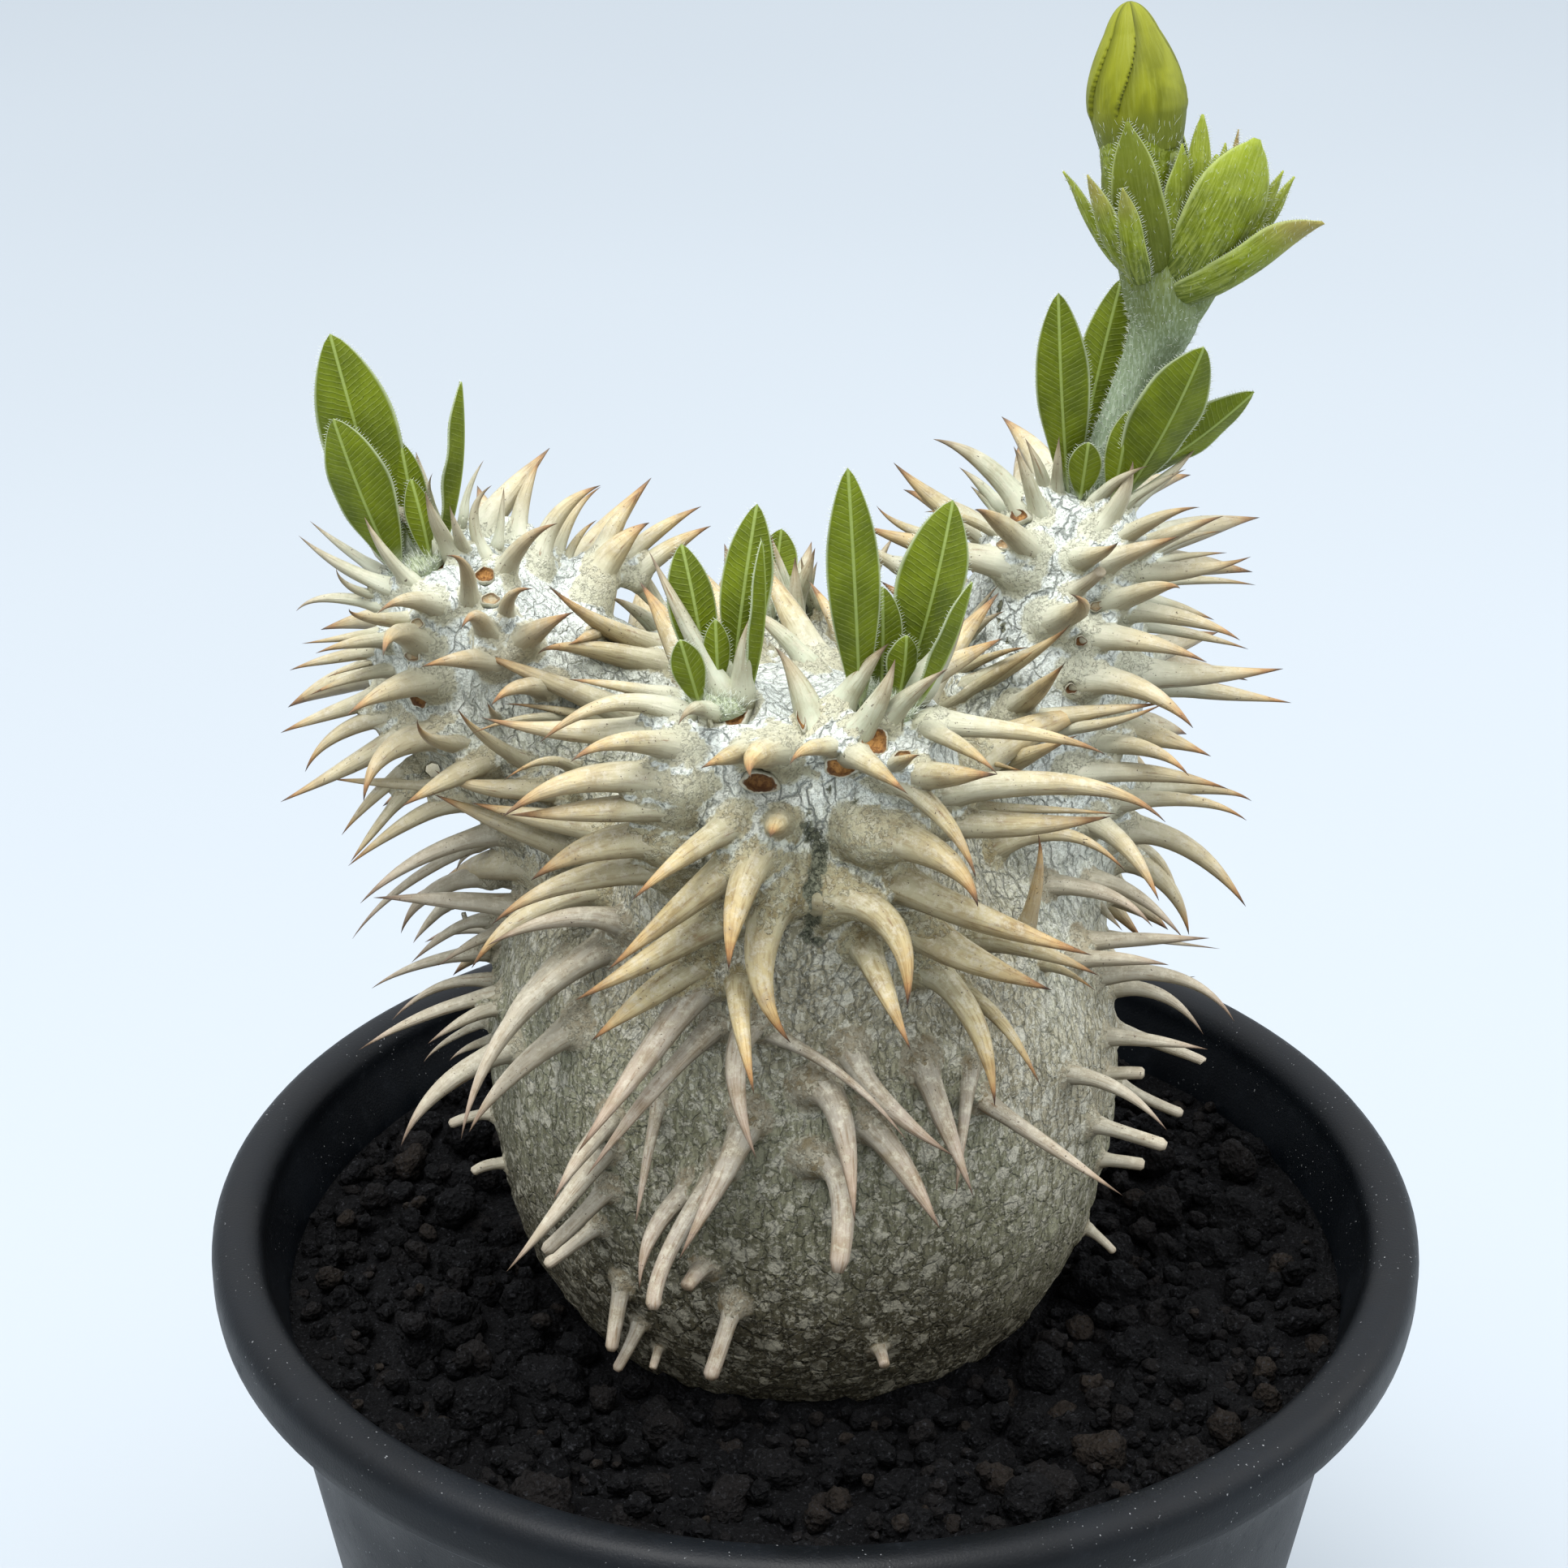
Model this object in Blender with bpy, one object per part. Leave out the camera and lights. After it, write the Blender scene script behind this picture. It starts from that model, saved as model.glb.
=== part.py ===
"""Potted pachypodium: a swollen spiny caudex with five leafy branch heads and one flower stalk.

Metres, +Z up. The origin is the centre of the pot's underside. X runs across, and -Y is the plant's front.
"""

import math
import random

import bmesh
import bpy
import numpy as np
from mathutils import Vector
from mathutils.bvhtree import BVHTree

MM = 0.001
GAP = 0.3 * MM  # kept between pieces that touch
GOLDEN_TURN = math.radians(137.508)  # the turn from one leaf scar to the next up a stem
UP = np.array([0.0, 0.0, 1.0])

# The pot: a plain round plastic pot with a rolled rim
POT_HEIGHT = 100 * MM
RIM_RADIUS = 65 * MM
RIM_WIDTH = 5.6 * MM
RIM_BAND = 6.8 * MM
RIM_CORNER = 2.6 * MM
RIM_EDGE = (0.9 * MM, 1.3 * MM)  # the slope at the rim's lower edge: how far in, and how high
RIM_LIP = (2.0 * MM, 1.2 * MM)  # the rim's hanging lip: how thick, and how deep the hollow behind it is
WALL_TOP_RADIUS = 59.6 * MM
WALL_FOOT_RADIUS = 44 * MM
WALL = 1.8 * MM
FLOOR = 3.4 * MM
FLOOR_CORNER = 2 * MM
FOOT_CORNER = 0.8 * MM
FOOT_RECESS = 1.6 * MM
FOOT_RING_WIDTH = 4 * MM
DRAIN_RADIUS = 6 * MM
SMALL_DRAIN_RADIUS = 3 * MM
SMALL_DRAIN_CIRCLE = 24 * MM
SMALL_DRAINS = 5
DRAIN_SIDES = 10
POT_SIDES = 40

# The soil: black lava grit, with a lumpy top and a plain hole for the caudex
SOIL_LEVEL = 91.5 * MM
SOIL_LUMP = 1.6 * MM
# Waves of the relief: height as a share of the lumps', runs across and along in millimetres, and a shift
SOIL_WAVES = ((0.35, 7.1, 6.3, 1.3), (0.50, 3.3, 2.7, 2.0), (0.40, 1.9, 1.5, 0.7))
SOIL_SIDES = 40
SOIL_RINGS = 9
WALL_LUMPS = 0.3  # the relief's share that is left at the pot's wall
LUMPS_RISE = 6.0  # how fast the relief grows away from the wall, and dies down towards the hole
LUMPS_FALL = 2.2
HOLE_STEP = 7 * MM
HOLE_GAP = 0.6 * MM
HOLE_LIP = 1.2 * MM  # how far the soil dips where it meets the caudex
HOLE_END = 5 * MM  # how far the hole's point lies below the caudex's lowest row
PROBE_REACH = 60 * MM  # further out than the caudex's skin

# The plant's stems: each row is a point on the axis and the stem's radius there, in millimetres
TRUNK = [
    (-1.2, 1, 52, 3.0),
    (-1.2, 1, 64, 6.5),
    (-1.2, 1, 74, 14.5),
    (-1.2, 1, 82, 21.8),
    (-1.2, 1, 92, 28.0),
    (-1.2, 1, 101, 31.8),
    (-1.2, 1, 111, 33.4),
    (-1.2, 1, 122, 33.2),
    (-1.2, 1, 133, 31.0),
    (-1.2, 1, 142, 25.5),
    (-1.2, 1, 148, 16.0),
]
LIMBS = {
    "left": [
        (-8, 5, 131, 22.0),
        (-17.5, 4, 144, 16.5),
        (-25.5, 1.5, 153.5, 13.2),
        (-32.5, -1, 162, 10.6),
        (-36.3, -2.4, 168, 8.4),
        (-38.4, -3, 172.3, 6.6),
    ],
    "front": [
        (-2, -6, 128, 22.0),
        (-2.5, -12, 141, 19.0),
        (-2.6, -15.2, 151, 17.0),
        (-2.2, -17.4, 158, 14.4),
    ],
    "front_left": [
        (-4.5, -17, 151, 12.5),
        (-7.8, -21.8, 159.5, 9.8),
        (-9.0, -24.2, 164.8, 7.6),
        (-9.3, -24.9, 167.6, 6.2),
    ],
    "front_right": [
        (0.5, -17, 151, 12.5),
        (4.2, -21.8, 159.5, 10.0),
        (5.7, -24.2, 164.4, 7.8),
        (6.1, -24.9, 167.1, 6.4),
    ],
    "right": [
        (9, 5, 130, 21.0),
        (17.5, 6, 143.5, 16.0),
        (22.3, 7, 155, 12.2),
        (24.2, 7.6, 165, 9.4),
        (26.6, 7.9, 172, 7.4),
        (27.6, 8, 175.4, 6.2),
    ],
    "back": [
        (-2, 10, 129, 21.0),
        (-3, 16, 139, 16.0),
        (-4, 20.5, 146, 12.0),
        (-4.5, 23, 151, 9.0),
        (-4.6, 24, 154.5, 6.4),
    ],
}
STEM_SIDES = 22
STEM_STEP = 3 * MM
SKIN_VOXEL = 1.8 * MM
SKIN_SMOOTHING = 14
SKIN_TRIANGLES = 1300
WELD = 0.002 * MM  # points closer than this are merged after a Boolean

# Spines: how many pairs a stem carries, how far down its length they go as a share, its longest spine and
# that spine's root radius in millimetres, and how much they droop
SPINE_PAIRS = {
    "left": (56, 0.90, 15.5, 2.2, 0.5),
    "front": (64, 0.60, 21.0, 2.7, 1.0),
    "front_left": (24, 0.80, 13.5, 1.8, 0.8),
    "front_right": (24, 0.80, 13.5, 1.8, 0.8),
    "right": (60, 0.92, 16.0, 2.2, 0.55),
    "back": (44, 0.90, 15.5, 2.1, 0.6),
}
SPREAD = 0.72  # how far a pair's two spines lean apart, as the tangent of each one's angle
TRUNK_SPREAD = 0.45
CAP_SHARE = 0.22  # the share of the pairs that stand on the stem's domed tip
CAP_TILT = 0.95  # radians that the uppermost pair leans towards the tip
TRUNK_PAIRS = 92
TRUNK_SPINE = (15.0, 1.1)
TRUNK_SPINE_TOP = 144 * MM
TRUNK_SPINE_BOTTOM = 98 * MM
DENSE_SHARE = 0.42  # every pair stays down to this share of the trunk
SPARSE_KEPT = 0.10  # the share of the pairs that stays below it, and the side where more of them do
SPARSE_SIDE = (-0.85, -0.53)
STUB_LENGTH = 0.45
SPINE_SIDES = 3
SPINE_RINGS = (0.0, 0.5)
STUB_RINGS = (0.0,)
SPINE_SUNK = 2.2 * MM
SPINE_CLEAR = 0.6 * MM  # kept between a spine and a leaf
SHORTENED = (1.0, 0.72)  # the lengths that a spine is tried at, as shares
SCAR_SPACING = 5.0 * MM  # kept between one leaf scar and the next
YOUNG_SPINES = 5
YOUNG_SPINE = (9.5, 1.05)
BRANCH_REACH = (0.55, 1.3)  # where a branch's own skin lies, as shares of its radius
TRUNK_REACH = (-3.5 * MM, 7 * MM)  # where the trunk's own skin lies, from its radius
PROBE_START = 14 * MM  # how far outside a stem's radius its skin is looked for
SOIL_CLEAR = 2.5 * MM  # kept between a spine and the soil

# The leaf heads: a short woolly core in a socket at a stem's tip
CORE_RADIUS = 3.7 * MM
CORE_HEIGHT = 2.9 * MM
CORE_SIDES = 12
SOCKET_DEPTH = 1.2 * MM
SOCKET_CUT = 9 * MM  # clears what a spine's root leaves over the socket
SOCKET_SIDES = 16
LEAF_THICKNESS = 0.7 * MM
LEAF_BOW = 0.05
BRACT_BOW = 0.11
BRACT_FOLD = 0.42
# Leaves by head: foot and tip from the core's seat and width, in millimetres, and which way the leaf's under
# face looks, in degrees round +Z from the plant's front
LEAVES = {
    "left": [
        ((-2.2, -0.5, 0.8), (-7.5, 0.0, 23.7), 7.4, 5),
        ((-2.2, -2.0, 0.6), (-7.1, -4.0, 16.6), 5.8, -5),
        ((1.9, 0.4, 1.6), (4.6, 1.0, 18.6), 5.0, 80),
        ((0.2, -0.6, 1.6), (-1.4, 0.0, 12.9), 3.2, 12),
        ((1.0, -1.6, 1.4), (-0.4, -1.4, 9.6), 2.6, 25),
        ((-0.6, 2.2, 1.4), (-3.0, 6.5, 10.0), 4.6, 175),
    ],
    "front_left": [
        ((1.4, 1.0, 1.4), (3.6, 4.0, 18.1), 4.6, -12),
        ((-1.2, 1.0, 1.4), (-3.4, 4.0, 14.2), 4.4, 20),
        ((2.4, -0.8, 0.8), (4.0, -1.0, 16.4), 3.4, 70),
        ((-1.8, -1.8, 0.8), (-3.4, -3.2, 7.7), 3.0, 10),
        ((0.0, -0.4, 1.8), (-0.2, -0.8, 8.7), 2.4, 0),
    ],
    "front_right": [
        ((-2.6, -1.4, 0.8), (-3.9, -2.5, 24.4), 4.7, 4),
        ((1.6, 1.4, 1.4), (5.9, 5.0, 18.5), 6.4, 12),
        ((2.4, -1.2, 0.8), (7.4, -2.0, 13.3), 4.0, 60),
        ((-0.6, 0.2, 1.8), (-0.6, 0.8, 11.7), 3.8, 8),
        ((0.9, -1.0, 1.8), (1.6, -1.4, 7.8), 3.0, 20),
    ],
    "right": [
        ((-2.6, -1.0, 0.8), (-4.6, -3.0, 22.2), 5.2, -12),
        ((-1.6, 1.8, 1.2), (2.2, 3.4, 21.8), 5.0, -20),
        ((2.5, -2.2, 0.9), (9.3, -6.8, 18.0), 7.0, 15),
        ((2.6, 0.6, 1.2), (15.6, 1.0, 10.8), 4.8, 35),
        ((0.6, 2.7, 1.0), (2.5, 8.0, 12.5), 5.0, 178),
        ((-1.6, -2.4, 0.9), (-1.2, -4.4, 7.4), 3.2, -5),
        ((1.4, -2.8, 0.9), (2.6, -4.2, 10.6), 3.0, 8),
    ],
    "back": [
        ((-1.6, 0.4, 1.4), (-3.0, 1.6, 5.4), 2.4, 0),
        ((1.6, 0.6, 1.4), (3.2, 2.4, 5.0), 2.4, 10),
        ((0.0, 2.0, 1.2), (1.0, 6.5, 8.5), 4.2, 180),
    ],
}
LEAF_HEADS = tuple(LEAVES)

# The flower stalk on the right head: axis points from its foot, with radii, in millimetres. Its upper
# part is the column of the flower's sepals.
STALK = [
    (0.6, 0.0, 0.0, 2.3),
    (1.6, -0.3, 4.0, 2.2),
    (3.2, -0.8, 9.0, 2.25),
    (4.8, -1.3, 13.6, 2.6),
    (5.9, -1.6, 17.6, 3.4),
    (5.4, -1.8, 21.0, 3.7),
    (4.4, -1.8, 25.0, 3.6),
    (3.6, -1.8, 29.5, 3.65),
    (2.9, -1.8, 34.3, 3.75),
]
STALK_SIDES = 12
STALK_SEAT = 1.2 * MM  # the stalk stands in a dimple of this depth in its core
STALK_CLEARED = 14 * MM  # leaves are kept off the stalk up to this height
STALK_CLEAR = 1.3 * GAP  # a little more than the gap, because both are faceted
STALK_STEP = 5 * MM
SIDE_BUD_SIDES = 8
BUD_LENGTH = 13.8 * MM
BUD_RADIUS = 4.8 * MM
BUD_NECK_RADIUS = 3.7 * MM
BUD_LEAN = (-0.14, 0.0, 1.0)
BUD_SIDES = 20
BUD_RINGS = 7
BUD_LOBES = 5
BUD_TWIST = 1.4  # radians that the furled petals turn from neck to tip
# Bracts and sepals: foot and tip from the stalk's foot, width, and which way the outer face looks
BRACTS = [
    ((4.2, -4.6, 20.0), (1.3, -7.5, 38.4), 5.8, -3),
    ((6.4, -4.2, 20.0), (7.8, -4.8, 34.2), 4.6, 30),
    ((3.0, -3.2, 18.4), (-3.9, -4.0, 32.7), 3.6, -35),
    ((3.8, -4.8, 18.8), (1.0, -7.6, 31.4), 3.4, -12),
    ((2.6, 0.5, 19.0), (-4.8, 1.2, 30.4), 3.4, -75),
    ((4.6, 1.4, 20.0), (3.4, 4.4, 33.8), 6.2, 178),
    ((8.4, -3.2, 18.2), (14.1, -5.5, 35.8), 7.2, 14),
    ((8.0, -1.0, 21.0), (8.9, -0.6, 36.9), 3.2, 0),
    ((9.0, 0.5, 21.0), (12.0, 0.8, 34.6), 3.6, 30),
    ((9.6, -2.0, 20.2), (17.2, -3.0, 31.7), 4.6, 50),
    ((7.6, -3.4, 16.8), (19.8, -5.5, 29.3), 4.8, 40),
    ((8.0, 1.0, 18.0), (12.5, 5.5, 29.5), 6.0, 150),
]
SIDE_BUD = [
    (5.8, -1.6, 15.0, 2.4),
    (8.0, -1.7, 18.4, 3.0),
    (9.8, -1.6, 22.5, 3.2),
    (10.8, -1.4, 27.0, 2.4),
    (11.2, -1.2, 30.0, 1.2),
]

COLOURS = {
    "pot": (0.035, 0.038, 0.042, 0.55),
    "soil": (0.030, 0.028, 0.027, 0.95),
    "caudex": (0.52, 0.48, 0.40, 0.80),
    "leaf": (0.20, 0.34, 0.05, 0.55),
    "stalk": (0.36, 0.46, 0.22, 0.75),
    "bud": (0.52, 0.58, 0.10, 0.50),
}


def clear_scene():
    for obj in list(bpy.data.objects):
        bpy.data.objects.remove(obj)


def give_material(obj, kind):
    """Gives an object a Principled material of its own, in one of COLOURS."""
    red, green, blue, roughness = COLOURS[kind]
    made = bpy.data.materials.new(obj.name)
    made.use_nodes = True
    shader = made.node_tree.nodes["Principled BSDF"]
    shader.inputs["Base Color"].default_value = (red, green, blue, 1)
    shader.inputs["Roughness"].default_value = roughness
    shader.inputs["Metallic"].default_value = 0
    obj.data.materials.append(made)


def new_object(name, verts, faces):
    mesh = bpy.data.meshes.new(name)
    mesh.from_pydata([tuple(map(float, v)) for v in verts], [], faces)
    obj = bpy.data.objects.new(name, mesh)
    bpy.context.scene.collection.objects.link(obj)
    return obj


def unit(vector):
    vector = np.asarray(vector, float)
    return vector / max(np.linalg.norm(vector), 1e-12)


def smooth_rows(rows, step):
    """Points and radii in metres on a Catmull-Rom curve through rows of x, y, z and radius in mm."""
    rows = np.array(rows, float) * MM
    ends = np.vstack([2 * rows[0] - rows[1], rows, 2 * rows[-1] - rows[-2]])
    found = []
    for a, b, c, d in zip(ends, ends[1:], ends[2:], ends[3:]):
        count = max(2, round(np.linalg.norm(c[:3] - b[:3]) / step))
        for t in np.arange(count) / count:
            curved = (2 * a - 5 * b + 4 * c - d) * t**2 + (3 * b - a - 3 * c + d) * t**3
            found.append(0.5 * (2 * b + (c - a) * t + curved))
    found.append(rows[-1])
    found = np.array(found)
    return found[:, :3], found[:, 3]


def tangents(points):
    steps = np.gradient(points, axis=0)
    return steps / np.linalg.norm(steps, axis=1)[:, None]


def across(direction):
    """Two unit vectors square to a direction: one level, and one that completes the set."""
    side = np.cross(UP, direction)
    if np.linalg.norm(side) < 1e-3:
        side = np.array([1.0, 0.0, 0.0])
    side = unit(side)
    return side, np.cross(direction, side)


def tube(points, radii, sides, domed=True):
    """Verts and faces of a closed tube through points, with rounded or flat ends."""
    directions = tangents(points)
    if domed:
        first, last = radii[0] * 0.5, radii[-1] * 0.5
        points = np.vstack([points[0] - directions[0] * first, points, points[-1] + directions[-1] * last])
        radii = np.concatenate([[radii[0] * 0.6], radii, [radii[-1] * 0.6]])
        directions = np.vstack([directions[0], directions, directions[-1]])
    side, _ = across(directions[0])
    verts, faces = [], []
    for point, direction, radius in zip(points, directions, radii):
        side = unit(side - direction * np.dot(side, direction))
        other = np.cross(direction, side)
        for k in range(sides):
            turn = math.tau * k / sides
            verts.append(point + radius * (math.cos(turn) * side + math.sin(turn) * other))
    for ring in range(len(points) - 1):
        for k in range(sides):
            a, b = ring * sides + k, ring * sides + (k + 1) % sides
            faces.append((a, b, b + sides, a + sides))
    faces.append(tuple(reversed(range(sides))))
    faces.append(tuple(range((len(points) - 1) * sides, len(points) * sides)))
    return verts, faces


def lathe(profile, sides, name):
    """A closed outline of (radius, height) turned round Z. A point at radius 0 becomes one vertex."""
    verts, faces, rings = [], [], []
    for radius, height in profile:
        if radius == 0:
            rings.append([len(verts)] * sides)
            verts.append((0, 0, height))
        else:
            rings.append([len(verts) + k for k in range(sides)])
            verts += [
                (radius * math.cos(math.tau * k / sides), radius * math.sin(math.tau * k / sides), height)
                for k in range(sides)
            ]
    for here, there in zip(rings, rings[1:] + rings[:1]):
        for k in range(sides):
            corners = (here[k], here[k - sides + 1], there[k - sides + 1], there[k])
            distinct = tuple(dict.fromkeys(corners))
            if len(distinct) > 2:
                faces.append(distinct)
    return new_object(name, verts, faces)


def apply_modifiers(obj):
    """Replaces an object's mesh by what its modifiers make of it."""
    bpy.context.view_layer.update()
    graph = bpy.context.evaluated_depsgraph_get()
    mesh = bpy.data.meshes.new_from_object(obj.evaluated_get(graph))
    obj.modifiers.clear()
    obj.data = mesh
    return obj


def fuse(obj, others, operation="UNION", solver="EXACT"):
    """Joins other objects to obj, or cuts them from it, in one applied Boolean, and removes them."""
    group = bpy.data.collections.new("fused")
    bpy.context.scene.collection.children.link(group)
    for other in others:
        bpy.context.scene.collection.objects.unlink(other)
        group.objects.link(other)
    boolean = obj.modifiers.new("join", "BOOLEAN")
    boolean.operation = operation
    boolean.operand_type = "COLLECTION"
    boolean.collection = group
    boolean.solver = solver
    apply_modifiers(obj)
    for other in others:
        bpy.data.objects.remove(other)
    bpy.data.collections.remove(group)
    return obj


def keep_largest(obj):
    """Drops the scraps that a Boolean left beside the main body, and merges points that coincide."""
    mesh = bmesh.new()
    mesh.from_mesh(obj.data)
    bmesh.ops.remove_doubles(mesh, verts=mesh.verts, dist=WELD)
    bmesh.ops.triangulate(mesh, faces=mesh.faces)
    seen, bodies = set(), []
    for start in mesh.verts:
        if start in seen:
            continue
        seen.add(start)
        body, edge_of_body = [], [start]
        while edge_of_body:
            vert = edge_of_body.pop()
            body.append(vert)
            for link in vert.link_edges:
                other = link.other_vert(vert)
                if other not in seen:
                    seen.add(other)
                    edge_of_body.append(other)
        bodies.append(body)
    bodies.sort(key=len)
    for body in bodies[:-1]:
        bmesh.ops.delete(mesh, geom=body, context="VERTS")
    mesh.to_mesh(obj.data)
    mesh.free()


# Pot and soil


def rim_profile():
    """The rolled rim from its outer lower edge, over the top, to the inner wall."""
    inner_radius = RIM_RADIUS - RIM_WIDTH
    corners = (
        (RIM_RADIUS - RIM_CORNER, POT_HEIGHT - RIM_CORNER, 0),
        (inner_radius + RIM_CORNER, POT_HEIGHT - RIM_CORNER, 90),
    )
    inward, upward = RIM_EDGE
    band_foot = POT_HEIGHT - RIM_BAND
    points = [(RIM_RADIUS - inward, band_foot), (RIM_RADIUS, band_foot + upward)]
    for radius, height, start in corners:
        for turn in (0, 45, 90):
            angle = math.radians(start + turn)
            points.append((radius + RIM_CORNER * math.cos(angle), height + RIM_CORNER * math.sin(angle)))
    return points


def wall_radius(height):
    """The wall's outer radius at a height above the base."""
    share = height / (POT_HEIGHT - RIM_BAND)
    return WALL_FOOT_RADIUS + (WALL_TOP_RADIUS - WALL_FOOT_RADIUS) * share


def make_pot():
    lip_thickness, lip_depth = RIM_LIP
    under_rim = POT_HEIGHT - RIM_BAND + lip_depth
    ring_inner = WALL_FOOT_RADIUS - FOOT_RING_WIDTH
    outline = [
        (ring_inner, 0),
        (WALL_FOOT_RADIUS - FOOT_CORNER, 0),
        (WALL_FOOT_RADIUS, FOOT_CORNER),
        (wall_radius(under_rim), under_rim),
        (RIM_RADIUS - lip_thickness, under_rim),
        *rim_profile(),
        (wall_radius(POT_HEIGHT - RIM_BAND) - WALL, POT_HEIGHT - RIM_BAND),
        (wall_radius(FLOOR + FLOOR_CORNER) - WALL, FLOOR + FLOOR_CORNER),
        (wall_radius(FLOOR) - WALL - FLOOR_CORNER, FLOOR),
        (DRAIN_RADIUS, FLOOR),
        (DRAIN_RADIUS, FOOT_RECESS),
        (ring_inner, FOOT_RECESS),
    ]
    pot = lathe(outline, POT_SIDES, "pot")
    cutters = []
    for k in range(SMALL_DRAINS):
        turn = math.tau * k / SMALL_DRAINS
        centre = np.array([math.cos(turn), math.sin(turn), 0]) * SMALL_DRAIN_CIRCLE
        ends = np.array([centre, centre + UP * 2 * FLOOR])
        cutters.append(new_object("drain", *tube(ends, [SMALL_DRAIN_RADIUS] * 2, DRAIN_SIDES, domed=False)))
    return fuse(pot, cutters, "DIFFERENCE")


def trunk_radius(height):
    """The caudex's radius at a height, in metres."""
    rows = np.array(TRUNK) * MM
    return float(np.interp(height, rows[:, 2], rows[:, 3]))


def lump_height(x, y):
    """The soil's relief at a place."""
    waves = [
        height * math.sin(x / (run_x * MM) + shift) * math.cos(y / (run_y * MM) + 2 * shift)
        for height, run_x, run_y, shift in SOIL_WAVES
    ]
    return SOIL_LUMP * sum(waves)


def skin_probe(skin):
    """A tree that finds places on the skin along a ray."""
    return BVHTree.FromObject(skin, bpy.context.evaluated_depsgraph_get())


def reach_of(probe, centre, outward, start):
    """How far the skin lies from a centre along a direction, looking in from a distance of start."""
    hit = probe.ray_cast(Vector(centre + outward * start), Vector(-outward), start)
    return None if hit[0] is None else start - hit[3]


def soil_wall(height):
    return wall_radius(height) - WALL - GAP


def make_soil(skin):
    """The soil fills the pot to SOIL_LEVEL and keeps clear of its wall and of the caudex in its hole."""
    probe = skin_probe(skin)
    axis = np.array([TRUNK[0][0], TRUNK[0][1], 0]) * MM
    outer = soil_wall(SOIL_LEVEL)
    lip = SOIL_LEVEL - HOLE_LIP
    inner = trunk_radius(lip) + HOLE_GAP
    bottom = TRUNK[0][2] * MM - HOLE_END
    hole = list(np.arange(lip, bottom + HOLE_END / 2, -HOLE_STEP))
    corner = FLOOR + FLOOR_CORNER + GAP
    floor = [(soil_wall(FLOOR) - FLOOR_CORNER, FLOOR + GAP), (soil_wall(corner), corner)]
    top = [(outer + (inner - outer) * k / SOIL_RINGS, SOIL_LEVEL) for k in range(SOIL_RINGS)]
    sides = [(trunk_radius(z), z) for z in hole]
    soil = lathe([(0.0, FLOOR + GAP), *floor, *top, *sides, (0.0, bottom)], SOIL_SIDES, "soil")
    first_top = 1 + SOIL_SIDES * len(floor)
    first_side = first_top + SOIL_SIDES * len(top)
    for vert in soil.data.vertices[first_top:first_side]:
        share = (outer - math.hypot(vert.co.x, vert.co.y)) / (outer - inner)
        vert.co.x += axis[0] * share
        vert.co.y += axis[1] * share
        lumpy = min(1.0, WALL_LUMPS + share * LUMPS_RISE) * min(1.0, (1 - share) * LUMPS_FALL)
        vert.co.z += lump_height(vert.co.x, vert.co.y) * lumpy - HOLE_LIP * share**4
    for vert in soil.data.vertices[first_side:]:
        outward = np.array([vert.co.x, vert.co.y, 0])
        if np.linalg.norm(outward) > 0:
            centre = axis + UP * vert.co.z
            found = reach_of(probe, centre, unit(outward), PROBE_REACH)
            vert.co = centre + unit(outward) * ((found or HOLE_GAP) + HOLE_GAP)
        else:
            vert.co = axis + UP * vert.co.z
    return soil


# Stems and their skin


class Stem:
    """A stem's axis, radii and directions, from its base to its tip."""

    def __init__(self, rows):
        self.points, self.radii = smooth_rows(rows, STEM_STEP)
        self.directions = tangents(self.points)
        steps = np.linalg.norm(np.diff(self.points, axis=0), axis=1)
        self.lengths = np.concatenate([[0], np.cumsum(steps)])

    def at(self, share):
        """Point, radius, direction and radius slope at a share of the length from the tip."""
        along = self.lengths[-1] * (1 - share)
        point = np.array([np.interp(along, self.lengths, self.points[:, k]) for k in range(3)])
        direction = unit([np.interp(along, self.lengths, self.directions[:, k]) for k in range(3)])
        radius = float(np.interp(along, self.lengths, self.radii))
        step = STEM_STEP / 2
        before, after = np.interp([along - step, along + step], self.lengths, self.radii)
        return point, radius, direction, float((after - before) / (2 * step))

    def depth(self, place):
        """How far a place lies inside the stem. Negative is outside."""
        return float((self.radii - np.linalg.norm(self.points - place, axis=1)).max())


def make_skin(stems):
    """The caudex and its branches as one smooth closed body."""
    verts, faces = [], []
    for stem in stems.values():
        stem_verts, stem_faces = tube(stem.points, stem.radii, STEM_SIDES)
        faces += [tuple(i + len(verts) for i in face) for face in stem_faces]
        verts += stem_verts
    skin = new_object("caudex", verts, faces)
    remesh = skin.modifiers.new("skin", "REMESH")
    remesh.mode = "VOXEL"
    remesh.voxel_size = SKIN_VOXEL
    smoothing = skin.modifiers.new("smooth", "SMOOTH")
    smoothing.factor = 0.5
    smoothing.iterations = SKIN_SMOOTHING
    apply_modifiers(skin)
    thin = skin.modifiers.new("thin", "DECIMATE")
    thin.ratio = SKIN_TRIANGLES / (2 * len(skin.data.polygons))
    return apply_modifiers(skin)


# Spines


def spine_line(root, direction, bend, length, rings):
    """Points along a spine: it leaves along direction and bends by the vector bend over its length."""
    shares = np.array([*rings, 1.0])
    return root + length * (np.outer(shares, direction) + np.outer(shares**2, bend) * 0.5)


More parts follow.
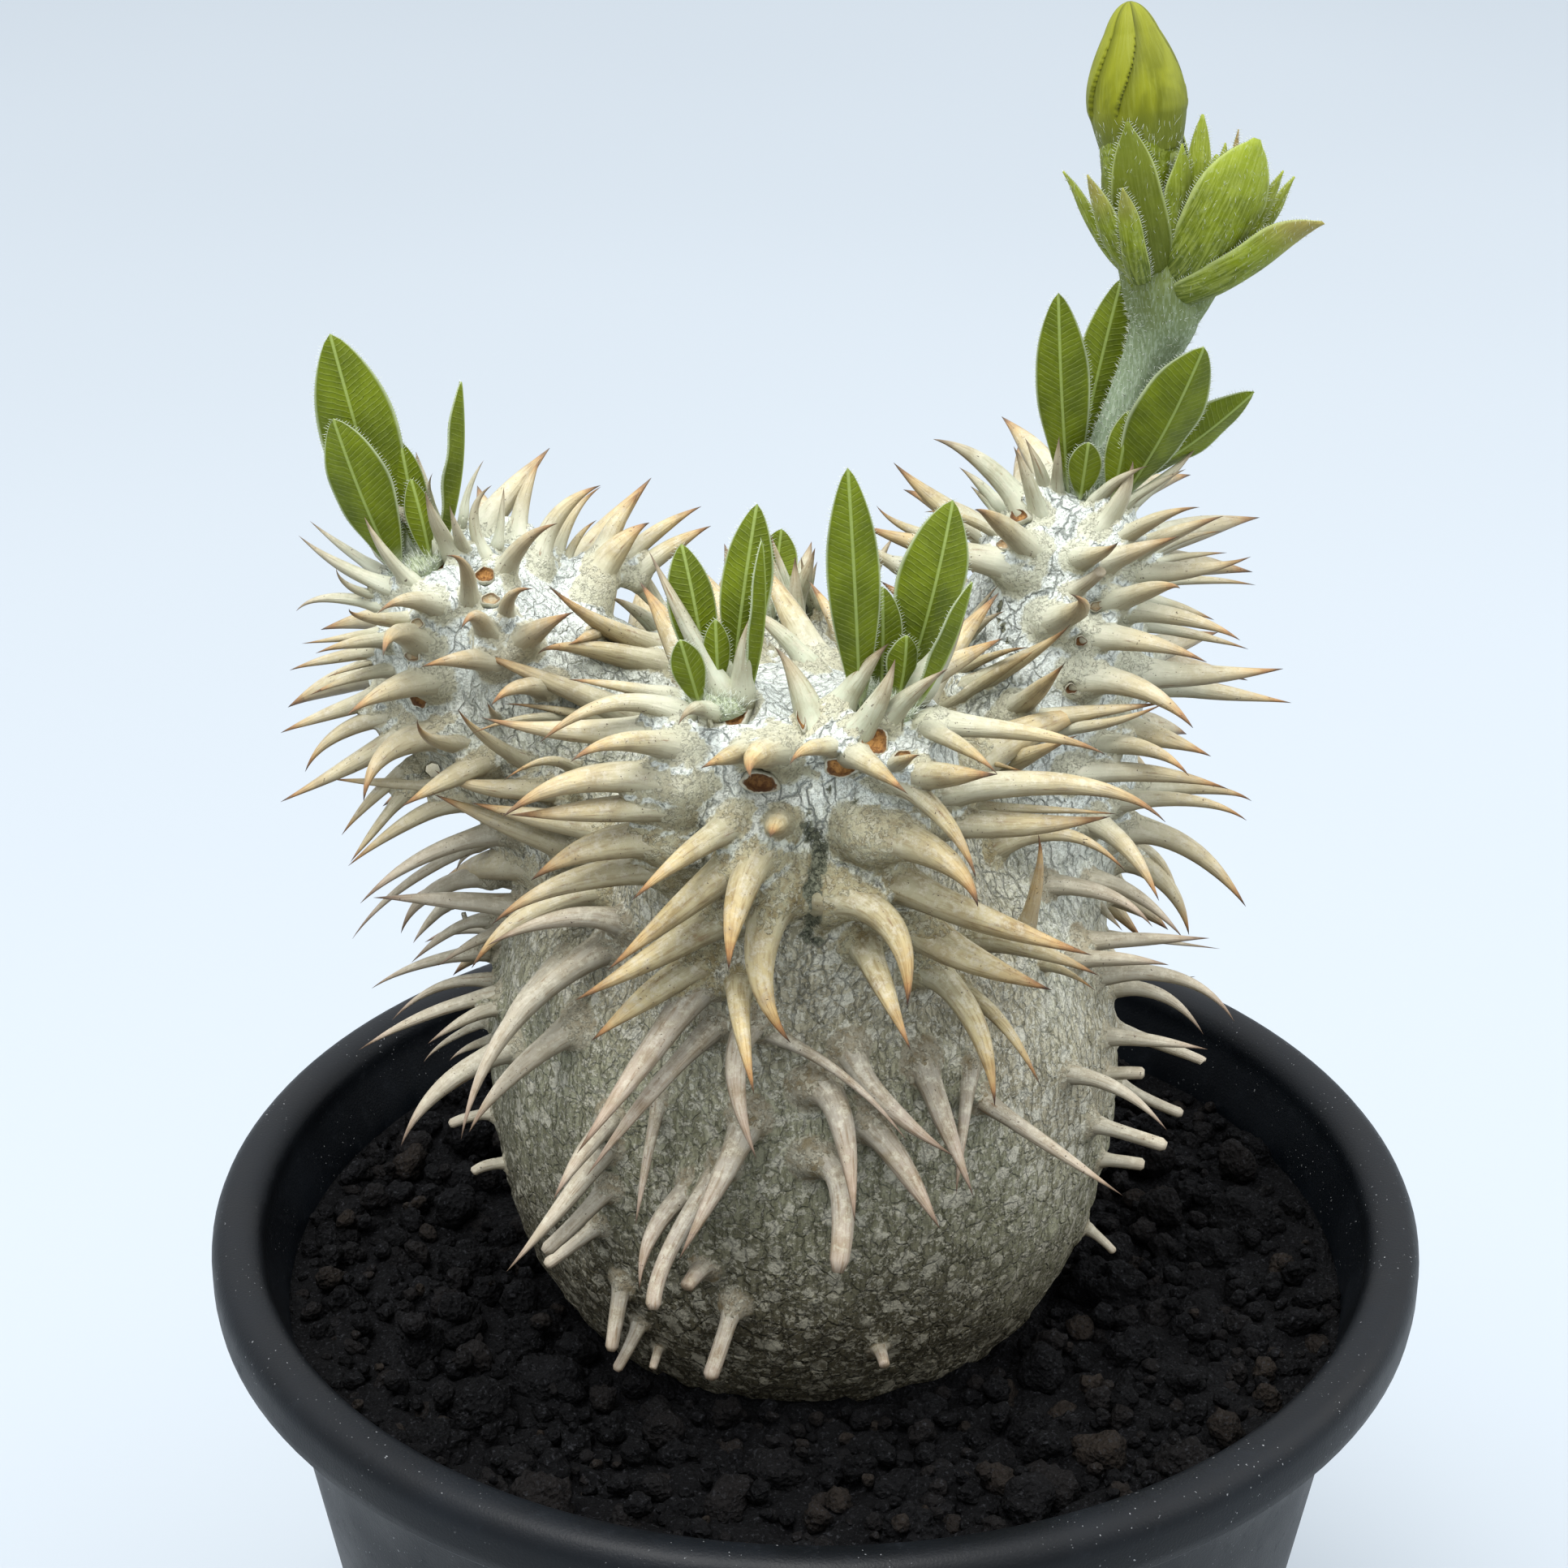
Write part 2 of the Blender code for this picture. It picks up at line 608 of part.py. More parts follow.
def spine_solid(line, radius, blunt, turn):
    """Verts and faces of one spine with three sides, pointed or broken off blunt."""
    directions = tangents(line)
    shares = np.linspace(0, 1, len(line))
    taper = 1 - 0.3 * shares if blunt else 1 - 0.9 * shares**1.4
    ringed = len(line) if blunt else len(line) - 1
    verts, faces = [], []
    for point, direction, share in zip(line[:ringed], directions, taper):
        side, other = across(direction)
        for k in range(SPINE_SIDES):
            angle = turn + math.tau * k / SPINE_SIDES
            verts.append(point + radius * share * (math.cos(angle) * side + math.sin(angle) * other))
    for ring in range(ringed - 1):
        for k in range(SPINE_SIDES):
            a, b = ring * SPINE_SIDES + k, ring * SPINE_SIDES + (k + 1) % SPINE_SIDES
            faces.append((a, b, b + SPINE_SIDES, a + SPINE_SIDES))
    faces.append(tuple(reversed(range(SPINE_SIDES))))
    last = range((ringed - 1) * SPINE_SIDES, ringed * SPINE_SIDES)
    if blunt:
        faces.append(tuple(last))
    else:
        verts.append(line[-1])
        faces += [(a, b, len(verts) - 1) for a, b in zip(last, [*last[1:], last[0]])]
    return verts, faces


def pair_of_spines(place, normal, along, size, droop, spread, broken, rng):
    """Two spines that stand either side of a leaf scar: their lines, root radii and bluntness."""
    length, radius = size
    side = unit(np.cross(along, normal))
    found = []
    for hand in (-1, 1):
        apart = hand * spread * rng.uniform(0.75, 1.25)
        lean = along * rng.uniform(-0.10, 0.12) - UP * droop * rng.uniform(0.7, 1.2)
        direction = unit(normal + apart * side + lean)
        bend = -UP * (0.20 + 1.5 * droop) * rng.uniform(0.6, 1.3) + along * rng.uniform(-0.14, 0.14)
        root = place + hand * side * radius * 1.05 - direction * SPINE_SUNK
        reach = length * rng.uniform(0.82, 1.14) + SPINE_SUNK
        line = spine_line(root, direction, bend, reach, STUB_RINGS if broken else SPINE_RINGS)
        found.append((line, radius * rng.uniform(0.9, 1.08), broken))
    return found


def stem_spines(name, stem, probe, rng):
    """The pairs along one branch, in a spiral from its tip down, wherever the branch's own skin shows."""
    pairs, last, longest, root_radius, limp = SPINE_PAIRS[name]
    phase = rng.uniform(0, math.tau)
    for k in range(pairs):
        part = (k + 0.5) / pairs
        share = last * max(0.0, (part - CAP_SHARE) / (1 - CAP_SHARE))
        tilt = CAP_TILT * max(0.0, 1 - part / CAP_SHARE)
        point, radius, along, slope = stem.at(share)
        level, upright = across(along)
        turn = phase + k * GOLDEN_TURN
        radial = math.cos(turn) * level + math.sin(turn) * upright
        outward = radial * math.cos(tilt) + along * math.sin(tilt)
        normal = unit(outward - along * slope * 0.8 * math.cos(tilt) + along * (0.36 - 0.5 * part))
        age = min(1.0, 0.50 + part * 1.6)
        droop = limp * part * (max(0.0, 0.45 - outward[2]) * 0.45 + 0.20)
        size = (longest * MM * age, root_radius * MM * min(1.0, 0.5 + part * 1.7))
        reach = reach_of(probe, point, outward, radius + PROBE_START)
        shows = reach is not None and BRANCH_REACH[0] * radius < reach < BRANCH_REACH[1] * radius
        place = point + outward * (reach if shows else radius)
        upward = unit(np.cross(outward, np.cross(along, outward)))
        found = pair_of_spines(place, normal, upward, size, droop, SPREAD, False, rng)
        if shows:
            yield place, found


def trunk_spines(probe, rng):
    """The trunk's pairs: dense under the branches, then few and often broken, most of them front left."""
    axis = np.array([TRUNK[0][0], TRUNK[0][1], 0]) * MM
    middle = np.array(TRUNK[6]) * MM
    for k in range(TRUNK_PAIRS):
        share = ((k + 0.5) / TRUNK_PAIRS) ** 0.9
        height = TRUNK_SPINE_TOP + (TRUNK_SPINE_BOTTOM - TRUNK_SPINE_TOP) * share
        turn = k * GOLDEN_TURN + rng.uniform(-0.12, 0.12)
        outward = np.array([math.cos(turn), math.sin(turn), 0])
        towards = 0.5 + 0.5 * float(np.dot(outward[:2], SPARSE_SIDE))
        keep = 1.0 if share < DENSE_SHARE else SPARSE_KEPT + 0.6 * towards**3
        chosen = rng.random()
        broken = rng.random() < 0.06 + 1.2 * max(0.0, share - DENSE_SHARE)
        normal = unit(outward + UP * 0.55 * (height - middle[2]) / middle[3])
        radius = trunk_radius(height)
        length, thick = TRUNK_SPINE
        length *= (1.05 - 0.3 * share) * (STUB_LENGTH if broken else 1.0)
        size = (length * MM, thick * MM * (1.15 if broken else 1.0))
        reach = reach_of(probe, axis + UP * height, outward, radius + PROBE_START)
        shows = reach is not None and TRUNK_REACH[0] < reach - radius < TRUNK_REACH[1]
        place = axis + UP * height + outward * (reach if shows else radius)
        found = pair_of_spines(place, normal, UP, size, 0.26 + 0.2 * share, TRUNK_SPREAD, broken, rng)
        if chosen < keep and shows:
            yield place, found


def points_between(line, count=9):
    """Points spread along a line."""
    places = np.linspace(0, len(line) - 1, count)
    return np.column_stack([np.interp(places, range(len(line)), line[:, k]) for k in range(3)])


def has_room(line, thick, name, stems, leaf_points):
    """True if a spine runs into no other stem, no leaf and not the soil."""
    points = points_between(line)
    others = [stem for key, stem in stems.items() if key != name]
    outer_half = points[len(points) // 2 + 1 :]
    if any(stem.depth(point) > GAP for stem in others for point in outer_half):
        return False
    if points[:, 2].min() < SOIL_LEVEL + SOIL_CLEAR:
        return False
    radii = thick * (1 - 0.85 * np.linspace(0, 1, len(points)))
    away = np.linalg.norm(points[:, None] - leaf_points[None], axis=2) - radii[:, None]
    return away.min() > SPINE_CLEAR


def all_spines(stems, probe, leaf_points):
    """Every spine of the caudex that has room: its line, root radius and whether it is blunt."""
    rng = random.Random(11)
    scars = []
    for name in [*SPINE_PAIRS, "trunk"]:
        pairs = trunk_spines(probe, rng) if name == "trunk" else stem_spines(name, stems[name], probe, rng)
        for place, pair in pairs:
            if any(np.linalg.norm(place - other) < SCAR_SPACING for other in scars):
                continue
            kept = []
            for line, thick, blunt in pair:
                for share in SHORTENED:
                    shorter = line[0] + (line - line[0]) * share
                    if has_room(shorter, thick * math.sqrt(share), name, stems, leaf_points):
                        kept.append((shorter, thick * math.sqrt(share), blunt))
                        break
            if kept:
                scars.append(place)
                yield from kept


# Leaves, stalk and bud


def leaf_width(share):
    """A leaf's width along its length as a share of its greatest width, which lies past the middle."""
    return 0.22 * (1 - share) ** 2 + math.sin(math.pi * min(1.0, share**1.3)) ** 0.75


def blade(foot, tip, width, facing, bow, rows=5, fold=0.30):
    """Verts and faces of a folded blade that arches away from the side that its face looks to."""
    foot, tip = np.asarray(foot), np.asarray(tip)
    length = np.linalg.norm(tip - foot)
    along = unit(tip - foot)
    angle = math.radians(facing)
    look = np.array([math.sin(angle), -math.cos(angle), 0.0])
    side = unit(np.cross(along, look))
    face = np.cross(side, along)
    half = LEAF_THICKNESS / 2
    verts, faces = [], []
    for k in range(rows):
        share = k / (rows - 1)
        spread = width / 2 * max(0.16, leaf_width(share)) if k < rows - 1 else width * 0.06
        centre = foot + (tip - foot) * share + face * bow * length * math.sin(math.pi * share)
        lift = -face * fold * spread
        for rib, back in ((-1, 1), (0, 1), (1, 1), (1, -1), (0, -1), (-1, -1)):
            verts.append(centre + side * rib * spread + lift * abs(rib) + face * half * back)
    for k in range(rows - 1):
        for j in range(6):
            a, b = 6 * k + j, 6 * k + (j + 1) % 6
            faces.append((a, b, b + 6, a + 6))
    for first in (0, 6 * (rows - 1)):
        left = (first, first + 5, first + 4, first + 1)
        right = (first + 1, first + 4, first + 3, first + 2)
        ends = (left, right) if first else (left[::-1], right[::-1])
        faces += ends
    return verts, faces


def close_outward(obj):
    """Turns every face of a closed mesh to point out."""
    mesh = bmesh.new()
    mesh.from_mesh(obj.data)
    bmesh.ops.recalc_face_normals(mesh, faces=mesh.faces)
    mesh.to_mesh(obj.data)
    mesh.free()
    return obj


def head_seat(stem):
    """The place and direction of a head's core: on the stem's domed tip, sunk in its socket."""
    direction = stem.directions[-1]
    lift = stem.radii[-1] * 0.5 - SOCKET_DEPTH - 0.8 * MM
    return stem.points[-1] + direction * lift, direction


def leaf_ends(name, seat):
    """Foot and tip of each leaf of a head, with its width and facing, in metres and degrees."""
    for foot, tip, width, facing in LEAVES[name]:
        yield seat + np.array(foot) * MM, seat + np.array(tip) * MM, width * MM, facing


def young_spines(name, stem):
    """The slim young spines that stand round a head's leaves: their lines and root radii."""
    rng = random.Random(len(name) * 7 + 3)
    seat, direction = head_seat(stem)
    level, upright = across(direction)
    length, radius = YOUNG_SPINE
    for k in range(YOUNG_SPINES):
        turn = math.tau * (k + rng.uniform(-0.25, 0.25)) / YOUNG_SPINES
        outward = math.cos(turn) * level + math.sin(turn) * upright
        lean = rng.uniform(0.45, 0.75)
        leaving = unit(direction + outward * lean)
        root = seat + outward * CORE_RADIUS * 0.62 + direction * 0.9 * MM
        line = spine_line(root, leaving, -outward * 0.2, length * MM * rng.uniform(0.75, 1.15), SPINE_RINGS)
        yield line, radius * MM * rng.uniform(0.85, 1.1)


def leaf_cloud(stems):
    """Points all over the leaf heads and the flower stalk, for keeping spines clear of them."""
    found = []
    for name in LEAF_HEADS:
        seat, direction = head_seat(stems[name])
        core = np.array([seat, seat + direction * CORE_HEIGHT])
        found.append(tube(core, [CORE_RADIUS] * 2, CORE_SIDES, domed=False)[0])
        for foot, tip, width, facing in leaf_ends(name, seat):
            found.append(blade(foot, tip, width, facing, LEAF_BOW, rows=14)[0])
        for line, _ in young_spines(name, stems[name]):
            found.append(points_between(line, 8))
    points, radii = smooth_rows(stalk_rows(stems), 2 * MM)
    found.append(tube(points, radii, STALK_SIDES, domed=False)[0])
    for foot, tip, width, facing in BRACTS:
        found.append(blade(*stalk_ends(stems, foot, tip), width * MM, facing, BRACT_BOW, rows=10)[0])
    return np.vstack([np.array(points) for points in found])


def make_head(name, stems):
    """A woolly core with its leaves and young spines rooted in it."""
    seat, direction = head_seat(stems[name])
    reach = np.array([0.0, 0.45, 0.8, 1.0])
    radii = CORE_RADIUS * np.array([1.0, 0.92, 0.66, 0.36])
    rings = seat + np.outer(reach, direction) * CORE_HEIGHT
    core = new_object(f"leaves_{name}", *tube(rings, radii, CORE_SIDES, domed=False))
    blades = [
        close_outward(new_object("leaf", *blade(foot, tip, width, facing, LEAF_BOW)))
        for foot, tip, width, facing in leaf_ends(name, seat)
    ]
    young = [
        close_outward(new_object("spine", *spine_solid(line, radius, False, 0.3)))
        for line, radius in young_spines(name, stems[name])
    ]
    fuse(close_outward(core), blades + young)
    if name == "right":
        fuse(core, [stalk_clearance(stems)], "DIFFERENCE")
    keep_largest(core)
    return core


def stalk_clearance(stems):
    """The cutter that keeps a head's core and leaves off the flower stalk: its foot, a gap wider."""
    points, radii = smooth_rows(stalk_rows(stems), 2 * MM)
    low = points[:, 2] < points[0][2] + STALK_CLEARED
    points, radii = points[low], radii[low]
    points = np.vstack([points[0] - UP * GAP, points[1:]])
    solid = tube(points, radii + STALK_CLEAR, STALK_SIDES, domed=False)
    return close_outward(new_object("clearance", *solid))


def stems_of_plant():
    """The trunk and every branch."""
    return {"trunk": Stem(TRUNK), **{name: Stem(rows) for name, rows in LIMBS.items()}}


def stalk_foot(stems):
    seat, direction = head_seat(stems["right"])
    return seat + UP * (CORE_HEIGHT - STALK_SEAT)


def stalk_rows(stems):
    """The flower stalk's rows in the plant's place: its foot stands in the right head's core."""
    foot = stalk_foot(stems) / MM
    return [(foot[0] + x, foot[1] + y, foot[2] + z, radius) for x, y, z, radius in STALK]


def stalk_ends(stems, *places):
    """Places given from the stalk's foot, in the plant's place."""
    return [stalk_foot(stems) + np.array(place) * MM for place in places]


def make_stalk(stems):
    """The flower stalk with its sepals, its bracts and the furled side bud that it carries."""
    points, radii = smooth_rows(stalk_rows(stems), STALK_STEP)
    stalk = new_object("flower_stalk", *tube(points, radii, STALK_SIDES, domed=False))
    parts = []
    for foot, tip, width, facing in BRACTS:
        solid = blade(*stalk_ends(stems, foot, tip), width * MM, facing, BRACT_BOW, 4, BRACT_FOLD)
        parts.append(close_outward(new_object("bract", *solid)))
    foot = stalk_foot(stems) / MM
    rows = [(foot[0] + x, foot[1] + y, foot[2] + z, radius) for x, y, z, radius in SIDE_BUD]
    side_bud = tube(*smooth_rows(rows, STALK_STEP), SIDE_BUD_SIDES)
    parts.append(close_outward(new_object("side_bud", *side_bud)))
    fuse(close_outward(stalk), parts)
    keep_largest(stalk)
    return stalk


def bud_radius(share):
    """The flower bud's mean radius from its neck at 0 to its point at 1."""
    swell = BUD_NECK_RADIUS + (BUD_RADIUS - BUD_NECK_RADIUS) * math.sin(math.pi * min(1.0, share / 0.76))
    return swell * math.sqrt(max(0.006, 1 - max(0.0, (share - 0.2) / 0.8) ** 1.5))


def make_bud(top):
    """The furled flower bud: five petals wrapped round each other, on a short tube."""
    axis = unit(BUD_LEAN)
    side, other = across(axis)
    verts, faces = [], []
    for ring in range(BUD_RINGS):
        share = ring / (BUD_RINGS - 1)
        centre = top + UP * GAP + axis * BUD_LENGTH * share
        for k in range(BUD_SIDES):
            turn = math.tau * k / BUD_SIDES
            lobe = 0.07 * math.cos(BUD_LOBES * (turn - BUD_TWIST * share)) * min(1.0, share * 3)
            radius = bud_radius(share) * (1 + lobe)
            verts.append(centre + radius * (math.cos(turn) * side + math.sin(turn) * other))
    for ring in range(BUD_RINGS - 1):
        for k in range(BUD_SIDES):
            a, b = ring * BUD_SIDES + k, ring * BUD_SIDES + (k + 1) % BUD_SIDES
            faces.append((a, b, b + BUD_SIDES, a + BUD_SIDES))
    faces.append(tuple(reversed(range(BUD_SIDES))))
    faces.append(tuple(range((BUD_RINGS - 1) * BUD_SIDES, BUD_RINGS * BUD_SIDES)))
    return close_outward(new_object("flower_bud", verts, faces))


def grow_spines(skin, stems):
    """Fuses every spine into the skin, and cuts a socket under each leaf head."""
    probe = skin_probe(skin)
    leaf_points = leaf_cloud(stems)
    spines = [
        close_outward(new_object("spine", *spine_solid(line, thick, blunt, 0.4 * k)))
        for k, (line, thick, blunt) in enumerate(all_spines(stems, probe, leaf_points))
    ]
    fuse(skin, spines, solver="MANIFOLD")
    sockets = []
    for name in LEAF_HEADS:
        seat, direction = head_seat(stems[name])
        ends = np.array([seat - direction * GAP, seat + direction * SOCKET_CUT])
        solid = tube(ends, [CORE_RADIUS + GAP] * 2, SOCKET_SIDES, domed=False)
        sockets.append(close_outward(new_object("socket", *solid)))
    fuse(skin, sockets, "DIFFERENCE")
    keep_largest(skin)
    return skin


def finish(obj, kind):
    """Shades an object smooth except at its hard edges, and gives it its material."""
    obj.data.shade_smooth()
    obj.data.set_sharp_from_angle(angle=math.radians(50))
    give_material(obj, kind)


def main():
    clear_scene()
    stems = stems_of_plant()
    skin = close_outward(make_skin(stems))
    finish(close_outward(make_pot()), "pot")
    finish(close_outward(make_soil(skin)), "soil")
    finish(grow_spines(skin, stems), "caudex")
    for name in LEAF_HEADS:
        finish(make_head(name, stems), "leaf")
    finish(make_stalk(stems), "stalk")
    finish(make_bud(np.array(stalk_rows(stems)[-1][:3]) * MM), "bud")


main()
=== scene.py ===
"""Looks of the potted pachypodium: bark, spines, leaves, flower, grit and pot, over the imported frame.

Metres, +Z up, -Y is the plant's front. Lengths in the tables below are in millimetres.
"""

import math
import random

import bmesh
import bpy
import numpy as np
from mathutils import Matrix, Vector, noise
from mathutils.bvhtree import BVHTree
from mathutils.kdtree import KDTree


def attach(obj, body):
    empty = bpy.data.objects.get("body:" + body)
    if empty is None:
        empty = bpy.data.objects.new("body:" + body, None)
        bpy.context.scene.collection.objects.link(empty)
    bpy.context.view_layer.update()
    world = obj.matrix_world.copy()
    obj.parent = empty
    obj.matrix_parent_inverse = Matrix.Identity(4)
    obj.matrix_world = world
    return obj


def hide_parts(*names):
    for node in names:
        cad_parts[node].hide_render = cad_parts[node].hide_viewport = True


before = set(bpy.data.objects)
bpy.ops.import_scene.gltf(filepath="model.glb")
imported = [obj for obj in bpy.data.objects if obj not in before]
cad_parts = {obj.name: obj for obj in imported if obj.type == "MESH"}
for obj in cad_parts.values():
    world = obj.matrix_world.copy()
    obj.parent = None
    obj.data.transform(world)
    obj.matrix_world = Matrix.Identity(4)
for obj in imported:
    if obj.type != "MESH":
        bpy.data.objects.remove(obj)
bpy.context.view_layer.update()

MM = 0.001
UP = np.array([0.0, 0.0, 1.0])
GOLDEN_TURN = math.radians(137.508)
PHOTO_SIDE = 1932
FOCAL = 4000  # the camera's focal length in the photograph's pixels
CAMERA_AT = np.array([-3.332, -299.363, 292.440])
CAMERA_TILT = math.pi / 2 - 0.449
CAMERA_AHEAD = np.array([0.0, math.sin(CAMERA_TILT), -math.cos(CAMERA_TILT)])
CAMERA_UP = np.array([0.0, math.cos(CAMERA_TILT), math.sin(CAMERA_TILT)])

# The pot and the grit in it
POT_HEIGHT = 100.0
RIM_RADIUS = 65.0
RIM_WIDTH = 5.6
RIM_BAND = 6.8
WALL_TOP_RADIUS = 59.6
WALL_FOOT_RADIUS = 44.0
WALL = 1.8
FLOOR = 3.4
FOOT_RECESS = 1.6
FOOT_RING_WIDTH = 4.0
DRAIN_RADIUS = 6.0
SMALL_DRAINS = 5
SMALL_DRAIN_RADIUS = 3.0
SMALL_DRAIN_CIRCLE = 24.0
BAND_FOOT = POT_HEIGHT - RIM_BAND
# The lower edge of the rim's band: how far in from the rim's radius, and how far up from the band's foot
BAND_EDGE = [(2.2, 1.2), (2.0, 0.3), (1.4, 0.0), (0.7, 0.25), (0.15, 0.9), (0.0, 2.0)]
# The radii that the rim's edge and the foot's edge are rounded to
RIM_ROLL = 2.6
FOOT_ROUND = 0.9
POT_SIDES = 144
SOIL_LEVEL = 91.5

# The plant's stems: each row is a point on the axis and the stem's radius there
TRUNK = [
    (-1.2, 1, 52, 3.0), (-1.2, 1, 64, 6.5), (-1.2, 1, 74, 14.5), (-1.2, 1, 82, 21.8), (-1.2, 1, 92, 28.0),
    (-1.2, 1, 101, 31.8), (-1.2, 1, 111, 33.4), (-1.2, 1, 122, 33.2), (-1.2, 1, 133, 31.0),
    (-1.2, 1, 142, 25.5), (-1.2, 1, 148, 16.0),
]
LIMBS = {
    "left": [
        (-8, 5, 131, 22.0), (-17.5, 4, 144, 16.5), (-25.5, 1.5, 153.5, 13.2), (-32.5, -1, 162, 10.6),
        (-36.3, -2.4, 168, 8.4), (-38.4, -3, 172.3, 6.6),
    ],
    "front": [
        (-2, -6, 128, 22.0), (-2.5, -12, 141, 19.0), (-2.6, -15.2, 151, 17.0), (-2.2, -17.4, 158, 14.4),
    ],
    "front_left": [
        (-4.5, -17, 151, 12.5), (-7.8, -21.8, 159.5, 9.8), (-9.0, -24.2, 164.8, 7.6),
        (-9.3, -24.9, 167.6, 6.2),
    ],
    "front_right": [
        (0.5, -17, 151, 12.5), (4.2, -21.8, 159.5, 10.0), (5.7, -24.2, 164.4, 7.8),
        (6.1, -24.9, 167.1, 6.4),
    ],
    "right": [
        (9, 5, 130, 21.0), (17.5, 6, 143.5, 16.0), (22.3, 7, 155, 12.2), (24.2, 7.6, 165, 9.4),
        (26.6, 7.9, 172, 7.4), (27.6, 8, 175.4, 6.2),
    ],
    "back": [
        (-2, 10, 129, 21.0), (-3, 16, 139, 16.0), (-4, 20.5, 146, 12.0), (-4.5, 23, 151, 9.0),
        (-4.6, 24, 154.5, 6.4),
    ],
}
# How finely the stems, the skin round them all and the bark over it are made
STEM_SIDES = 22
STEM_STEP = 3.0
SKIN_VOXEL = 1.8
SKIN_SMOOTHING = 14
BARK_VOXEL = 0.70
BARK_SMOOTHING = 5
# The right branch's bark is the palest: where its paleness begins and is full, in x, and what it adds
PALE_FROM = (12, 26)
PALE_SHIFT = (-10, 9)

# Spines: how many pairs a stem carries, how far down its length they go as a share, its longest spine and
# that spine's root radius, and how much they droop
SPINE_PAIRS = {
    "left": (56, 0.90, 15.5, 2.2, 0.5),
    "front": (64, 0.60, 21.0, 2.7, 1.0),
    "front_left": (24, 0.80, 13.5, 1.8, 0.8),
    "front_right": (24, 0.80, 13.5, 1.8, 0.8),
    "right": (60, 0.92, 16.0, 2.2, 0.55),
    "back": (44, 0.90, 15.5, 2.1, 0.6),
}
# How far a pair's spines lean apart on a branch and on the trunk
SPREAD = 0.72
TRUNK_SPREAD = 0.45
# The share of a branch's pairs that stand on its domed tip, and how far they tilt up there
CAP_SHARE = 0.22
CAP_TILT = 0.95
# The trunk's pairs: how many, a spine's length and root radius, and the heights that they run between
TRUNK_PAIRS = 92
TRUNK_SPINE = (15.0, 1.1)
TRUNK_SPINE_TOP = 144
TRUNK_SPINE_BOTTOM = 98
# Past this share of the pairs few are kept, most of them towards one side, and many are broken to stubs
DENSE_SHARE = 0.42
SPARSE_KEPT = 0.10
SPARSE_SIDE = (-0.85, -0.53)
STUB_LENGTH = 0.45
# How deep a root is sunk, how clear of leaves and grit a spine stays, and what it is shortened to for that
SPINE_SUNK = 2.2
SPINE_CLEAR = 0.6
SOIL_CLEAR = 2.5
SHORTENED = (1.0, 0.72)
# The least distance between pairs, and a head's young spines: how many, their length and root radius
SCAR_SPACING = 5.0
YOUNG_SPINES = 5
YOUNG_SPINE = (9.5, 1.05)
# Where the skin counts as a stem's own: between these radii of a branch, and this far off the trunk's
# radius. The look for it starts that far out.
BRANCH_REACH = (0.55, 1.3)
TRUNK_REACH = (-3.5, 7.0)
PROBE_START = 14.0

# The leaf heads
CORE_RADIUS = 3.7
CORE_HEIGHT = 2.9
SOCKET_DEPTH = 1.2
LEAF_THICKNESS = 0.7
LEAF_BOW = 0.05
LEAF_FOLD = 0.30
LEAF_ROWS = 30
LEAF_COLUMNS = 11
VEIN_SLANT = 0.40
VEIN_SPACING = 0.58
BRACT_BOW = 0.11
# A woolly core's radii at shares of its height, both as shares, and the hairs on it
CORE_AT = (0.0, 0.45, 0.8, 1.0)
CORE_RADII = (0.84, 0.74, 0.50, 0.22)
CORE_SHOWN = 0.7
CORE_HAIRS = 1100
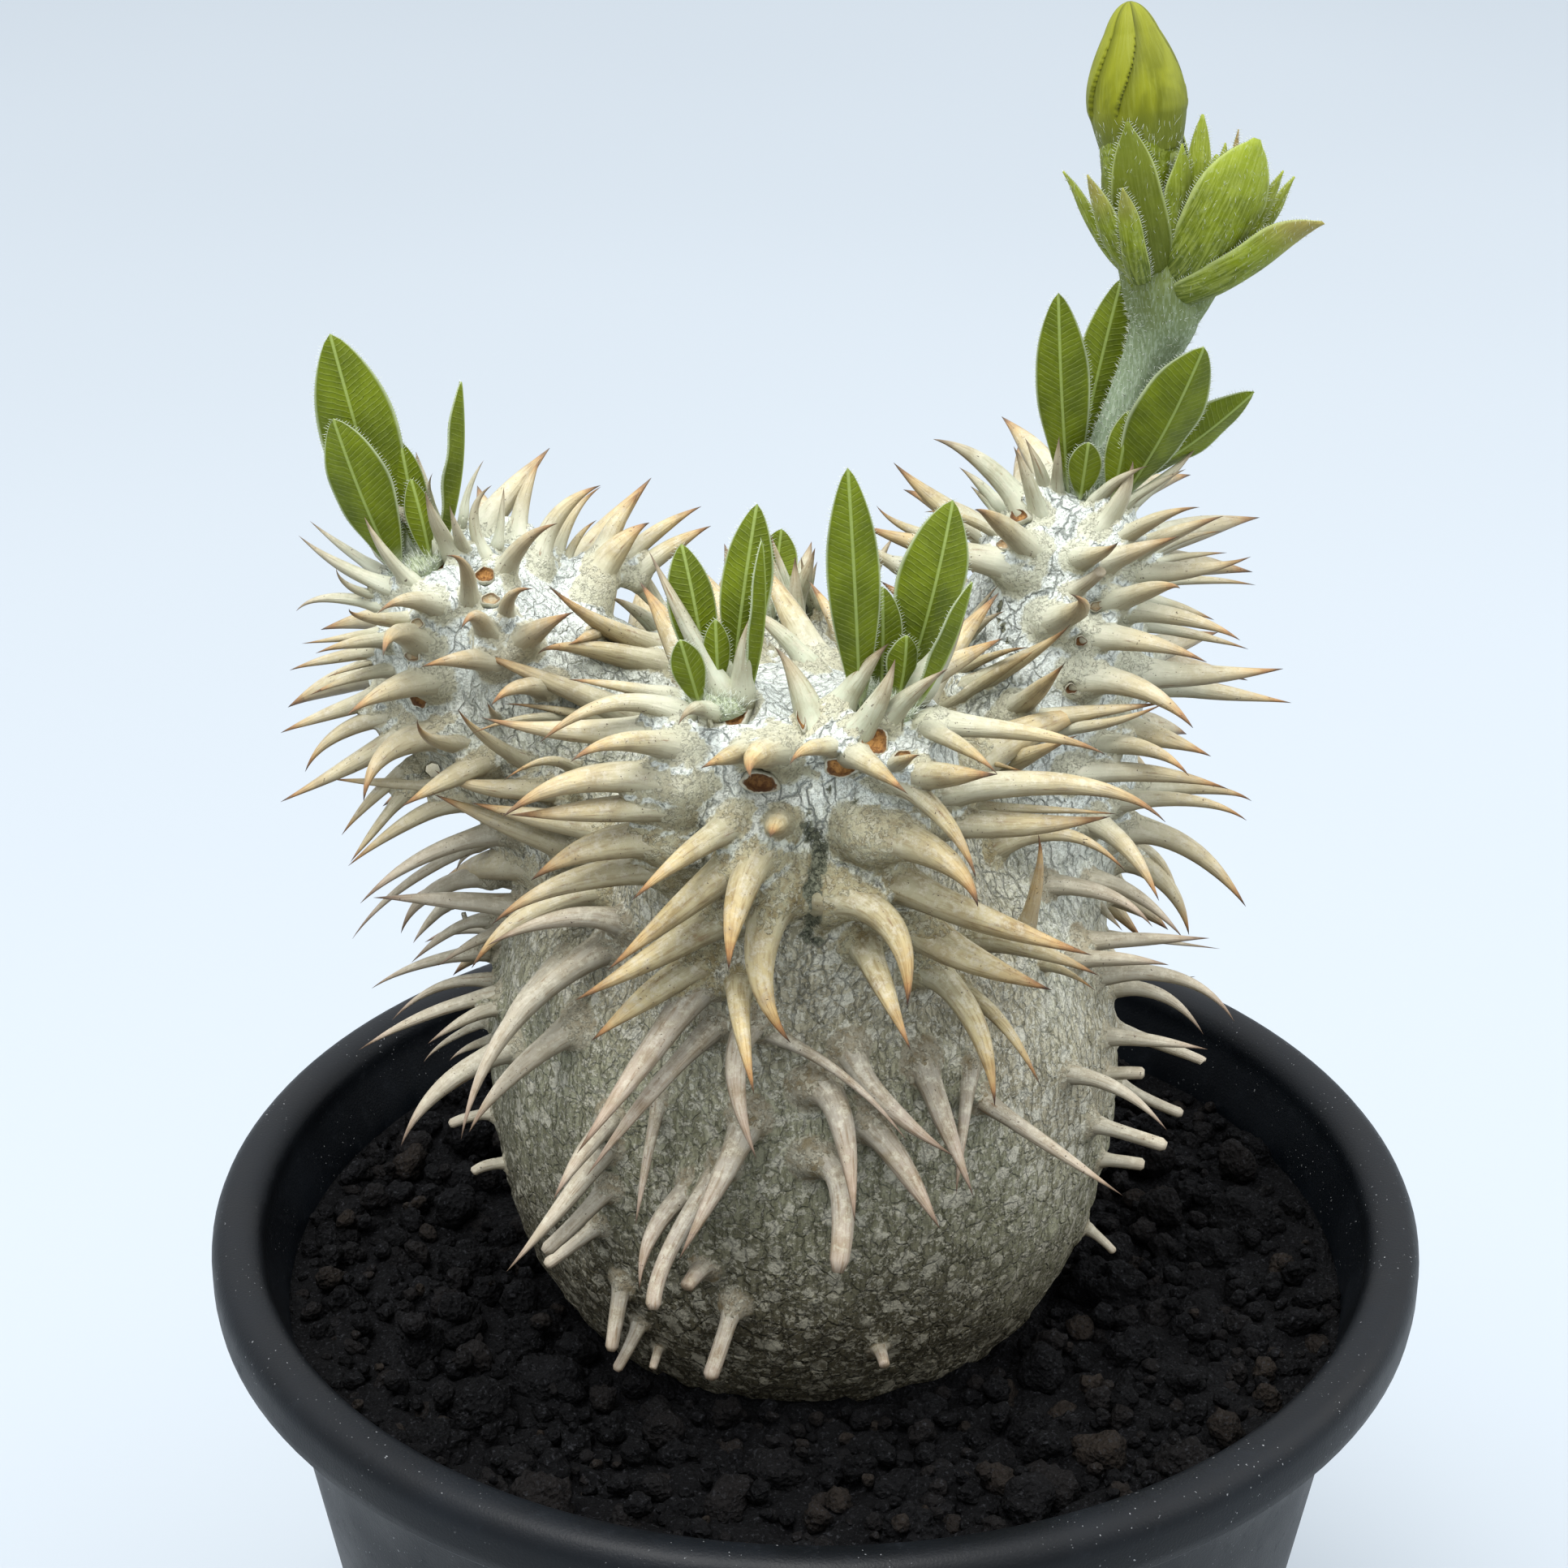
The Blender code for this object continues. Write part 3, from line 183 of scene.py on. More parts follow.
# Leaves by head: foot and tip from the core's seat, width, and which way the under face looks in degrees
LEAVES = {
    "left": [
        ((-2.2, -0.5, 0.8), (-7.5, 0.0, 23.7), 7.4, 5),
        ((-2.2, -2.0, 0.6), (-7.1, -4.0, 16.6), 5.8, -5),
        ((1.9, 0.4, 1.6), (4.6, 1.0, 18.6), 5.0, 80),
        ((0.2, -0.6, 1.6), (-1.4, 0.0, 12.9), 3.2, 12),
        ((1.0, -1.6, 1.4), (-0.4, -1.4, 9.6), 2.6, 25),
        ((-0.6, 2.2, 1.4), (-3.0, 6.5, 10.0), 4.6, 175),
    ],
    "front_left": [
        ((1.4, 1.0, 1.4), (3.6, 4.0, 18.1), 4.6, -12),
        ((-1.2, 1.0, 1.4), (-3.4, 4.0, 14.2), 4.4, 20),
        ((2.4, -0.8, 0.8), (4.0, -1.0, 16.4), 3.4, 70),
        ((-1.8, -1.8, 0.8), (-3.4, -3.2, 7.7), 3.0, 10),
        ((0.0, -0.4, 1.8), (-0.2, -0.8, 8.7), 2.4, 0),
    ],
    "front_right": [
        ((-2.6, -1.4, 0.8), (-3.9, -2.5, 24.4), 4.7, 4),
        ((1.6, 1.4, 1.4), (5.9, 5.0, 18.5), 6.4, 12),
        ((2.4, -1.2, 0.8), (7.4, -2.0, 13.3), 4.0, 60),
        ((-0.6, 0.2, 1.8), (-0.6, 0.8, 11.7), 3.8, 8),
        ((0.9, -1.0, 1.8), (1.6, -1.4, 7.8), 3.0, 20),
    ],
    "right": [
        ((-2.6, -1.0, 0.8), (-4.6, -3.0, 22.2), 5.2, -12),
        ((-1.6, 1.8, 1.2), (2.2, 3.4, 21.8), 5.0, -20),
        ((2.5, -2.2, 0.9), (9.3, -6.8, 18.0), 7.0, 15),
        ((2.6, 0.6, 1.2), (15.6, 1.0, 10.8), 4.8, 35),
        ((0.6, 2.7, 1.0), (2.5, 8.0, 12.5), 5.0, 178),
        ((-1.6, -2.4, 0.9), (-1.2, -4.4, 7.4), 3.2, -5),
        ((1.4, -2.8, 0.9), (2.6, -4.2, 10.6), 3.0, 8),
    ],
    "back": [
        ((-1.6, 0.4, 1.4), (-3.0, 1.6, 5.4), 2.4, 0),
        ((1.6, 0.6, 1.4), (3.2, 2.4, 5.0), 2.4, 10),
        ((0.0, 2.0, 1.2), (1.0, 6.5, 8.5), 4.2, 180),
    ],
}

# The flower stalk from its foot, with radii
STALK = [
    (0.6, 0.0, 0.0, 2.3), (1.6, -0.3, 4.0, 2.2), (3.2, -0.8, 9.0, 2.25), (4.8, -1.3, 13.6, 2.6),
    (5.9, -1.6, 17.6, 3.4), (5.4, -1.8, 21.0, 3.7), (4.4, -1.8, 25.0, 3.6), (3.6, -1.8, 29.5, 3.65),
    (2.9, -1.8, 34.3, 3.75),
]
STALK_SEAT = 1.2
BUD_LENGTH = 13.8
BUD_RADIUS = 4.55
BUD_NECK_RADIUS = 3.7
BUD_LEAN = (-0.12, 0.13, 1.0)
# Bracts of the solids from the stalk's foot, which the spines keep clear of: foot, tip, width and facing
BRACTS = [
    ((4.2, -4.6, 20.0), (1.3, -7.5, 38.4), 5.8, -3),
    ((3.0, -3.2, 18.4), (-3.9, -4.0, 32.7), 3.6, -35),
    ((8.4, -3.2, 18.2), (14.1, -5.5, 35.8), 7.2, 14),
    ((7.6, -3.4, 16.8), (19.8, -5.5, 29.3), 4.8, 40),
]
SIDE_BUD = [
    (5.8, -1.6, 15.0, 2.4), (8.0, -1.7, 18.4, 3.0), (9.8, -1.6, 22.5, 3.2), (10.8, -1.4, 27.0, 2.4),
    (11.2, -1.2, 30.0, 1.2),
]
# Sepals and bracts as the photograph shows them: foot and tip as pixel x, pixel y and the y of the upright
# plane that they lie in, width, the way the outer face looks in degrees, cupping, curl of the tip, and how
# brown the tip is
SEPALS = [
    ((1414, 338, 2.6), (1389, 151, 1.7), 6.0, -6, 1.5, -0.02, -0.8),
    ((1436, 332, 3.6), (1459, 178, 2.9), 4.6, 36, 1.6, -0.02, -0.4),
    ((1394, 322, 4.6), (1359, 182, 5.2), 5.2, -68, 1.6, -0.03, -0.6),
    ((1428, 322, 9.0), (1432, 160, 9.8), 6.6, 172, 1.6, -0.03, 0.0),
    ((1446, 330, 7.0), (1462, 166, 8.0), 5.4, 105, 1.6, -0.03, 0.0),
    ((1402, 346, 4.4), (1316, 206, 4.2), 3.4, -62, 1.5, 0.05, 0.1),
    ((1404, 346, 2.8), (1342, 213, 1.2), 3.4, -38, 1.6, 0.03, 0.55),
    ((1405, 350, 2.0), (1384, 226, -0.6), 2.7, -12, 2.2, 0.08, 0.35),
    ((1462, 330, 4.6), (1482, 141, 5.2), 3.0, 4, 1.4, 0.0, 0.05),
    ((1488, 316, 6.4), (1510, 176, 7.4), 2.8, 10, 1.6, 0.0, 0.1),
    ((1500, 310, 6.8), (1524, 158, 7.4), 1.5, 12, 1.6, 0.04, 0.9),
    ((1462, 352, 3.0), (1552, 176, 0.9), 8.4, 12, 1.9, -0.05, 0.0),
    ((1500, 336, 3.8), (1580, 209, 3.6), 2.8, 24, 1.5, 0.02, 0.1),
    ((1508, 336, 4.6), (1593, 216, 5.2), 3.0, 42, 1.5, 0.02, 0.1),
    ((1455, 372, 3.4), (1622, 258, 1.6), 5.8, 50, 2.2, 0.11, 0.6),
    ((1470, 350, 7.6), (1566, 232, 11.0), 5.6, 140, 1.8, 0.02, 0.1),
    ((1462, 340, 8.6), (1500, 190, 12.2), 5.2, 176, 1.7, 0.02, 0.0),
    ((1420, 345, 8.0), (1366, 214, 10.2), 3.8, 215, 1.6, 0.05, 0.2),
]
# A sepal's width at these shares of its length, for a slim and for a broad one
OUTLINE_AT = (0, 0.15, 0.3, 0.45, 0.6, 0.72, 0.83, 0.92, 0.97, 1)
SLIM_OUTLINE = (0.70, 0.88, 0.98, 1, 0.93, 0.79, 0.56, 0.30, 0.13, 0.02)
BROAD_OUTLINE = (0.62, 0.84, 0.97, 1, 0.99, 0.92, 0.76, 0.50, 0.26, 0.03)
SEPAL_ROWS = 28
SEPAL_COLUMNS = 15
# The flower's tube between the bud and the sepals' feet: pixel x, pixel y, the upright plane's y, radius
THROAT = [
    (1418, 345, 5.4, 2.4), (1408, 290, 5.6, 3.0), (1404, 230, 5.8, 3.5), (1403, 180, 5.9, 3.75),
    (1403, 152, 5.9, 3.6), (1403, 128, 5.9, 3.0),
]
# The furled bud's petal edges: the angle of each at the bud's tip, and where the twist takes it at the foot
PETAL_EDGES = [(2, -34), (-52, -80), (62, 74), (150, 120), (225, 200)]
BUD_ROWS = 80
BUD_SIDES = 168
STALK_SIDES = 28
STALK_HAIRS = 2600
# The down round the bud's foot: how many hairs, and the tube's pixel x, the range of pixel y, the upright
# plane's y, where the tube narrows and how wide it is above and below that
THROAT_HAIRS = 190
THROAT_X = 1403
THROAT_Y = (138, 200)
THROAT_PLANE = 5.9
THROAT_NARROWS = 175
THROAT_RADII = (4.1, 3.8)

# Spines seen in the photograph, by kind: where the root, the middle and the tip of each lie in its pixels,
# and how wide it is there
PLACED = {
    "felt": [
        (466, 703, 421, 673, 382, 642, 14), (486, 725, 421, 697, 368, 660, 20),
        (472, 747, 404, 737, 365, 753, 18), (470, 735, 430, 722, 414, 700, 14),
        (528, 674, 497, 634, 442, 622, 22), (508, 719, 474, 680, 449, 637, 20),
        (572, 632, 578, 602, 596, 567, 9), (574, 680, 564, 658, 554, 623, 18),
        (600, 691, 584, 635, 606, 598, 18), (612, 674, 616, 652, 621, 600, 13),
        (530, 660, 515, 610, 509, 581, 12), (547, 658, 530, 613, 533, 583, 12),
        (558, 683, 536, 641, 524, 605, 22), (829, 783, 797, 715, 784, 683, 20),
        (888, 850, 850, 778, 800, 680, 28), (835, 765, 788, 727, 755, 700, 18),
        (829, 795, 788, 756, 749, 735, 24), (914, 853, 917, 803, 927, 754, 28),
        (879, 812, 882, 742, 899, 701, 14), (873, 877, 852, 874, 836, 893, 22),
        (976, 742, 961, 695, 949, 658, 14), (977, 765, 958, 712, 943, 666, 16),
        (1005, 748, 993, 715, 987, 686, 14), (982, 783, 980, 724, 980, 686, 26),
        (993, 736, 1000, 712, 1007, 692, 12), (1064, 736, 1084, 689, 1102, 661, 18),
        (999, 824, 958, 777, 911, 745, 26), (1008, 909, 982, 839, 955, 798, 42),
        (1031, 877, 1067, 824, 1095, 793, 32), (1052, 909, 1084, 862, 1103, 812, 34),
        (1092, 886, 1130, 850, 1168, 824, 28), (1180, 790, 1208, 748, 1230, 721, 12),
        (1177, 803, 1205, 772, 1238, 753, 18), (1302, 606, 1303, 570, 1305, 538, 16),
        (1357, 654, 1385, 606, 1396, 568, 28), (1350, 620, 1378, 592, 1414, 574, 18),
        (1392, 620, 1440, 585, 1474, 551, 18), (1385, 623, 1420, 599, 1461, 578, 14),
        (1288, 609, 1281, 578, 1263, 540, 20), (1281, 637, 1267, 592, 1249, 550, 24),
        (1267, 634, 1212, 571, 1150, 541, 34), (1232, 623, 1205, 595, 1182, 576, 16),
        (1226, 627, 1210, 612, 1196, 599, 12),
    ],
    "cream": [
        (536, 747, 497, 740, 465, 756, 28), (519, 764, 452, 761, 430, 750, 22),
        (474, 778, 424, 786, 372, 793, 14), (480, 789, 432, 793, 389, 805, 20),
        (474, 800, 402, 813, 357, 826, 20), (519, 792, 486, 781, 472, 809, 34),
        (477, 813, 444, 820, 404, 834, 10), (486, 823, 430, 837, 383, 856, 18),
        (530, 837, 472, 854, 427, 882, 36), (474, 856, 393, 884, 346, 903, 26),
        (497, 879, 418, 904, 376, 951, 26), (514, 896, 430, 944, 346, 988, 30),
        (560, 905, 480, 925, 448, 987, 40), (500, 950, 458, 985, 421, 1029, 18),
        (547, 969, 480, 965, 408, 960, 18), (497, 980, 470, 1012, 432, 1062, 16),
        (575, 985, 508, 1010, 429, 1067, 24), (600, 936, 542, 966, 495, 994, 34),
        (578, 918, 530, 910, 514, 886, 24), (637, 669, 645, 616, 666, 565, 24),
        (662, 691, 690, 632, 740, 598, 28), (682, 697, 704, 638, 740, 600, 18),
        (693, 705, 710, 666, 735, 641, 14), (738, 695, 757, 650, 788, 606, 30),
        (726, 724, 764, 671, 800, 644, 44), (759, 698, 811, 654, 864, 624, 26),
        (782, 707, 830, 672, 876, 648, 28), (648, 940, 592, 904, 564, 873, 20),
        (826, 806, 744, 771, 675, 721, 34), (826, 824, 712, 798, 663, 806, 32),
        (829, 859, 760, 845, 700, 837, 20), (790, 888, 690, 845, 584, 802, 36),
        (838, 880, 750, 868, 665, 915, 28), (790, 895, 676, 873, 621, 868, 16),
        (817, 900, 690, 900, 593, 884, 36), (838, 921, 759, 915, 703, 939, 36),
        (690, 884, 634, 887, 579, 905, 12), (838, 965, 715, 962, 620, 1006, 48),
        (838, 990, 720, 1000, 628, 1004, 40), (747, 1023, 650, 1005, 581, 989, 34),
        (704, 1045, 640, 1022, 535, 979, 34), (710, 950, 670, 938, 620, 962, 16),
        (690, 972, 592, 969, 536, 949, 30), (835, 1034, 734, 1044, 654, 1085, 52),
        (823, 1069, 696, 1089, 606, 1139, 40), (747, 1092, 645, 1130, 581, 1193, 36),
        (906, 1013, 835, 1061, 779, 1109, 34), (927, 1045, 839, 1118, 749, 1195, 44),
        (897, 1124, 809, 1177, 708, 1233, 40), (871, 1180, 803, 1224, 728, 1283, 40),
        (945, 1035, 910, 1110, 898, 1195, 46), (965, 1090, 937, 1195, 974, 1285, 48),
        (912, 1209, 912, 1253, 929, 1348, 32), (921, 925, 889, 935, 863, 947, 28),
        (957, 927, 928, 935, 925, 958, 42), (960, 1015, 954, 1020, 949, 1032, 34),
        (1031, 921, 993, 924, 973, 943, 26), (1049, 927, 1087, 953, 1118, 978, 32),
        (1090, 950, 1163, 1010, 1203, 1083, 30), (1020, 1105, 1098, 1142, 1118, 1240, 48),
        (1063, 1160, 1092, 1224, 1122, 1294, 34), (1078, 1027, 1165, 1060, 1205, 1117, 54),
        (1092, 1077, 1189, 1124, 1345, 1177, 46), (1116, 1124, 1175, 1171, 1296, 1220, 52),
        (1198, 1154, 1277, 1171, 1354, 1202, 32), (1286, 1189, 1318, 1200, 1350, 1221, 14),
        (1134, 1186, 1198, 1255, 1226, 1363, 38), (1180, 1221, 1233, 1259, 1281, 1336, 22),
        (1145, 1010, 1263, 1016, 1368, 1006, 42), (1145, 978, 1330, 968, 1436, 1013, 40),
        (1204, 995, 1300, 998, 1377, 1003, 14), (1219, 1051, 1310, 1028, 1388, 1075, 24),
        (1122, 956, 1180, 955, 1229, 954, 42), (1142, 897, 1194, 925, 1229, 954, 24),
        (1194, 932, 1229, 942, 1266, 952, 12), (1149, 890, 1288, 907, 1362, 930, 30),
        (1243, 890, 1343, 878, 1434, 866, 26), (1302, 897, 1368, 890, 1434, 867, 18),
        (1253, 873, 1288, 842, 1312, 817, 28), (1184, 852, 1274, 803, 1319, 769, 26),
        (1163, 835, 1226, 807, 1269, 798, 16), (1170, 868, 1240, 822, 1290, 795, 18),
        (1232, 945, 1274, 928, 1328, 906, 32), (1102, 944, 1118, 935, 1134, 930, 20),
        (1235, 672, 1160, 622, 1101, 570, 36), (1271, 679, 1226, 640, 1201, 628, 34),
        (1255, 698, 1140, 672, 1058, 646, 40), (1170, 668, 1112, 648, 1080, 623, 16),
        (1245, 668, 1184, 637, 1139, 631, 16), (1111, 698, 1081, 683, 1056, 661, 18),
        (1375, 668, 1430, 637, 1478, 625, 24), (1392, 682, 1454, 654, 1507, 636, 28),
        (1409, 686, 1461, 663, 1506, 655, 12), (1413, 696, 1454, 686, 1512, 681, 12),
        (1392, 706, 1479, 701, 1541, 686, 28), (1420, 717, 1489, 715, 1547, 721, 14),
        (1368, 744, 1427, 724, 1454, 725, 30), (1295, 765, 1333, 748, 1319, 732, 34),
        (1330, 689, 1360, 680, 1378, 668, 26), (1340, 783, 1420, 793, 1487, 816, 34),
        (1385, 751, 1472, 765, 1528, 789, 28), (1409, 769, 1489, 786, 1538, 800, 16),
        (1413, 738, 1461, 751, 1496, 764, 16), (1392, 828, 1489, 831, 1581, 824, 36),
        (1427, 842, 1513, 854, 1591, 866, 26), (1336, 835, 1413, 852, 1470, 897, 38),
        (1375, 894, 1447, 914, 1492, 932, 34), (1323, 952, 1427, 954, 1513, 972, 30),
        (1409, 970, 1496, 973, 1542, 987, 22), (1375, 987, 1472, 987, 1536, 1011, 24),
        (1357, 918, 1420, 925, 1465, 956, 28), (1380, 1020, 1465, 1045, 1535, 1117, 34),
        (1380, 1053, 1437, 1090, 1465, 1152, 30), (1393, 1043, 1427, 1060, 1453, 1108, 16),
        (1347, 1013, 1393, 1050, 1428, 1110, 28),
    ],
    "tan": [
        (620, 708, 648, 666, 687, 645, 26), (609, 814, 561, 813, 519, 822, 30),
        (642, 792, 670, 772, 707, 754, 34), (623, 764, 631, 733, 658, 726, 22),
        (602, 785, 585, 760, 568, 775, 28), (577, 742, 572, 697, 549, 685, 22),
        (676, 848, 634, 848, 605, 870, 28), (612, 884, 605, 875, 600, 865, 10),
        (738, 778, 722, 785, 700, 795, 20), (1263, 1148, 1280, 1077, 1279, 1027, 20),
        (1357, 696, 1409, 675, 1453, 661, 28),
    ],
    "woody": [
        (620, 1025, 522, 1056, 444, 1113, 26), (600, 1035, 500, 1090, 434, 1157, 16),
        (600, 1078, 530, 1101, 494, 1150, 26), (553, 1112, 530, 1134, 509, 1162, 14),
        (648, 1118, 547, 1109, 460, 1106, 28), (600, 1134, 558, 1146, 507, 1186, 16),
        (586, 1174, 514, 1190, 458, 1218, 16), (634, 1140, 586, 1160, 540, 1190, 16),
        (590, 1046, 572, 1056, 562, 1074, 8), (771, 1139, 692, 1132, 600, 1165, 28),
        (755, 1162, 630, 1262, 568, 1404, 32), (692, 1185, 640, 1236, 604, 1300, 22),
        (711, 1264, 629, 1327, 578, 1395, 32), (613, 1209, 542, 1216, 483, 1257, 16),
        (617, 1225, 527, 1250, 442, 1294, 20), (617, 1240, 574, 1256, 527, 1286, 18),
        (590, 1262, 546, 1286, 522, 1309, 10), (610, 1280, 575, 1292, 554, 1307, 12),
        (637, 1288, 546, 1339, 494, 1412, 30), (868, 1203, 804, 1292, 711, 1421, 40),
        (884, 1262, 808, 1340, 723, 1449, 26), (755, 1378, 715, 1425, 682, 1478, 26),
        (751, 1410, 684, 1496, 624, 1567, 26), (814, 1351, 798, 1425, 783, 1510, 16),
        (857, 1461, 806, 1516, 788, 1587, 28), (923, 1378, 895, 1440, 837, 1551, 32),
        (930, 1255, 907, 1325, 932, 1428, 30), (941, 1271, 1039, 1326, 1119, 1408, 16),
        (1046, 1292, 1089, 1357, 1174, 1424, 30), (1135, 1307, 1159, 1369, 1199, 1473, 30),
        (1196, 1314, 1187, 1387, 1178, 1472, 18), (1003, 1338, 1036, 1381, 1053, 1505, 34),
        (1064, 1378, 1107, 1430, 1158, 1514, 36), (1207, 1353, 1280, 1403, 1383, 1473, 22),
        (1287, 1090, 1367, 1103, 1420, 1142, 24), (1340, 1083, 1400, 1103, 1457, 1155, 22),
        (1355, 1117, 1370, 1132, 1383, 1147, 10), (1327, 1160, 1420, 1157, 1490, 1156, 24),
        (1360, 1150, 1457, 1163, 1503, 1169, 9), (1323, 1182, 1387, 1182, 1440, 1189, 24),
        (1400, 1190, 1447, 1202, 1473, 1203, 10), (1353, 1200, 1457, 1207, 1521, 1259, 24),
        (1367, 1218, 1433, 1227, 1483, 1275, 20), (1360, 1277, 1420, 1282, 1488, 1293, 20),
        (1313, 1323, 1380, 1343, 1438, 1393, 20),
    ],
    "stub": [
        (1322, 730, 1345, 714, 1357, 703, 20), (609, 1372, 580, 1376, 554, 1386, 16),
        (625, 1433, 600, 1436, 582, 1445, 16), (751, 1461, 712, 1503, 670, 1543, 24),
        (739, 1508, 705, 1535, 672, 1559, 20), (892, 1435, 826, 1539, 805, 1614, 26),
        (869, 1559, 856, 1572, 845, 1587, 24), (768, 1579, 760, 1622, 753, 1665, 22),
        (790, 1628, 776, 1658, 759, 1689, 18), (812, 1661, 808, 1674, 804, 1687, 13),
        (905, 1606, 890, 1653, 874, 1700, 24), (1003, 1427, 1036, 1467, 1032, 1568, 32),
        (1082, 1660, 1087, 1672, 1090, 1683, 18), (1375, 1267, 1457, 1297, 1482, 1308, 17),
        (1360, 1323, 1385, 1322, 1410, 1322, 20), (1375, 1333, 1420, 1357, 1457, 1372, 17),
        (1343, 1383, 1390, 1397, 1437, 1412, 22), (1353, 1428, 1382, 1431, 1410, 1435, 20),
        (1340, 1514, 1358, 1528, 1373, 1543, 14),
    ],
}
# By kind: the length in millimetres that a spine has at least, how old it looks and its tone
KINDS = {
    "felt": (9.0, -1.0, 0.2),
    "cream": (14.0, 0.0, 0.3),
    "tan": (11.0, 0.0, 1.0),
    "woody": (12.0, 1.0, 0.4),
    "stub": (6.0, 1.0, 0.3),
}
# How far a placed spine may come forward of its root, and how long a rear one may be
MOST_FORWARD = 15.0
REAR_LONGEST = 20.0
# A spine's radius along its length, both as shares, and how flat its cross-section is
SPINE_AT = (0, 0.1, 0.2, 0.35, 0.5, 0.65, 0.78, 0.88, 0.95, 1)
SPINE_RADII = (1.08, 1.05, 1, 0.91, 0.77, 0.57, 0.36, 0.19, 0.09, 0.01)
SPINE_FLATNESS = 0.92
SPINE_SIDES = 9
# How much of a spine the bark runs up, and at how many points it is followed there
FOOT_SHARE = 0.42
FOOT_POINTS = 8
# Where the photograph shows the bark cracked: pixel x and y, radius in millimetres, strength
CRACKED = [
    (1012, 900, 5.5, 1.0), (1000, 970, 6.0, 1.0), (1015, 1050, 6.0, 1.0), (890, 930, 4.0, 0.9),
    (870, 990, 4.0, 0.8), (1065, 1040, 4.5, 0.8), (1030, 1180, 7.0, 0.6), (1255, 720, 6.5, 1.0),
    (1235, 790, 6.5, 1.0), (1285, 650, 6.0, 1.0), (1225, 850, 6.0, 0.8), (560, 760, 5.0, 0.7),
    (1275, 560, 4.0, 0.6),
]
# Crevices in the bark: points along each in the photograph's pixels, half width and depth in millimetres.
# A wide one is laid on the bark's outside and a thin one on the skin under it.
WIDE_CREVICE = 0.5
CREVICES = [
    (
        [(998, 1022), (1008, 1044), (1012, 1066), (1000, 1095), (1006, 1124), (995, 1146), (1003, 1164)],
        0.66,
        0.6,
    ),
    ([(996, 1000), (990, 1018), (1003, 1044)], 0.24, 0.2),
    ([(1022, 972), (1020, 1000), (1027, 1026)], 0.22, 0.2),
    ([(1054, 985), (1060, 1020), (1052, 1050), (1062, 1070)], 0.24, 0.2),
    ([(858, 965), (850, 1000), (862, 1040)], 0.24, 0.2),
    ([(1218, 700), (1236, 726), (1228, 760), (1244, 792)], 0.20, 0.2),
    ([(1262, 668), (1256, 700), (1270, 730)], 0.20, 0.2),
]
# A leaf scar's rings from its middle: their radius as a share of its own, and their height in millimetres
SCAR_RINGS = [
    (0.3, -0.30), (0.55, -0.27), (0.76, -0.14), (0.90, 0.04), (1.02, 0.06), (1.14, -0.08), (1.28, -0.6),
]
# Leaf scars seen in the photograph: their middle, half width and half height in its pixels, the turn of
# their long side in degrees, and how open they look, from healed over to a deep pit
SCARS = [
    (906, 873, 17, 23, 25, 0.8), (937, 965, 21, 12, 8, 1.0), (1035, 946, 19, 11, 5, 0.8),
    (1078, 913, 16, 17, 0, 0.75), (987, 882, 5, 17, -8, 0.9), (539, 695, 14, 8, -8, 0.7),
    (597, 708, 12, 9, -5, 0.65), (604, 738, 12, 7, 0, 0.35), (514, 768, 8, 6, 0, 0.25),
    (508, 808, 9, 7, 0, 0.3), (516, 864, 11, 7, 20, 1.0), (1255, 635, 11, 8, 0, 0.55),
    (1236, 671, 8, 6, 0, 0.4), (1351, 747, 9, 6, -20, 0.3), (1332, 790, 7, 6, 0, 1.0),
    (1320, 849, 7, 6, 0, 1.0), (738, 857, 10, 8, 0, 0.5), (1111, 933, 12, 8, -30, 0.5),
]

# The grit: how many grains are dropped, and their least and greatest radius, the large ones first
GRAINS = [(26, 2.6, 4.2), (150, 1.5, 2.6), (560, 0.85, 1.6), (900, 0.45, 0.9)]
# The shapes that grains take, from small to large: the sphere's subdivisions and how many shapes
ROCKS = [(2, 10), (3, 10), (4, 6)]
# The radii at which a grain counts as small, as large and as one of the finest
SMALL_BELOW = 1.35
LARGE_ABOVE = 2.6
FINEST_BELOW = 0.9
# How many places a grain tries, and the heights that it falls on: their depth, their cells, and a height
# that stands for where no grain may lie
TRIES = 6
BED_DEPTH = 3.4
BED_CELL = 0.5
BLOCKED = SOIL_LEVEL + 40
BED_SIDES = 120
BED_RINGS = 40

# The camera, the lights and the floor, in metres where they stand in the room
SENSOR = 36  # in millimetres
SKY_COLOUR = (0.93, 0.96, 1.0, 1)
SKY_AT_HORIZON = 0.52
SKY_OVERHEAD = 1.95
# By lamp: its size, its power and where it stands
LAMPS = {"key": (0.45, 8.0, (-0.20, -0.25, 1.05)), "fill": (0.8, 3.0, (0.8, 0.0, 0.6))}
LAMP_COLOUR = (1.0, 0.99, 0.97)
LAMP_AIM = (0, 0, 0.13)
FLOOR_CORNERS = [(-4, -4, 0), (4, -4, 0), (4, 6, 0), (-4, 6, 0)]


# Vectors and meshes


def unit(vector):
    vector = np.asarray(vector, float)
    return vector / max(np.linalg.norm(vector), 1e-12)


def smooth_rows(rows, step):
    """Points and radii on a Catmull-Rom curve through rows of x, y, z and radius."""
    rows = np.array(rows, float)
    ends = np.vstack([2 * rows[0] - rows[1], rows, 2 * rows[-1] - rows[-2]])
    found = []
    for a, b, c, d in zip(ends, ends[1:], ends[2:], ends[3:]):
        count = max(2, round(np.linalg.norm(c[:3] - b[:3]) / step))
        for t in np.arange(count) / count:
            curved = (2 * a - 5 * b + 4 * c - d) * t**2 + (3 * b - a - 3 * c + d) * t**3
            found.append(0.5 * (2 * b + (c - a) * t + curved))
    found.append(rows[-1])
    found = np.array(found)
    return found[:, :3], found[:, 3]


def moved(rows, foot, swell=1.0):
    """Rows of x, y, z and radius, counted from a foot."""
    return [(*(foot + row[:3]), row[3] * swell) for row in rows]


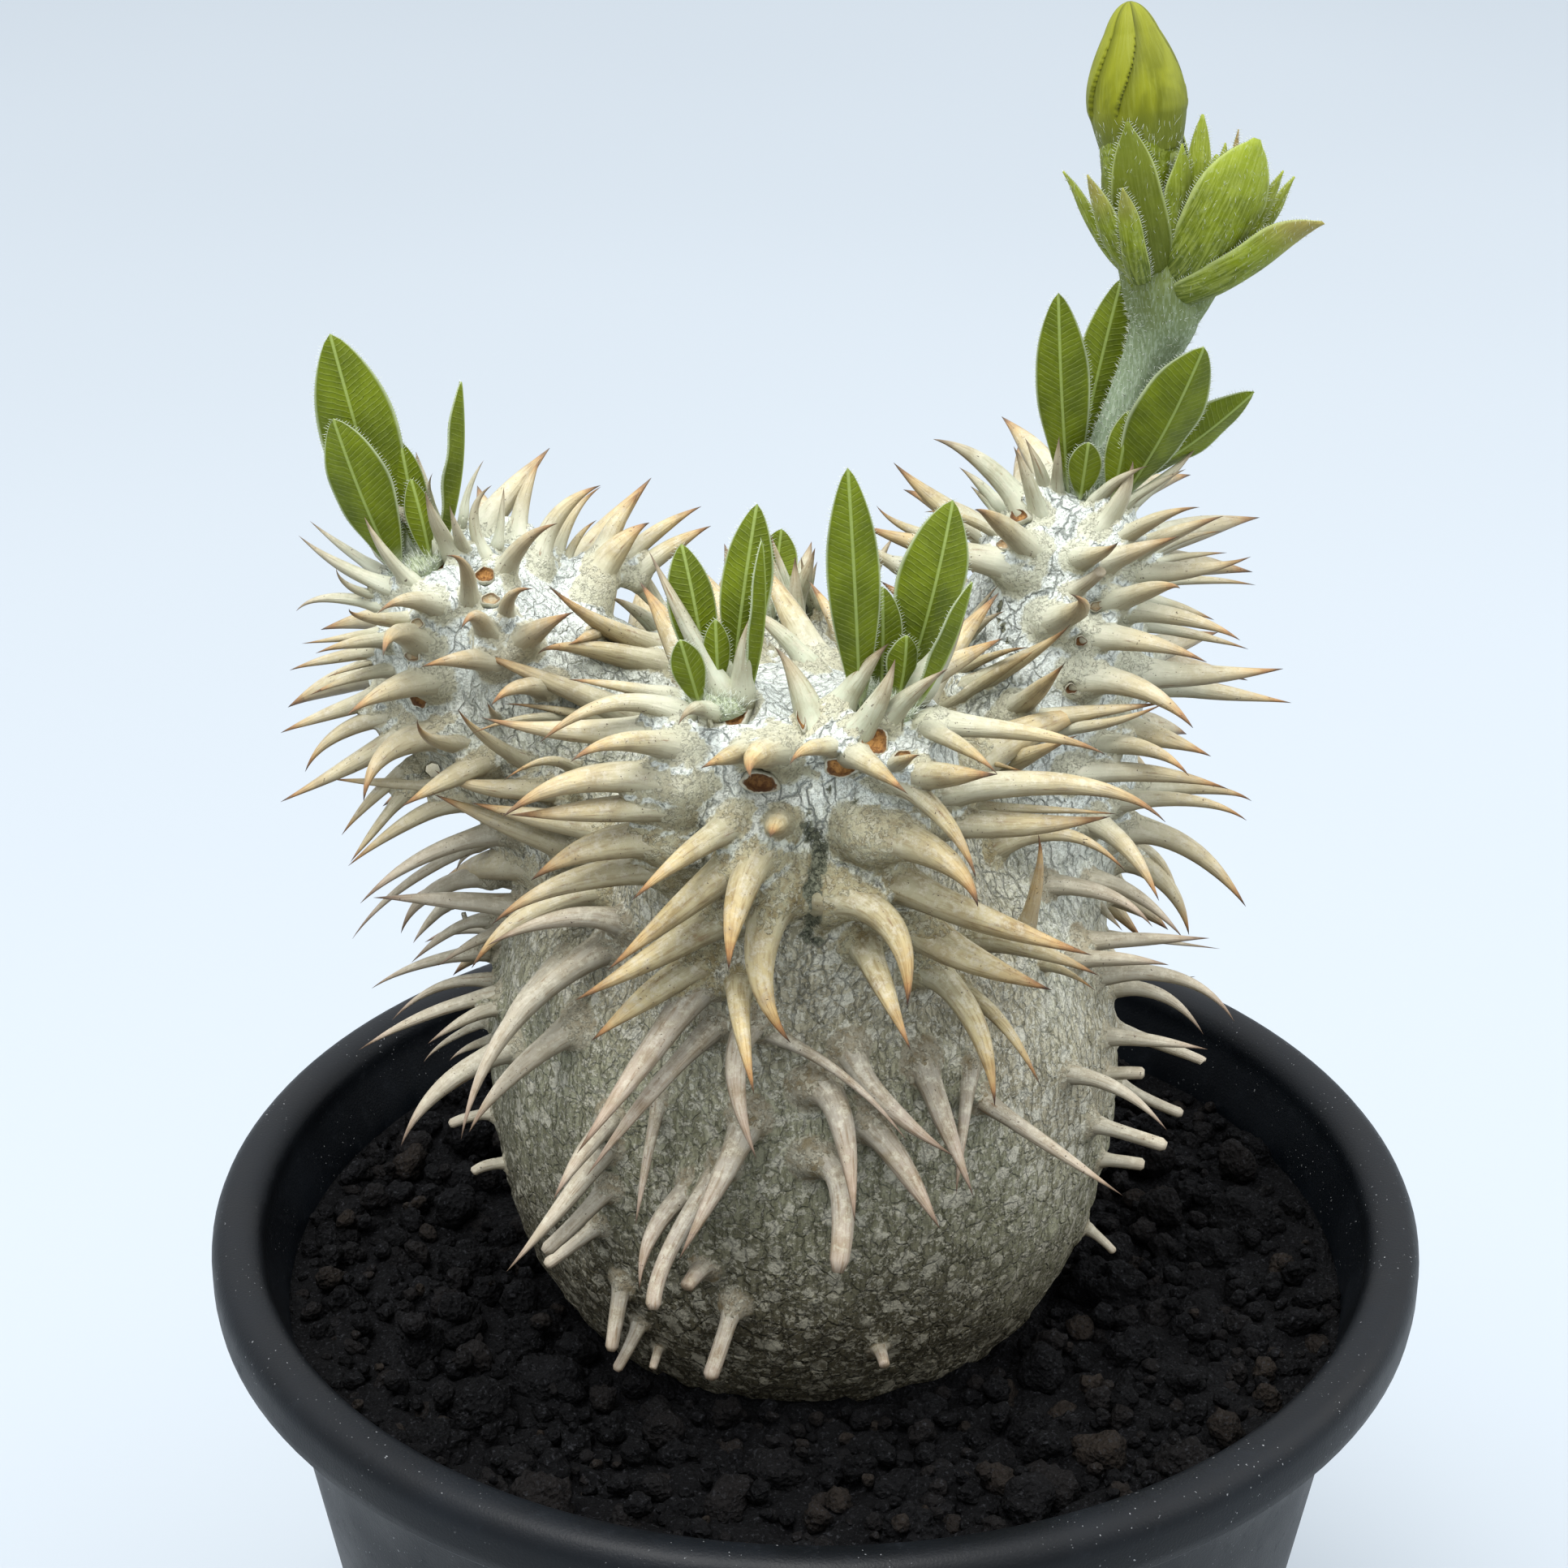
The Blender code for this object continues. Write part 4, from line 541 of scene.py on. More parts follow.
def tangents(points):
    steps = np.gradient(points, axis=0)
    return steps / np.linalg.norm(steps, axis=1)[:, None]


def lengths_along(line):
    """How far along a line each of its points lies."""
    return np.concatenate([[0], np.cumsum(np.linalg.norm(np.diff(line, axis=0), axis=1))])


def point_along(at, lengths, line):
    """The place on a line, or the places, at a length along it."""
    return np.stack([np.interp(at, lengths, line[:, k]) for k in range(3)], axis=-1)


def circle_turns(sides):
    """Angles evenly round a circle."""
    return np.arange(sides) * math.tau / sides


def circles(turns, one, two):
    """Points of a circle round each place of a line, or round one place, from its two half axes."""
    return np.cos(turns)[:, None] * one[..., None, :] + np.sin(turns)[:, None] * two[..., None, :]


def across(direction):
    """Two unit vectors square to a direction: one level, and one that completes the set."""
    side = np.cross(UP, direction)
    if np.linalg.norm(side) < 1e-3:
        side = np.array([1.0, 0.0, 0.0])
    side = unit(side)
    return side, np.cross(direction, side)


def ring_frames(points):
    """For each point of a line, two unit vectors square to the line that turn as little as they can."""
    directions = tangents(points)
    side = across(directions[0])[0]
    sides = []
    for direction in directions:
        side = unit(side - direction * np.dot(side, direction))
        sides.append(side)
    sides = np.array(sides)
    return sides, np.cross(directions, sides)


def tube(points, radii, sides, domed=True):
    """Verts and faces of a closed tube through points, with rounded or flat ends."""
    directions = tangents(points)
    if domed:
        first, last = radii[0] * 0.5, radii[-1] * 0.5
        points = np.vstack([points[0] - directions[0] * first, points, points[-1] + directions[-1] * last])
        radii = np.concatenate([[radii[0] * 0.6], radii, [radii[-1] * 0.6]])
    circle = circles(circle_turns(sides), *ring_frames(points))
    verts = (points[:, None] + np.asarray(radii)[:, None, None] * circle).reshape(-1, 3)
    return verts, grid_faces(len(points), sides)


def grid_faces(rows, columns, capped=True, start=0):
    """Faces of a grid of points, row by row, with the last column joined to the first."""
    faces = []
    for row in range(rows - 1):
        for k in range(columns):
            a, b = start + row * columns + k, start + row * columns + (k + 1) % columns
            faces.append((a, b, b + columns, a + columns))
    if capped:
        faces.append(tuple(reversed(range(start, start + columns))))
        faces.append(tuple(range(start + (rows - 1) * columns, start + rows * columns)))
    return faces


class Build:
    """Gathers the points and faces of one piece, with named numbers at each point."""

    def __init__(self, *names, grain=False):
        self.verts, self.faces, self.count = [], [], 0
        self.values = {name: [] for name in names}
        self.grain = [] if grain else None

    def add(self, verts, faces, grain=None, **values):
        verts = np.asarray(verts, float)
        if self.grain is not None:
            self.grain.append(verts if grain is None else np.asarray(grain, float).reshape(-1, 3))
        self.faces += [tuple(i + self.count for i in face) for face in faces]
        self.verts.append(verts)
        self.count += len(verts)
        for name, held in self.values.items():
            held.append(np.broadcast_to(np.asarray(values.get(name, 0.0), float), len(verts)))

    def piece(self, name, material, slot, *replaced):
        mesh = bpy.data.meshes.new(name)
        mesh.from_pydata((np.vstack(self.verts) * MM).tolist(), [], self.faces)
        for key, held in self.values.items():
            mesh.attributes.new(key, "FLOAT", "POINT").data.foreach_set("value", np.concatenate(held))
        if self.grain is not None:
            held = np.vstack(self.grain).ravel()
            mesh.attributes.new("grain", "FLOAT_VECTOR", "POINT").data.foreach_set("vector", held)
        return place(bpy.data.objects.new(name, mesh), material, slot, *replaced)


def place(obj, material, slot, *replaced):
    """Puts a finished piece in the scene, on the body, in place of the nodes that it stands for."""
    if obj.name not in bpy.context.scene.collection.objects:
        bpy.context.scene.collection.objects.link(obj)
    work = bmesh.new()
    work.from_mesh(obj.data)
    bmesh.ops.recalc_face_normals(work, faces=work.faces)
    work.to_mesh(obj.data)
    work.free()
    obj.data.shade_smooth()
    obj.data.materials.clear()
    obj.data.materials.append(material)
    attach(obj, "root")
    if replaced:
        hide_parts(*replaced)
    return obj


def evaluated(obj):
    """Replaces an object's mesh by what its modifiers make of it."""
    bpy.context.view_layer.update()
    mesh = bpy.data.meshes.new_from_object(obj.evaluated_get(bpy.context.evaluated_depsgraph_get()))
    obj.modifiers.clear()
    obj.data = mesh
    return obj


def scratch_object(verts, faces):
    """A new mesh object in the scene."""
    mesh = bpy.data.meshes.new("work")
    mesh.from_pydata(np.asarray(verts).tolist(), [], faces)
    obj = bpy.data.objects.new("work", mesh)
    bpy.context.scene.collection.objects.link(obj)
    return obj


def remeshed(parts, voxel, passes):
    """One smooth closed body round parts that overlap, each given as points and faces."""
    verts, faces = [], []
    for part_verts, part_faces in parts:
        faces += [tuple(i + len(verts) for i in face) for face in part_faces]
        verts += part_verts.tolist()
    obj = scratch_object(verts, faces)
    remesh = obj.modifiers.new("remesh", "REMESH")
    remesh.mode = "VOXEL"
    remesh.voxel_size = voxel
    smoothing = obj.modifiers.new("smooth", "SMOOTH")
    smoothing.factor = 0.5
    smoothing.iterations = passes
    return evaluated(obj)


def points_of(mesh):
    found = np.empty(len(mesh.vertices) * 3)
    mesh.vertices.foreach_get("co", found)
    return found.reshape(-1, 3)


def normals_of(mesh):
    found = np.empty(len(mesh.vertices) * 3)
    mesh.vertex_normals.foreach_get("vector", found)
    return found.reshape(-1, 3)


def faces_of(mesh):
    return [tuple(polygon.vertices) for polygon in mesh.polygons]


def field(points, size, shift=0.0):
    """Smooth noise between -1 and 1 at each point, with features of about that size."""
    offset = Vector((shift, shift * 0.7, shift * 1.3))
    return np.array([noise.noise(Vector(p) / size + offset) for p in points])


def cell_edges(points, size, stretch=(1.0, 1.0, 1.0)):
    """How far each point is from the edge of its cell, in a pattern of irregular cells."""
    found = []
    scale = Vector([1 / (size * s) for s in stretch])
    for p in points:
        near = noise.voronoi(Vector(p) * scale)[0]
        found.append(near[1] - near[0])
    return np.array(found)


def smooth_step(values, low, high):
    """0 below low, 1 above high, and an even curve between them."""
    share = np.clip((values - low) / (high - low), 0, 1)
    return share * share * (3 - 2 * share)


# Materials


class Shade:
    """Builds a Principled material's nodes by calls that each give a socket."""

    def __init__(self, name, **values):
        self.material = bpy.data.materials.new(name)
        self.material.use_nodes = True
        self.tree = self.material.node_tree
        self.shader = self.tree.nodes["Principled BSDF"]
        for key, value in values.items():
            self.put(self.shader.inputs[key.replace("_", " ")], value)
        place_node = self.node("ShaderNodeTexCoord")
        self.place = self.stretched((1 / MM,) * 3, place_node.outputs["Object"])

    def put(self, socket, value):
        if isinstance(value, bpy.types.NodeSocket):
            self.tree.links.new(value, socket)
        elif isinstance(value, tuple) and len(value) == 3 and socket.type == "RGBA":
            socket.default_value = (*value, 1)
        else:
            socket.default_value = value

    def node(self, kind, inputs=None, **settings):
        made = self.tree.nodes.new(kind)
        for key, value in settings.items():
            setattr(made, key, value)
        for key, value in (inputs or {}).items():
            self.put(made.inputs[key], value)
        return made

    def math(self, how, one, two=0.0, clamp=False):
        return self.node("ShaderNodeMath", {0: one, 1: two}, operation=how, use_clamp=clamp).outputs[0]

    def plus(self, one, two):
        return self.math("ADD", one, two)

    def minus(self, one, two):
        return self.math("SUBTRACT", one, two)

    def times(self, one, two):
        return self.math("MULTIPLY", one, two)

    def wavering(self, value, amount, *settings):
        """A value moved up and down by noise, over a span of that amount."""
        return self.plus(value, self.times(self.minus(self.noise(*settings), 0.5), amount))

    def attribute(self, name):
        return self.node("ShaderNodeAttribute", attribute_name=name).outputs["Fac"]

    def vector(self, name):
        return self.node("ShaderNodeAttribute", attribute_name=name).outputs["Vector"]

    def stretched(self, factors, at=None):
        made = self.node("ShaderNodeVectorMath", {0: at or self.place, 1: factors}, operation="MULTIPLY")
        return made.outputs[0]

    def part(self, vector, axis):
        return self.node("ShaderNodeSeparateXYZ", {0: vector}).outputs[axis]

    def facing_up(self):
        """How far the surface looks upwards, from -1 to 1."""
        return self.part(self.node("ShaderNodeNewGeometry").outputs["Normal"], "Z")

    def height(self):
        return self.part(self.place, "Z")

    def paleness(self):
        """A height in millimetres that stands higher on the right branch, whose bark is the palest."""
        return self.plus(self.height(), self.range(self.part(self.place, "X"), *PALE_FROM, *PALE_SHIFT))

    def noise(self, size, detail=3.0, rough=0.55, twist=0.0, at=None):
        """Noise from 0 to 1 with features of about that size in millimetres."""
        inputs = {"Vector": at or self.place, "Scale": 1 / size, "Detail": detail}
        inputs |= {"Roughness": rough, "Distortion": twist}
        return self.node("ShaderNodeTexNoise", inputs).outputs["Fac"]

    def cells(self, size, feature="F1", at=None):
        inputs = {"Vector": at or self.place, "Scale": 1 / size}
        return self.node("ShaderNodeTexVoronoi", inputs, feature=feature).outputs["Distance"]

    def bent(self, size, amount):
        """The place, pushed about by noise, for patterns that shouldn't run straight."""
        inputs = {"Vector": self.place, "Scale": 1 / size, "Detail": 2.0}
        colour = self.node("ShaderNodeTexNoise", inputs).outputs["Color"]
        inputs = {0: colour, 1: (amount,) * 3, 2: self.place}
        return self.node("ShaderNodeVectorMath", inputs, operation="MULTIPLY_ADD").outputs[0]

    def range(self, value, low, high, out_low=0.0, out_high=1.0):
        inputs = {"Value": value, "From Min": low, "From Max": high, "To Min": out_low, "To Max": out_high}
        return self.node("ShaderNodeMapRange", inputs, interpolation_type="SMOOTHSTEP").outputs["Result"]

    def ramp(self, value, *stops):
        made = self.node("ShaderNodeValToRGB", {"Fac": value})
        elements = made.color_ramp.elements
        while len(elements) < len(stops):
            elements.new(0.5)
        for element, (at, colour) in zip(elements, stops):
            element.position = at
            element.color = (*colour, 1)
        return made.outputs["Color"]

    def mix(self, share, one, two, how="MIX"):
        made = self.node("ShaderNodeMix", data_type="RGBA", blend_type=how)
        self.put(made.inputs["Factor"], share)
        self.put(made.inputs[6], one)
        self.put(made.inputs[7], two)
        return made.outputs[2]

    def bump(self, height, depth):
        """A normal from a height of 0 to 1 that stands for a depth in millimetres."""
        inputs = {"Height": height, "Distance": depth * MM, "Strength": 1.0}
        return self.node("ShaderNodeBump", inputs).outputs["Normal"]

    def finish(self, colour, normal=None, roughness=None):
        for name, value in (("Base Color", colour), ("Normal", normal), ("Roughness", roughness)):
            if value is not None:
                self.put(self.shader.inputs[name], value)
        return self.material


def bark_material():
    s = Shade("bark", Roughness=0.88, Specular_IOR_Level=0.15)
    near, old, craze, cleft = (s.attribute(key) for key in ("near", "old", "craze", "cleft"))
    along, tone, level = s.attribute("along"), s.attribute("tone"), s.paleness()
    away = s.range(near, 0.05, 0.45, 1.0, 0.0)
    near = s.range(s.wavering(near, 0.9, 0.9, 3, 0.65), 0.35, 0.80)
    clear = s.minus(1.0, near)
    height = s.wavering(level, 14.0, 9, 3)
    ground = s.ramp(
        s.range(height, 90, 178),
        (0.0, (0.105, 0.094, 0.058)), (0.08, (0.215, 0.210, 0.138)), (0.24, (0.315, 0.312, 0.215)),
        (0.42, (0.42, 0.385, 0.280)), (0.58, (0.54, 0.51, 0.380)), (0.72, (0.66, 0.675, 0.565)),
        (0.88, (0.82, 0.88, 0.84)),
    )
    streaks = s.noise(0.9, 3, 0.62, at=s.stretched((2.2, 2.2, 0.35)))
    dark = s.times(s.range(streaks, 0.42, 0.60), s.range(level, 142, 160, 0.75, 0.12))
    ground = s.mix(dark, ground, (0.42, 0.41, 0.34), "MULTIPLY")
    flakes = s.range(s.cells(2.3, at=s.bent(0.7, 1.5)), 0.36, 0.42, 1.0, 0.0)
    flakes = s.times(flakes, s.range(s.noise(2.6, 2), 0.42, 0.52, 0.10, 1.0))
    specks = s.range(s.noise(0.62, 4, 0.70, 0.3), 0.52, 0.56)
    pale = s.ramp(
        s.range(height, 92, 170),
        (0.0, (0.42, 0.40, 0.310)), (0.35, (0.56, 0.54, 0.44)), (0.7, (0.60, 0.59, 0.49)),
        (1.0, (0.80, 0.85, 0.80)),
    )
    flaky = s.math("MAXIMUM", flakes, s.times(specks, s.range(level, 118, 150, 0.75, 0.9)))
    colour = s.mix(s.times(s.times(flaky, 0.90), clear), ground, pale)
    edges = s.cells(1.6, "DISTANCE_TO_EDGE", s.stretched((1.0, 1.0, 0.5), s.bent(1.4, 1.5)))
    cracks = s.range(edges, 0.010, 0.060, 1.0, 0.0)
    where = s.times(s.range(s.height(), 126, 150, 0.0, 0.8), s.range(s.noise(5, 3), 0.47, 0.57))
    cracks = s.times(s.times(cracks, s.math("MAXIMUM", where, craze)), clear)
    colour = s.mix(s.times(cracks, 0.66), colour, (0.120, 0.138, 0.128))
    fine = s.range(s.cells(0.75, "DISTANCE_TO_EDGE"), 0.02, 0.12, 1.0, 0.0)
    fine = s.times(s.times(fine, s.range(streaks, 0.40, 0.56, 0.1, 0.9)), clear)
    colour = s.mix(s.times(fine, 0.28), colour, (0.15, 0.145, 0.120))
    foot, _ = spine_colour(s, along, tone, s.range(old, 0, 1, 0, 0.85), s.stretched((0.7, 0.7, 0.7)))
    foot = s.mix(s.times(specks, 0.35), foot, (0.60, 0.58, 0.46))
    colour = s.mix(s.times(near, 0.95), colour, foot)
    grit = s.noise(0.45, 3, 0.7)
    crumbs = s.mix(s.range(grit, 0.4, 0.6), (0.060, 0.066, 0.044), (0.215, 0.220, 0.155))
    torn = s.times(cleft, s.range(grit, 0.36, 0.56, 0.45, 1.0))
    colour = s.mix(s.range(torn, 0.18, 0.5), colour, crumbs)
    # Painted shade: the bark is darker where it faces down.
    shade = s.range(s.facing_up(), -0.9, 0.2, 0.75, 0.0)
    colour = s.mix(shade, colour, (0.46, 0.42, 0.34), "MULTIPLY")
    rough_height = s.plus(s.times(specks, 0.6), s.times(grit, 0.9))
    rough_height = s.minus(rough_height, s.times(s.range(edges, 0.0, 0.10, 0.8, 0.0), away))
    return s.finish(colour, s.bump(rough_height, 0.34))


def spine_colour(s, along, tone, age, grain):
    """The colours of a spine, from its root at 0 to its tip at 1."""
    wavering = s.wavering(along, 0.16, 1.2, 3)
    cream = s.ramp(
        wavering,
        (0.0, (0.37, 0.345, 0.225)), (0.28, (0.47, 0.415, 0.250)), (0.60, (0.56, 0.455, 0.238)),
        (0.80, (0.54, 0.375, 0.165)), (0.89, (0.40, 0.205, 0.075)), (0.98, (0.095, 0.045, 0.024)),
    )
    woody = s.ramp(
        wavering,
        (0.0, (0.30, 0.280, 0.220)), (0.35, (0.42, 0.375, 0.300)), (0.80, (0.46, 0.360, 0.275)),
        (1.0, (0.17, 0.095, 0.058)),
    )
    young = s.ramp(
        wavering,
        (0.0, (0.40, 0.45, 0.310)), (0.45, (0.50, 0.51, 0.370)), (0.80, (0.50, 0.42, 0.280)),
        (1.0, (0.15, 0.072, 0.042)),
    )
    colour = s.mix(s.range(age, 0.5, 1.0), cream, woody)
    colour = s.mix(s.range(age, -1.0, -0.2, 1.0, 0.0), colour, young)
    colour = s.mix(s.range(tone, 0.2, 1, 0.0, 0.55), colour, (0.82, 0.60, 0.38), "MULTIPLY")
    colour = s.mix(s.range(s.noise(20, 2), 0.42, 0.58, 0.0, 0.9), colour, (0.86, 0.88, 0.90), "MULTIPLY")
    blotches = s.range(s.noise(1.8, 3, 0.6), 0.44, 0.68, 0.0, 0.85)
    colour = s.mix(blotches, colour, (0.64, 0.56, 0.42), "MULTIPLY")
    fibres = s.noise(0.5, 3, 0.6, at=grain)
    colour = s.mix(s.range(fibres, 0.44, 0.66, 0.0, 0.7), colour, (0.60, 0.51, 0.38), "MULTIPLY")
    bleached = s.times(s.range(s.height(), 150, 186, 0.0, 0.32), s.range(along, 0.2, 0.85, 1.0, 0.25))
    colour = s.mix(bleached, colour, (0.72, 0.74, 0.58))
    aside = s.math("ABSOLUTE", s.part(s.place, "X"))
    greyer = s.times(s.range(aside, 14, 32, 0.0, 0.40), s.range(along, 0.66, 0.90, 1.0, 0.10))
    colour = s.mix(greyer, colour, (0.54, 0.505, 0.375))
    uneven = s.wavering(along, 0.20, 0.8, 3, 0.6)
    frosted = s.times(s.range(s.paleness(), 144, 168, 0.0, 0.66), s.range(uneven, 0.06, 0.50, 1.0, 0.0))
    colour = s.mix(frosted, colour, (0.70, 0.725, 0.59))
    return colour, fibres


def spine_material():
    s = Shade("spine", Roughness=0.48, Specular_IOR_Level=0.3)
    along, tone, age, grain = s.attribute("along"), s.attribute("tone"), s.attribute("age"), s.vector("grain")
    colour, fibres = spine_colour(s, along, tone, age, grain)
    up = s.facing_up()
    # Pale patches on the spines, a real mottling, and painted light as well: they are stronger on faces that
    # look up.
    pale = s.times(s.range(s.noise(0.9, 4, 0.72), 0.42, 0.68), s.range(along, 0.55, 0.92, 0.50, 0.05))
    pale = s.times(pale, s.range(up, -0.2, 0.6, 0.3, 1.0))
    colour = s.mix(pale, colour, (0.70, 0.67, 0.54))
    lines = s.times(s.range(fibres, 0.62, 0.70, 0.0, 0.75), s.range(s.noise(2.2, 2), 0.46, 0.60))
    colour = s.mix(lines, colour, (0.23, 0.135, 0.070))
    # Painted shade: the spines are darker where they face down.
    colour = s.mix(s.range(up, -0.95, 0.45, 0.92, 0.0), colour, (0.38, 0.330, 0.260), "MULTIPLY")
    dots = s.times(s.range(s.noise(0.30, 2, 0.5), 0.67, 0.71), s.range(s.noise(2.4, 2), 0.46, 0.58))
    colour = s.mix(s.times(dots, 0.85), colour, (0.060, 0.035, 0.024))
    return s.finish(colour, s.bump(fibres, 0.12))


def scar_material():
    s = Shade("scar", Roughness=0.8, Specular_IOR_Level=0.2)
    rim, deep = s.attribute("rim"), s.attribute("deep")
    wavering = s.wavering(rim, 0.36, 0.8, 3)
    inside = s.mix(s.range(s.noise(0.6, 4, 0.65), 0.36, 0.62), (0.15, 0.062, 0.020), (0.44, 0.225, 0.070))
    # Painted shade: the deepest pits are darker inside.
    inside = s.mix(s.range(deep, 0.8, 1.0, 0.0, 0.6), inside, (0.060, 0.026, 0.012))
    lip = s.mix(s.range(s.noise(0.8, 4, 0.65), 0.38, 0.62), (0.27, 0.235, 0.160), (0.45, 0.42, 0.32))
    lip = s.mix(s.range(s.height(), 146, 172, 0.0, 0.7), lip, (0.52, 0.52, 0.42))
    healed = s.mix(s.range(s.noise(0.5, 3), 0.4, 0.6), (0.40, 0.29, 0.16), (0.47, 0.42, 0.29))
    colour = s.mix(s.range(deep, 0.3, 0.6), healed, inside)
    dark_edge = s.times(s.range(wavering, 0.60, 0.76), 0.6)
    colour = s.mix(dark_edge, colour, (0.085, 0.045, 0.025))
    colour = s.mix(s.range(wavering, 0.82, 0.92), colour, lip)
    return s.finish(colour, s.bump(s.noise(0.4, 4, 0.6), 0.2))


def leaf_material():
    s = Shade("leaf", Roughness=0.55, Specular_IOR_Level=0.18)
    side, run, edge, tip = (s.attribute(key) for key in ("side", "run", "edge", "tip"))
    light = (0.135, 0.178, 0.004)
    base = s.mix(s.range(s.noise(3.5, 3), 0.3, 0.7), (0.062, 0.088, 0.0015), light)
    base = s.mix(s.range(tip, 0.0, 1.0, 0.0, 0.35), base, light)
    away = s.math("ABSOLUTE", side)
    climbing = s.wavering(s.minus(run, s.times(away, VEIN_SLANT)), 0.35, 1.2, 2)
    veins = s.range(s.math("SINE", s.times(climbing, math.tau / VEIN_SPACING)), 0.60, 0.98)
    inside = s.times(s.range(edge, 0.80, 0.92, 1.0, 0.0), s.range(away, 0.12, 0.3))
    broken = s.range(s.noise(0.9, 2), 0.3, 0.5, 0.35, 1.0)
    veins = s.times(s.times(veins, inside), broken)
    colour = s.mix(s.times(veins, 0.22), base, (0.36, 0.44, 0.09))
    rib = s.range(away, 0.07, 0.20, 1.0, 0.0)
    colour = s.mix(s.times(rib, 0.62), colour, (0.34, 0.43, 0.13))
    colour = s.mix(s.range(edge, 0.90, 1.0, 0.0, 0.55), colour, (0.55, 0.62, 0.42))
    down = s.times(s.range(s.noise(0.5, 4, 0.7), 0.42, 0.68), 0.02)
    down = s.math("ADD", down, s.range(tip, 0.0, 0.16, 0.45, 0.0), clamp=True)
    colour = s.mix(down, colour, (0.62, 0.68, 0.52))
    relief = s.minus(s.times(s.noise(0.4, 3), 0.4), s.times(veins, 0.5))
    return s.finish(colour, s.bump(relief, 0.14))


def stalk_material():
    s = Shade("stalk", Roughness=0.75, Specular_IOR_Level=0.2)
    height = s.plus(s.height(), s.times(s.noise(3, 2), 4.0))
    base = s.ramp(
        s.range(height, 186, 208),
        (0.0, (0.23, 0.30, 0.18)), (0.45, (0.155, 0.205, 0.090)), (0.75, (0.12, 0.155, 0.030)),
        (1.0, (0.20, 0.24, 0.035)),
    )
    fibres = s.noise(0.5, 3, 0.6, at=s.stretched((2.2, 2.2, 0.5)))
    down = s.range(fibres, 0.44, 0.66, 0.15, 0.75)
    down = s.times(down, s.range(height, 190, 200, 1.0, 0.45))
    colour = s.mix(down, base, (0.46, 0.54, 0.42))
    return s.finish(colour, s.bump(fibres, 0.12))


def bract_material():
    s = Shade("bract", Roughness=0.55, Specular_IOR_Level=0.2)
    edge, tip, brown, grain = s.attribute("edge"), s.attribute("tip"), s.attribute("brown"), s.vector("grain")
    patch = s.range(s.noise(2.6, 3), 0.34, 0.66)
    base = s.mix(patch, (0.088, 0.118, 0.002), (0.175, 0.224, 0.004))
    base = s.mix(s.range(tip, 0.45, 1.0, 0.0, 0.6), base, (0.30, 0.37, 0.030))
    base = s.mix(s.range(tip, 0.0, 0.45, 0.8, 0.0), base, (0.065, 0.095, 0.014))
    stripes = s.noise(0.5, 3, 0.6, at=grain)
    base = s.mix(s.range(stripes, 0.40, 0.66, 0.0, 0.40), base, (0.40, 0.46, 0.10))
    tinge = s.times(brown, s.range(tip, 0.55, 0.95))
    base = s.mix(tinge, base, (0.33, 0.22, 0.10))
    base = s.mix(s.range(brown, -1.0, 0.0, 0.85, 0.0), base, (0.085, 0.105, 0.006))
    down = s.range(s.noise(0.45, 4, 0.7), 0.52, 0.70, 0.0, 0.20)
    down = s.times(down, s.range(brown, -0.9, 0.0, 0.25, 1.0))
    base = s.mix(down, base, (0.50, 0.56, 0.34))
    colour = s.mix(s.range(edge, 0.86, 1.0, 0.0, 0.5), base, (0.50, 0.57, 0.25))
    return s.finish(colour, s.bump(stripes, 0.10))


def bud_material():
    s = Shade("bud", Roughness=0.5, Specular_IOR_Level=0.2)
    seam, tip, grain = s.attribute("seam"), s.attribute("tip"), s.vector("grain")
    patch = s.range(s.noise(3.4, 3, 0.5, 0.6, at=s.stretched((1, 1, 0.6))), 0.36, 0.64)
    base = s.mix(patch, (0.118, 0.132, 0.003), (0.205, 0.222, 0.008))
    base = s.mix(s.range(tip, 0.45, 1.0, 0.0, 0.7), base, (0.235, 0.250, 0.012))
    base = s.mix(s.range(tip, 0.10, 0.36, 0.92, 0.0), base, (0.112, 0.136, 0.012))
    # Painted shade: the petal just past each edge, tucked under the one over it, is darker.
    shade = s.times(s.range(seam, 0.0, 0.45, 0.75, 0.0), s.range(tip, 0.15, 0.4))
    colour = s.mix(shade, base, (0.068, 0.078, 0.002))
    # Painted shadow: a dark line right at each petal edge, where it overlaps the next.
    fold = s.times(s.range(seam, 0.0, 0.05, 0.6, 0.0), s.range(tip, 0.2, 0.3))
    colour = s.mix(fold, colour, (0.035, 0.038, 0.001))
    colour = s.mix(s.range(seam, 0.86, 0.98, 0.0, 0.20), colour, (0.30, 0.33, 0.05))
    fibres = s.noise(0.6, 3, 0.6, at=grain)
    colour = s.mix(s.range(fibres, 0.45, 0.7, 0.0, 0.22), colour, (0.29, 0.32, 0.06))
    return s.finish(colour, s.bump(fibres, 0.07))


def hair_material():
    s = Shade("down", Roughness=0.7, Specular_IOR_Level=0.2)
    return s.finish(s.mix(s.range(s.noise(1.0, 2), 0.35, 0.65), (0.60, 0.66, 0.52), (0.80, 0.84, 0.76)))


def grit_material():
    s = Shade("grit", Roughness=0.9, Specular_IOR_Level=0.10)
    tone = s.attribute("tone")
    colour = s.ramp(
        tone,
        (0.0, (0.0020, 0.0020, 0.0024)), (0.6, (0.0048, 0.0048, 0.0054)), (0.9, (0.0095, 0.0082, 0.0078)),
        (1.0, (0.020, 0.0155, 0.012)),
    )
    dust = s.range(s.noise(0.5, 4, 0.7), 0.55, 0.68, 0.0, 0.7)
    colour = s.mix(dust, colour, (0.036, 0.037, 0.041))
    # Painted shade: the grains are darker where they face down or sideways.
    colour = s.mix(s.range(s.facing_up(), -0.3, 0.9, 0.85, 0.0), colour, (0.25, 0.25, 0.27), "MULTIPLY")
    relief = s.plus(s.times(s.noise(0.6, 4, 0.7), 0.6), s.times(s.cells(0.55), 0.6))
    return s.finish(colour, s.bump(relief, 1.0), s.range(s.noise(1.0, 2), 0.3, 0.7, 0.6, 1.0))


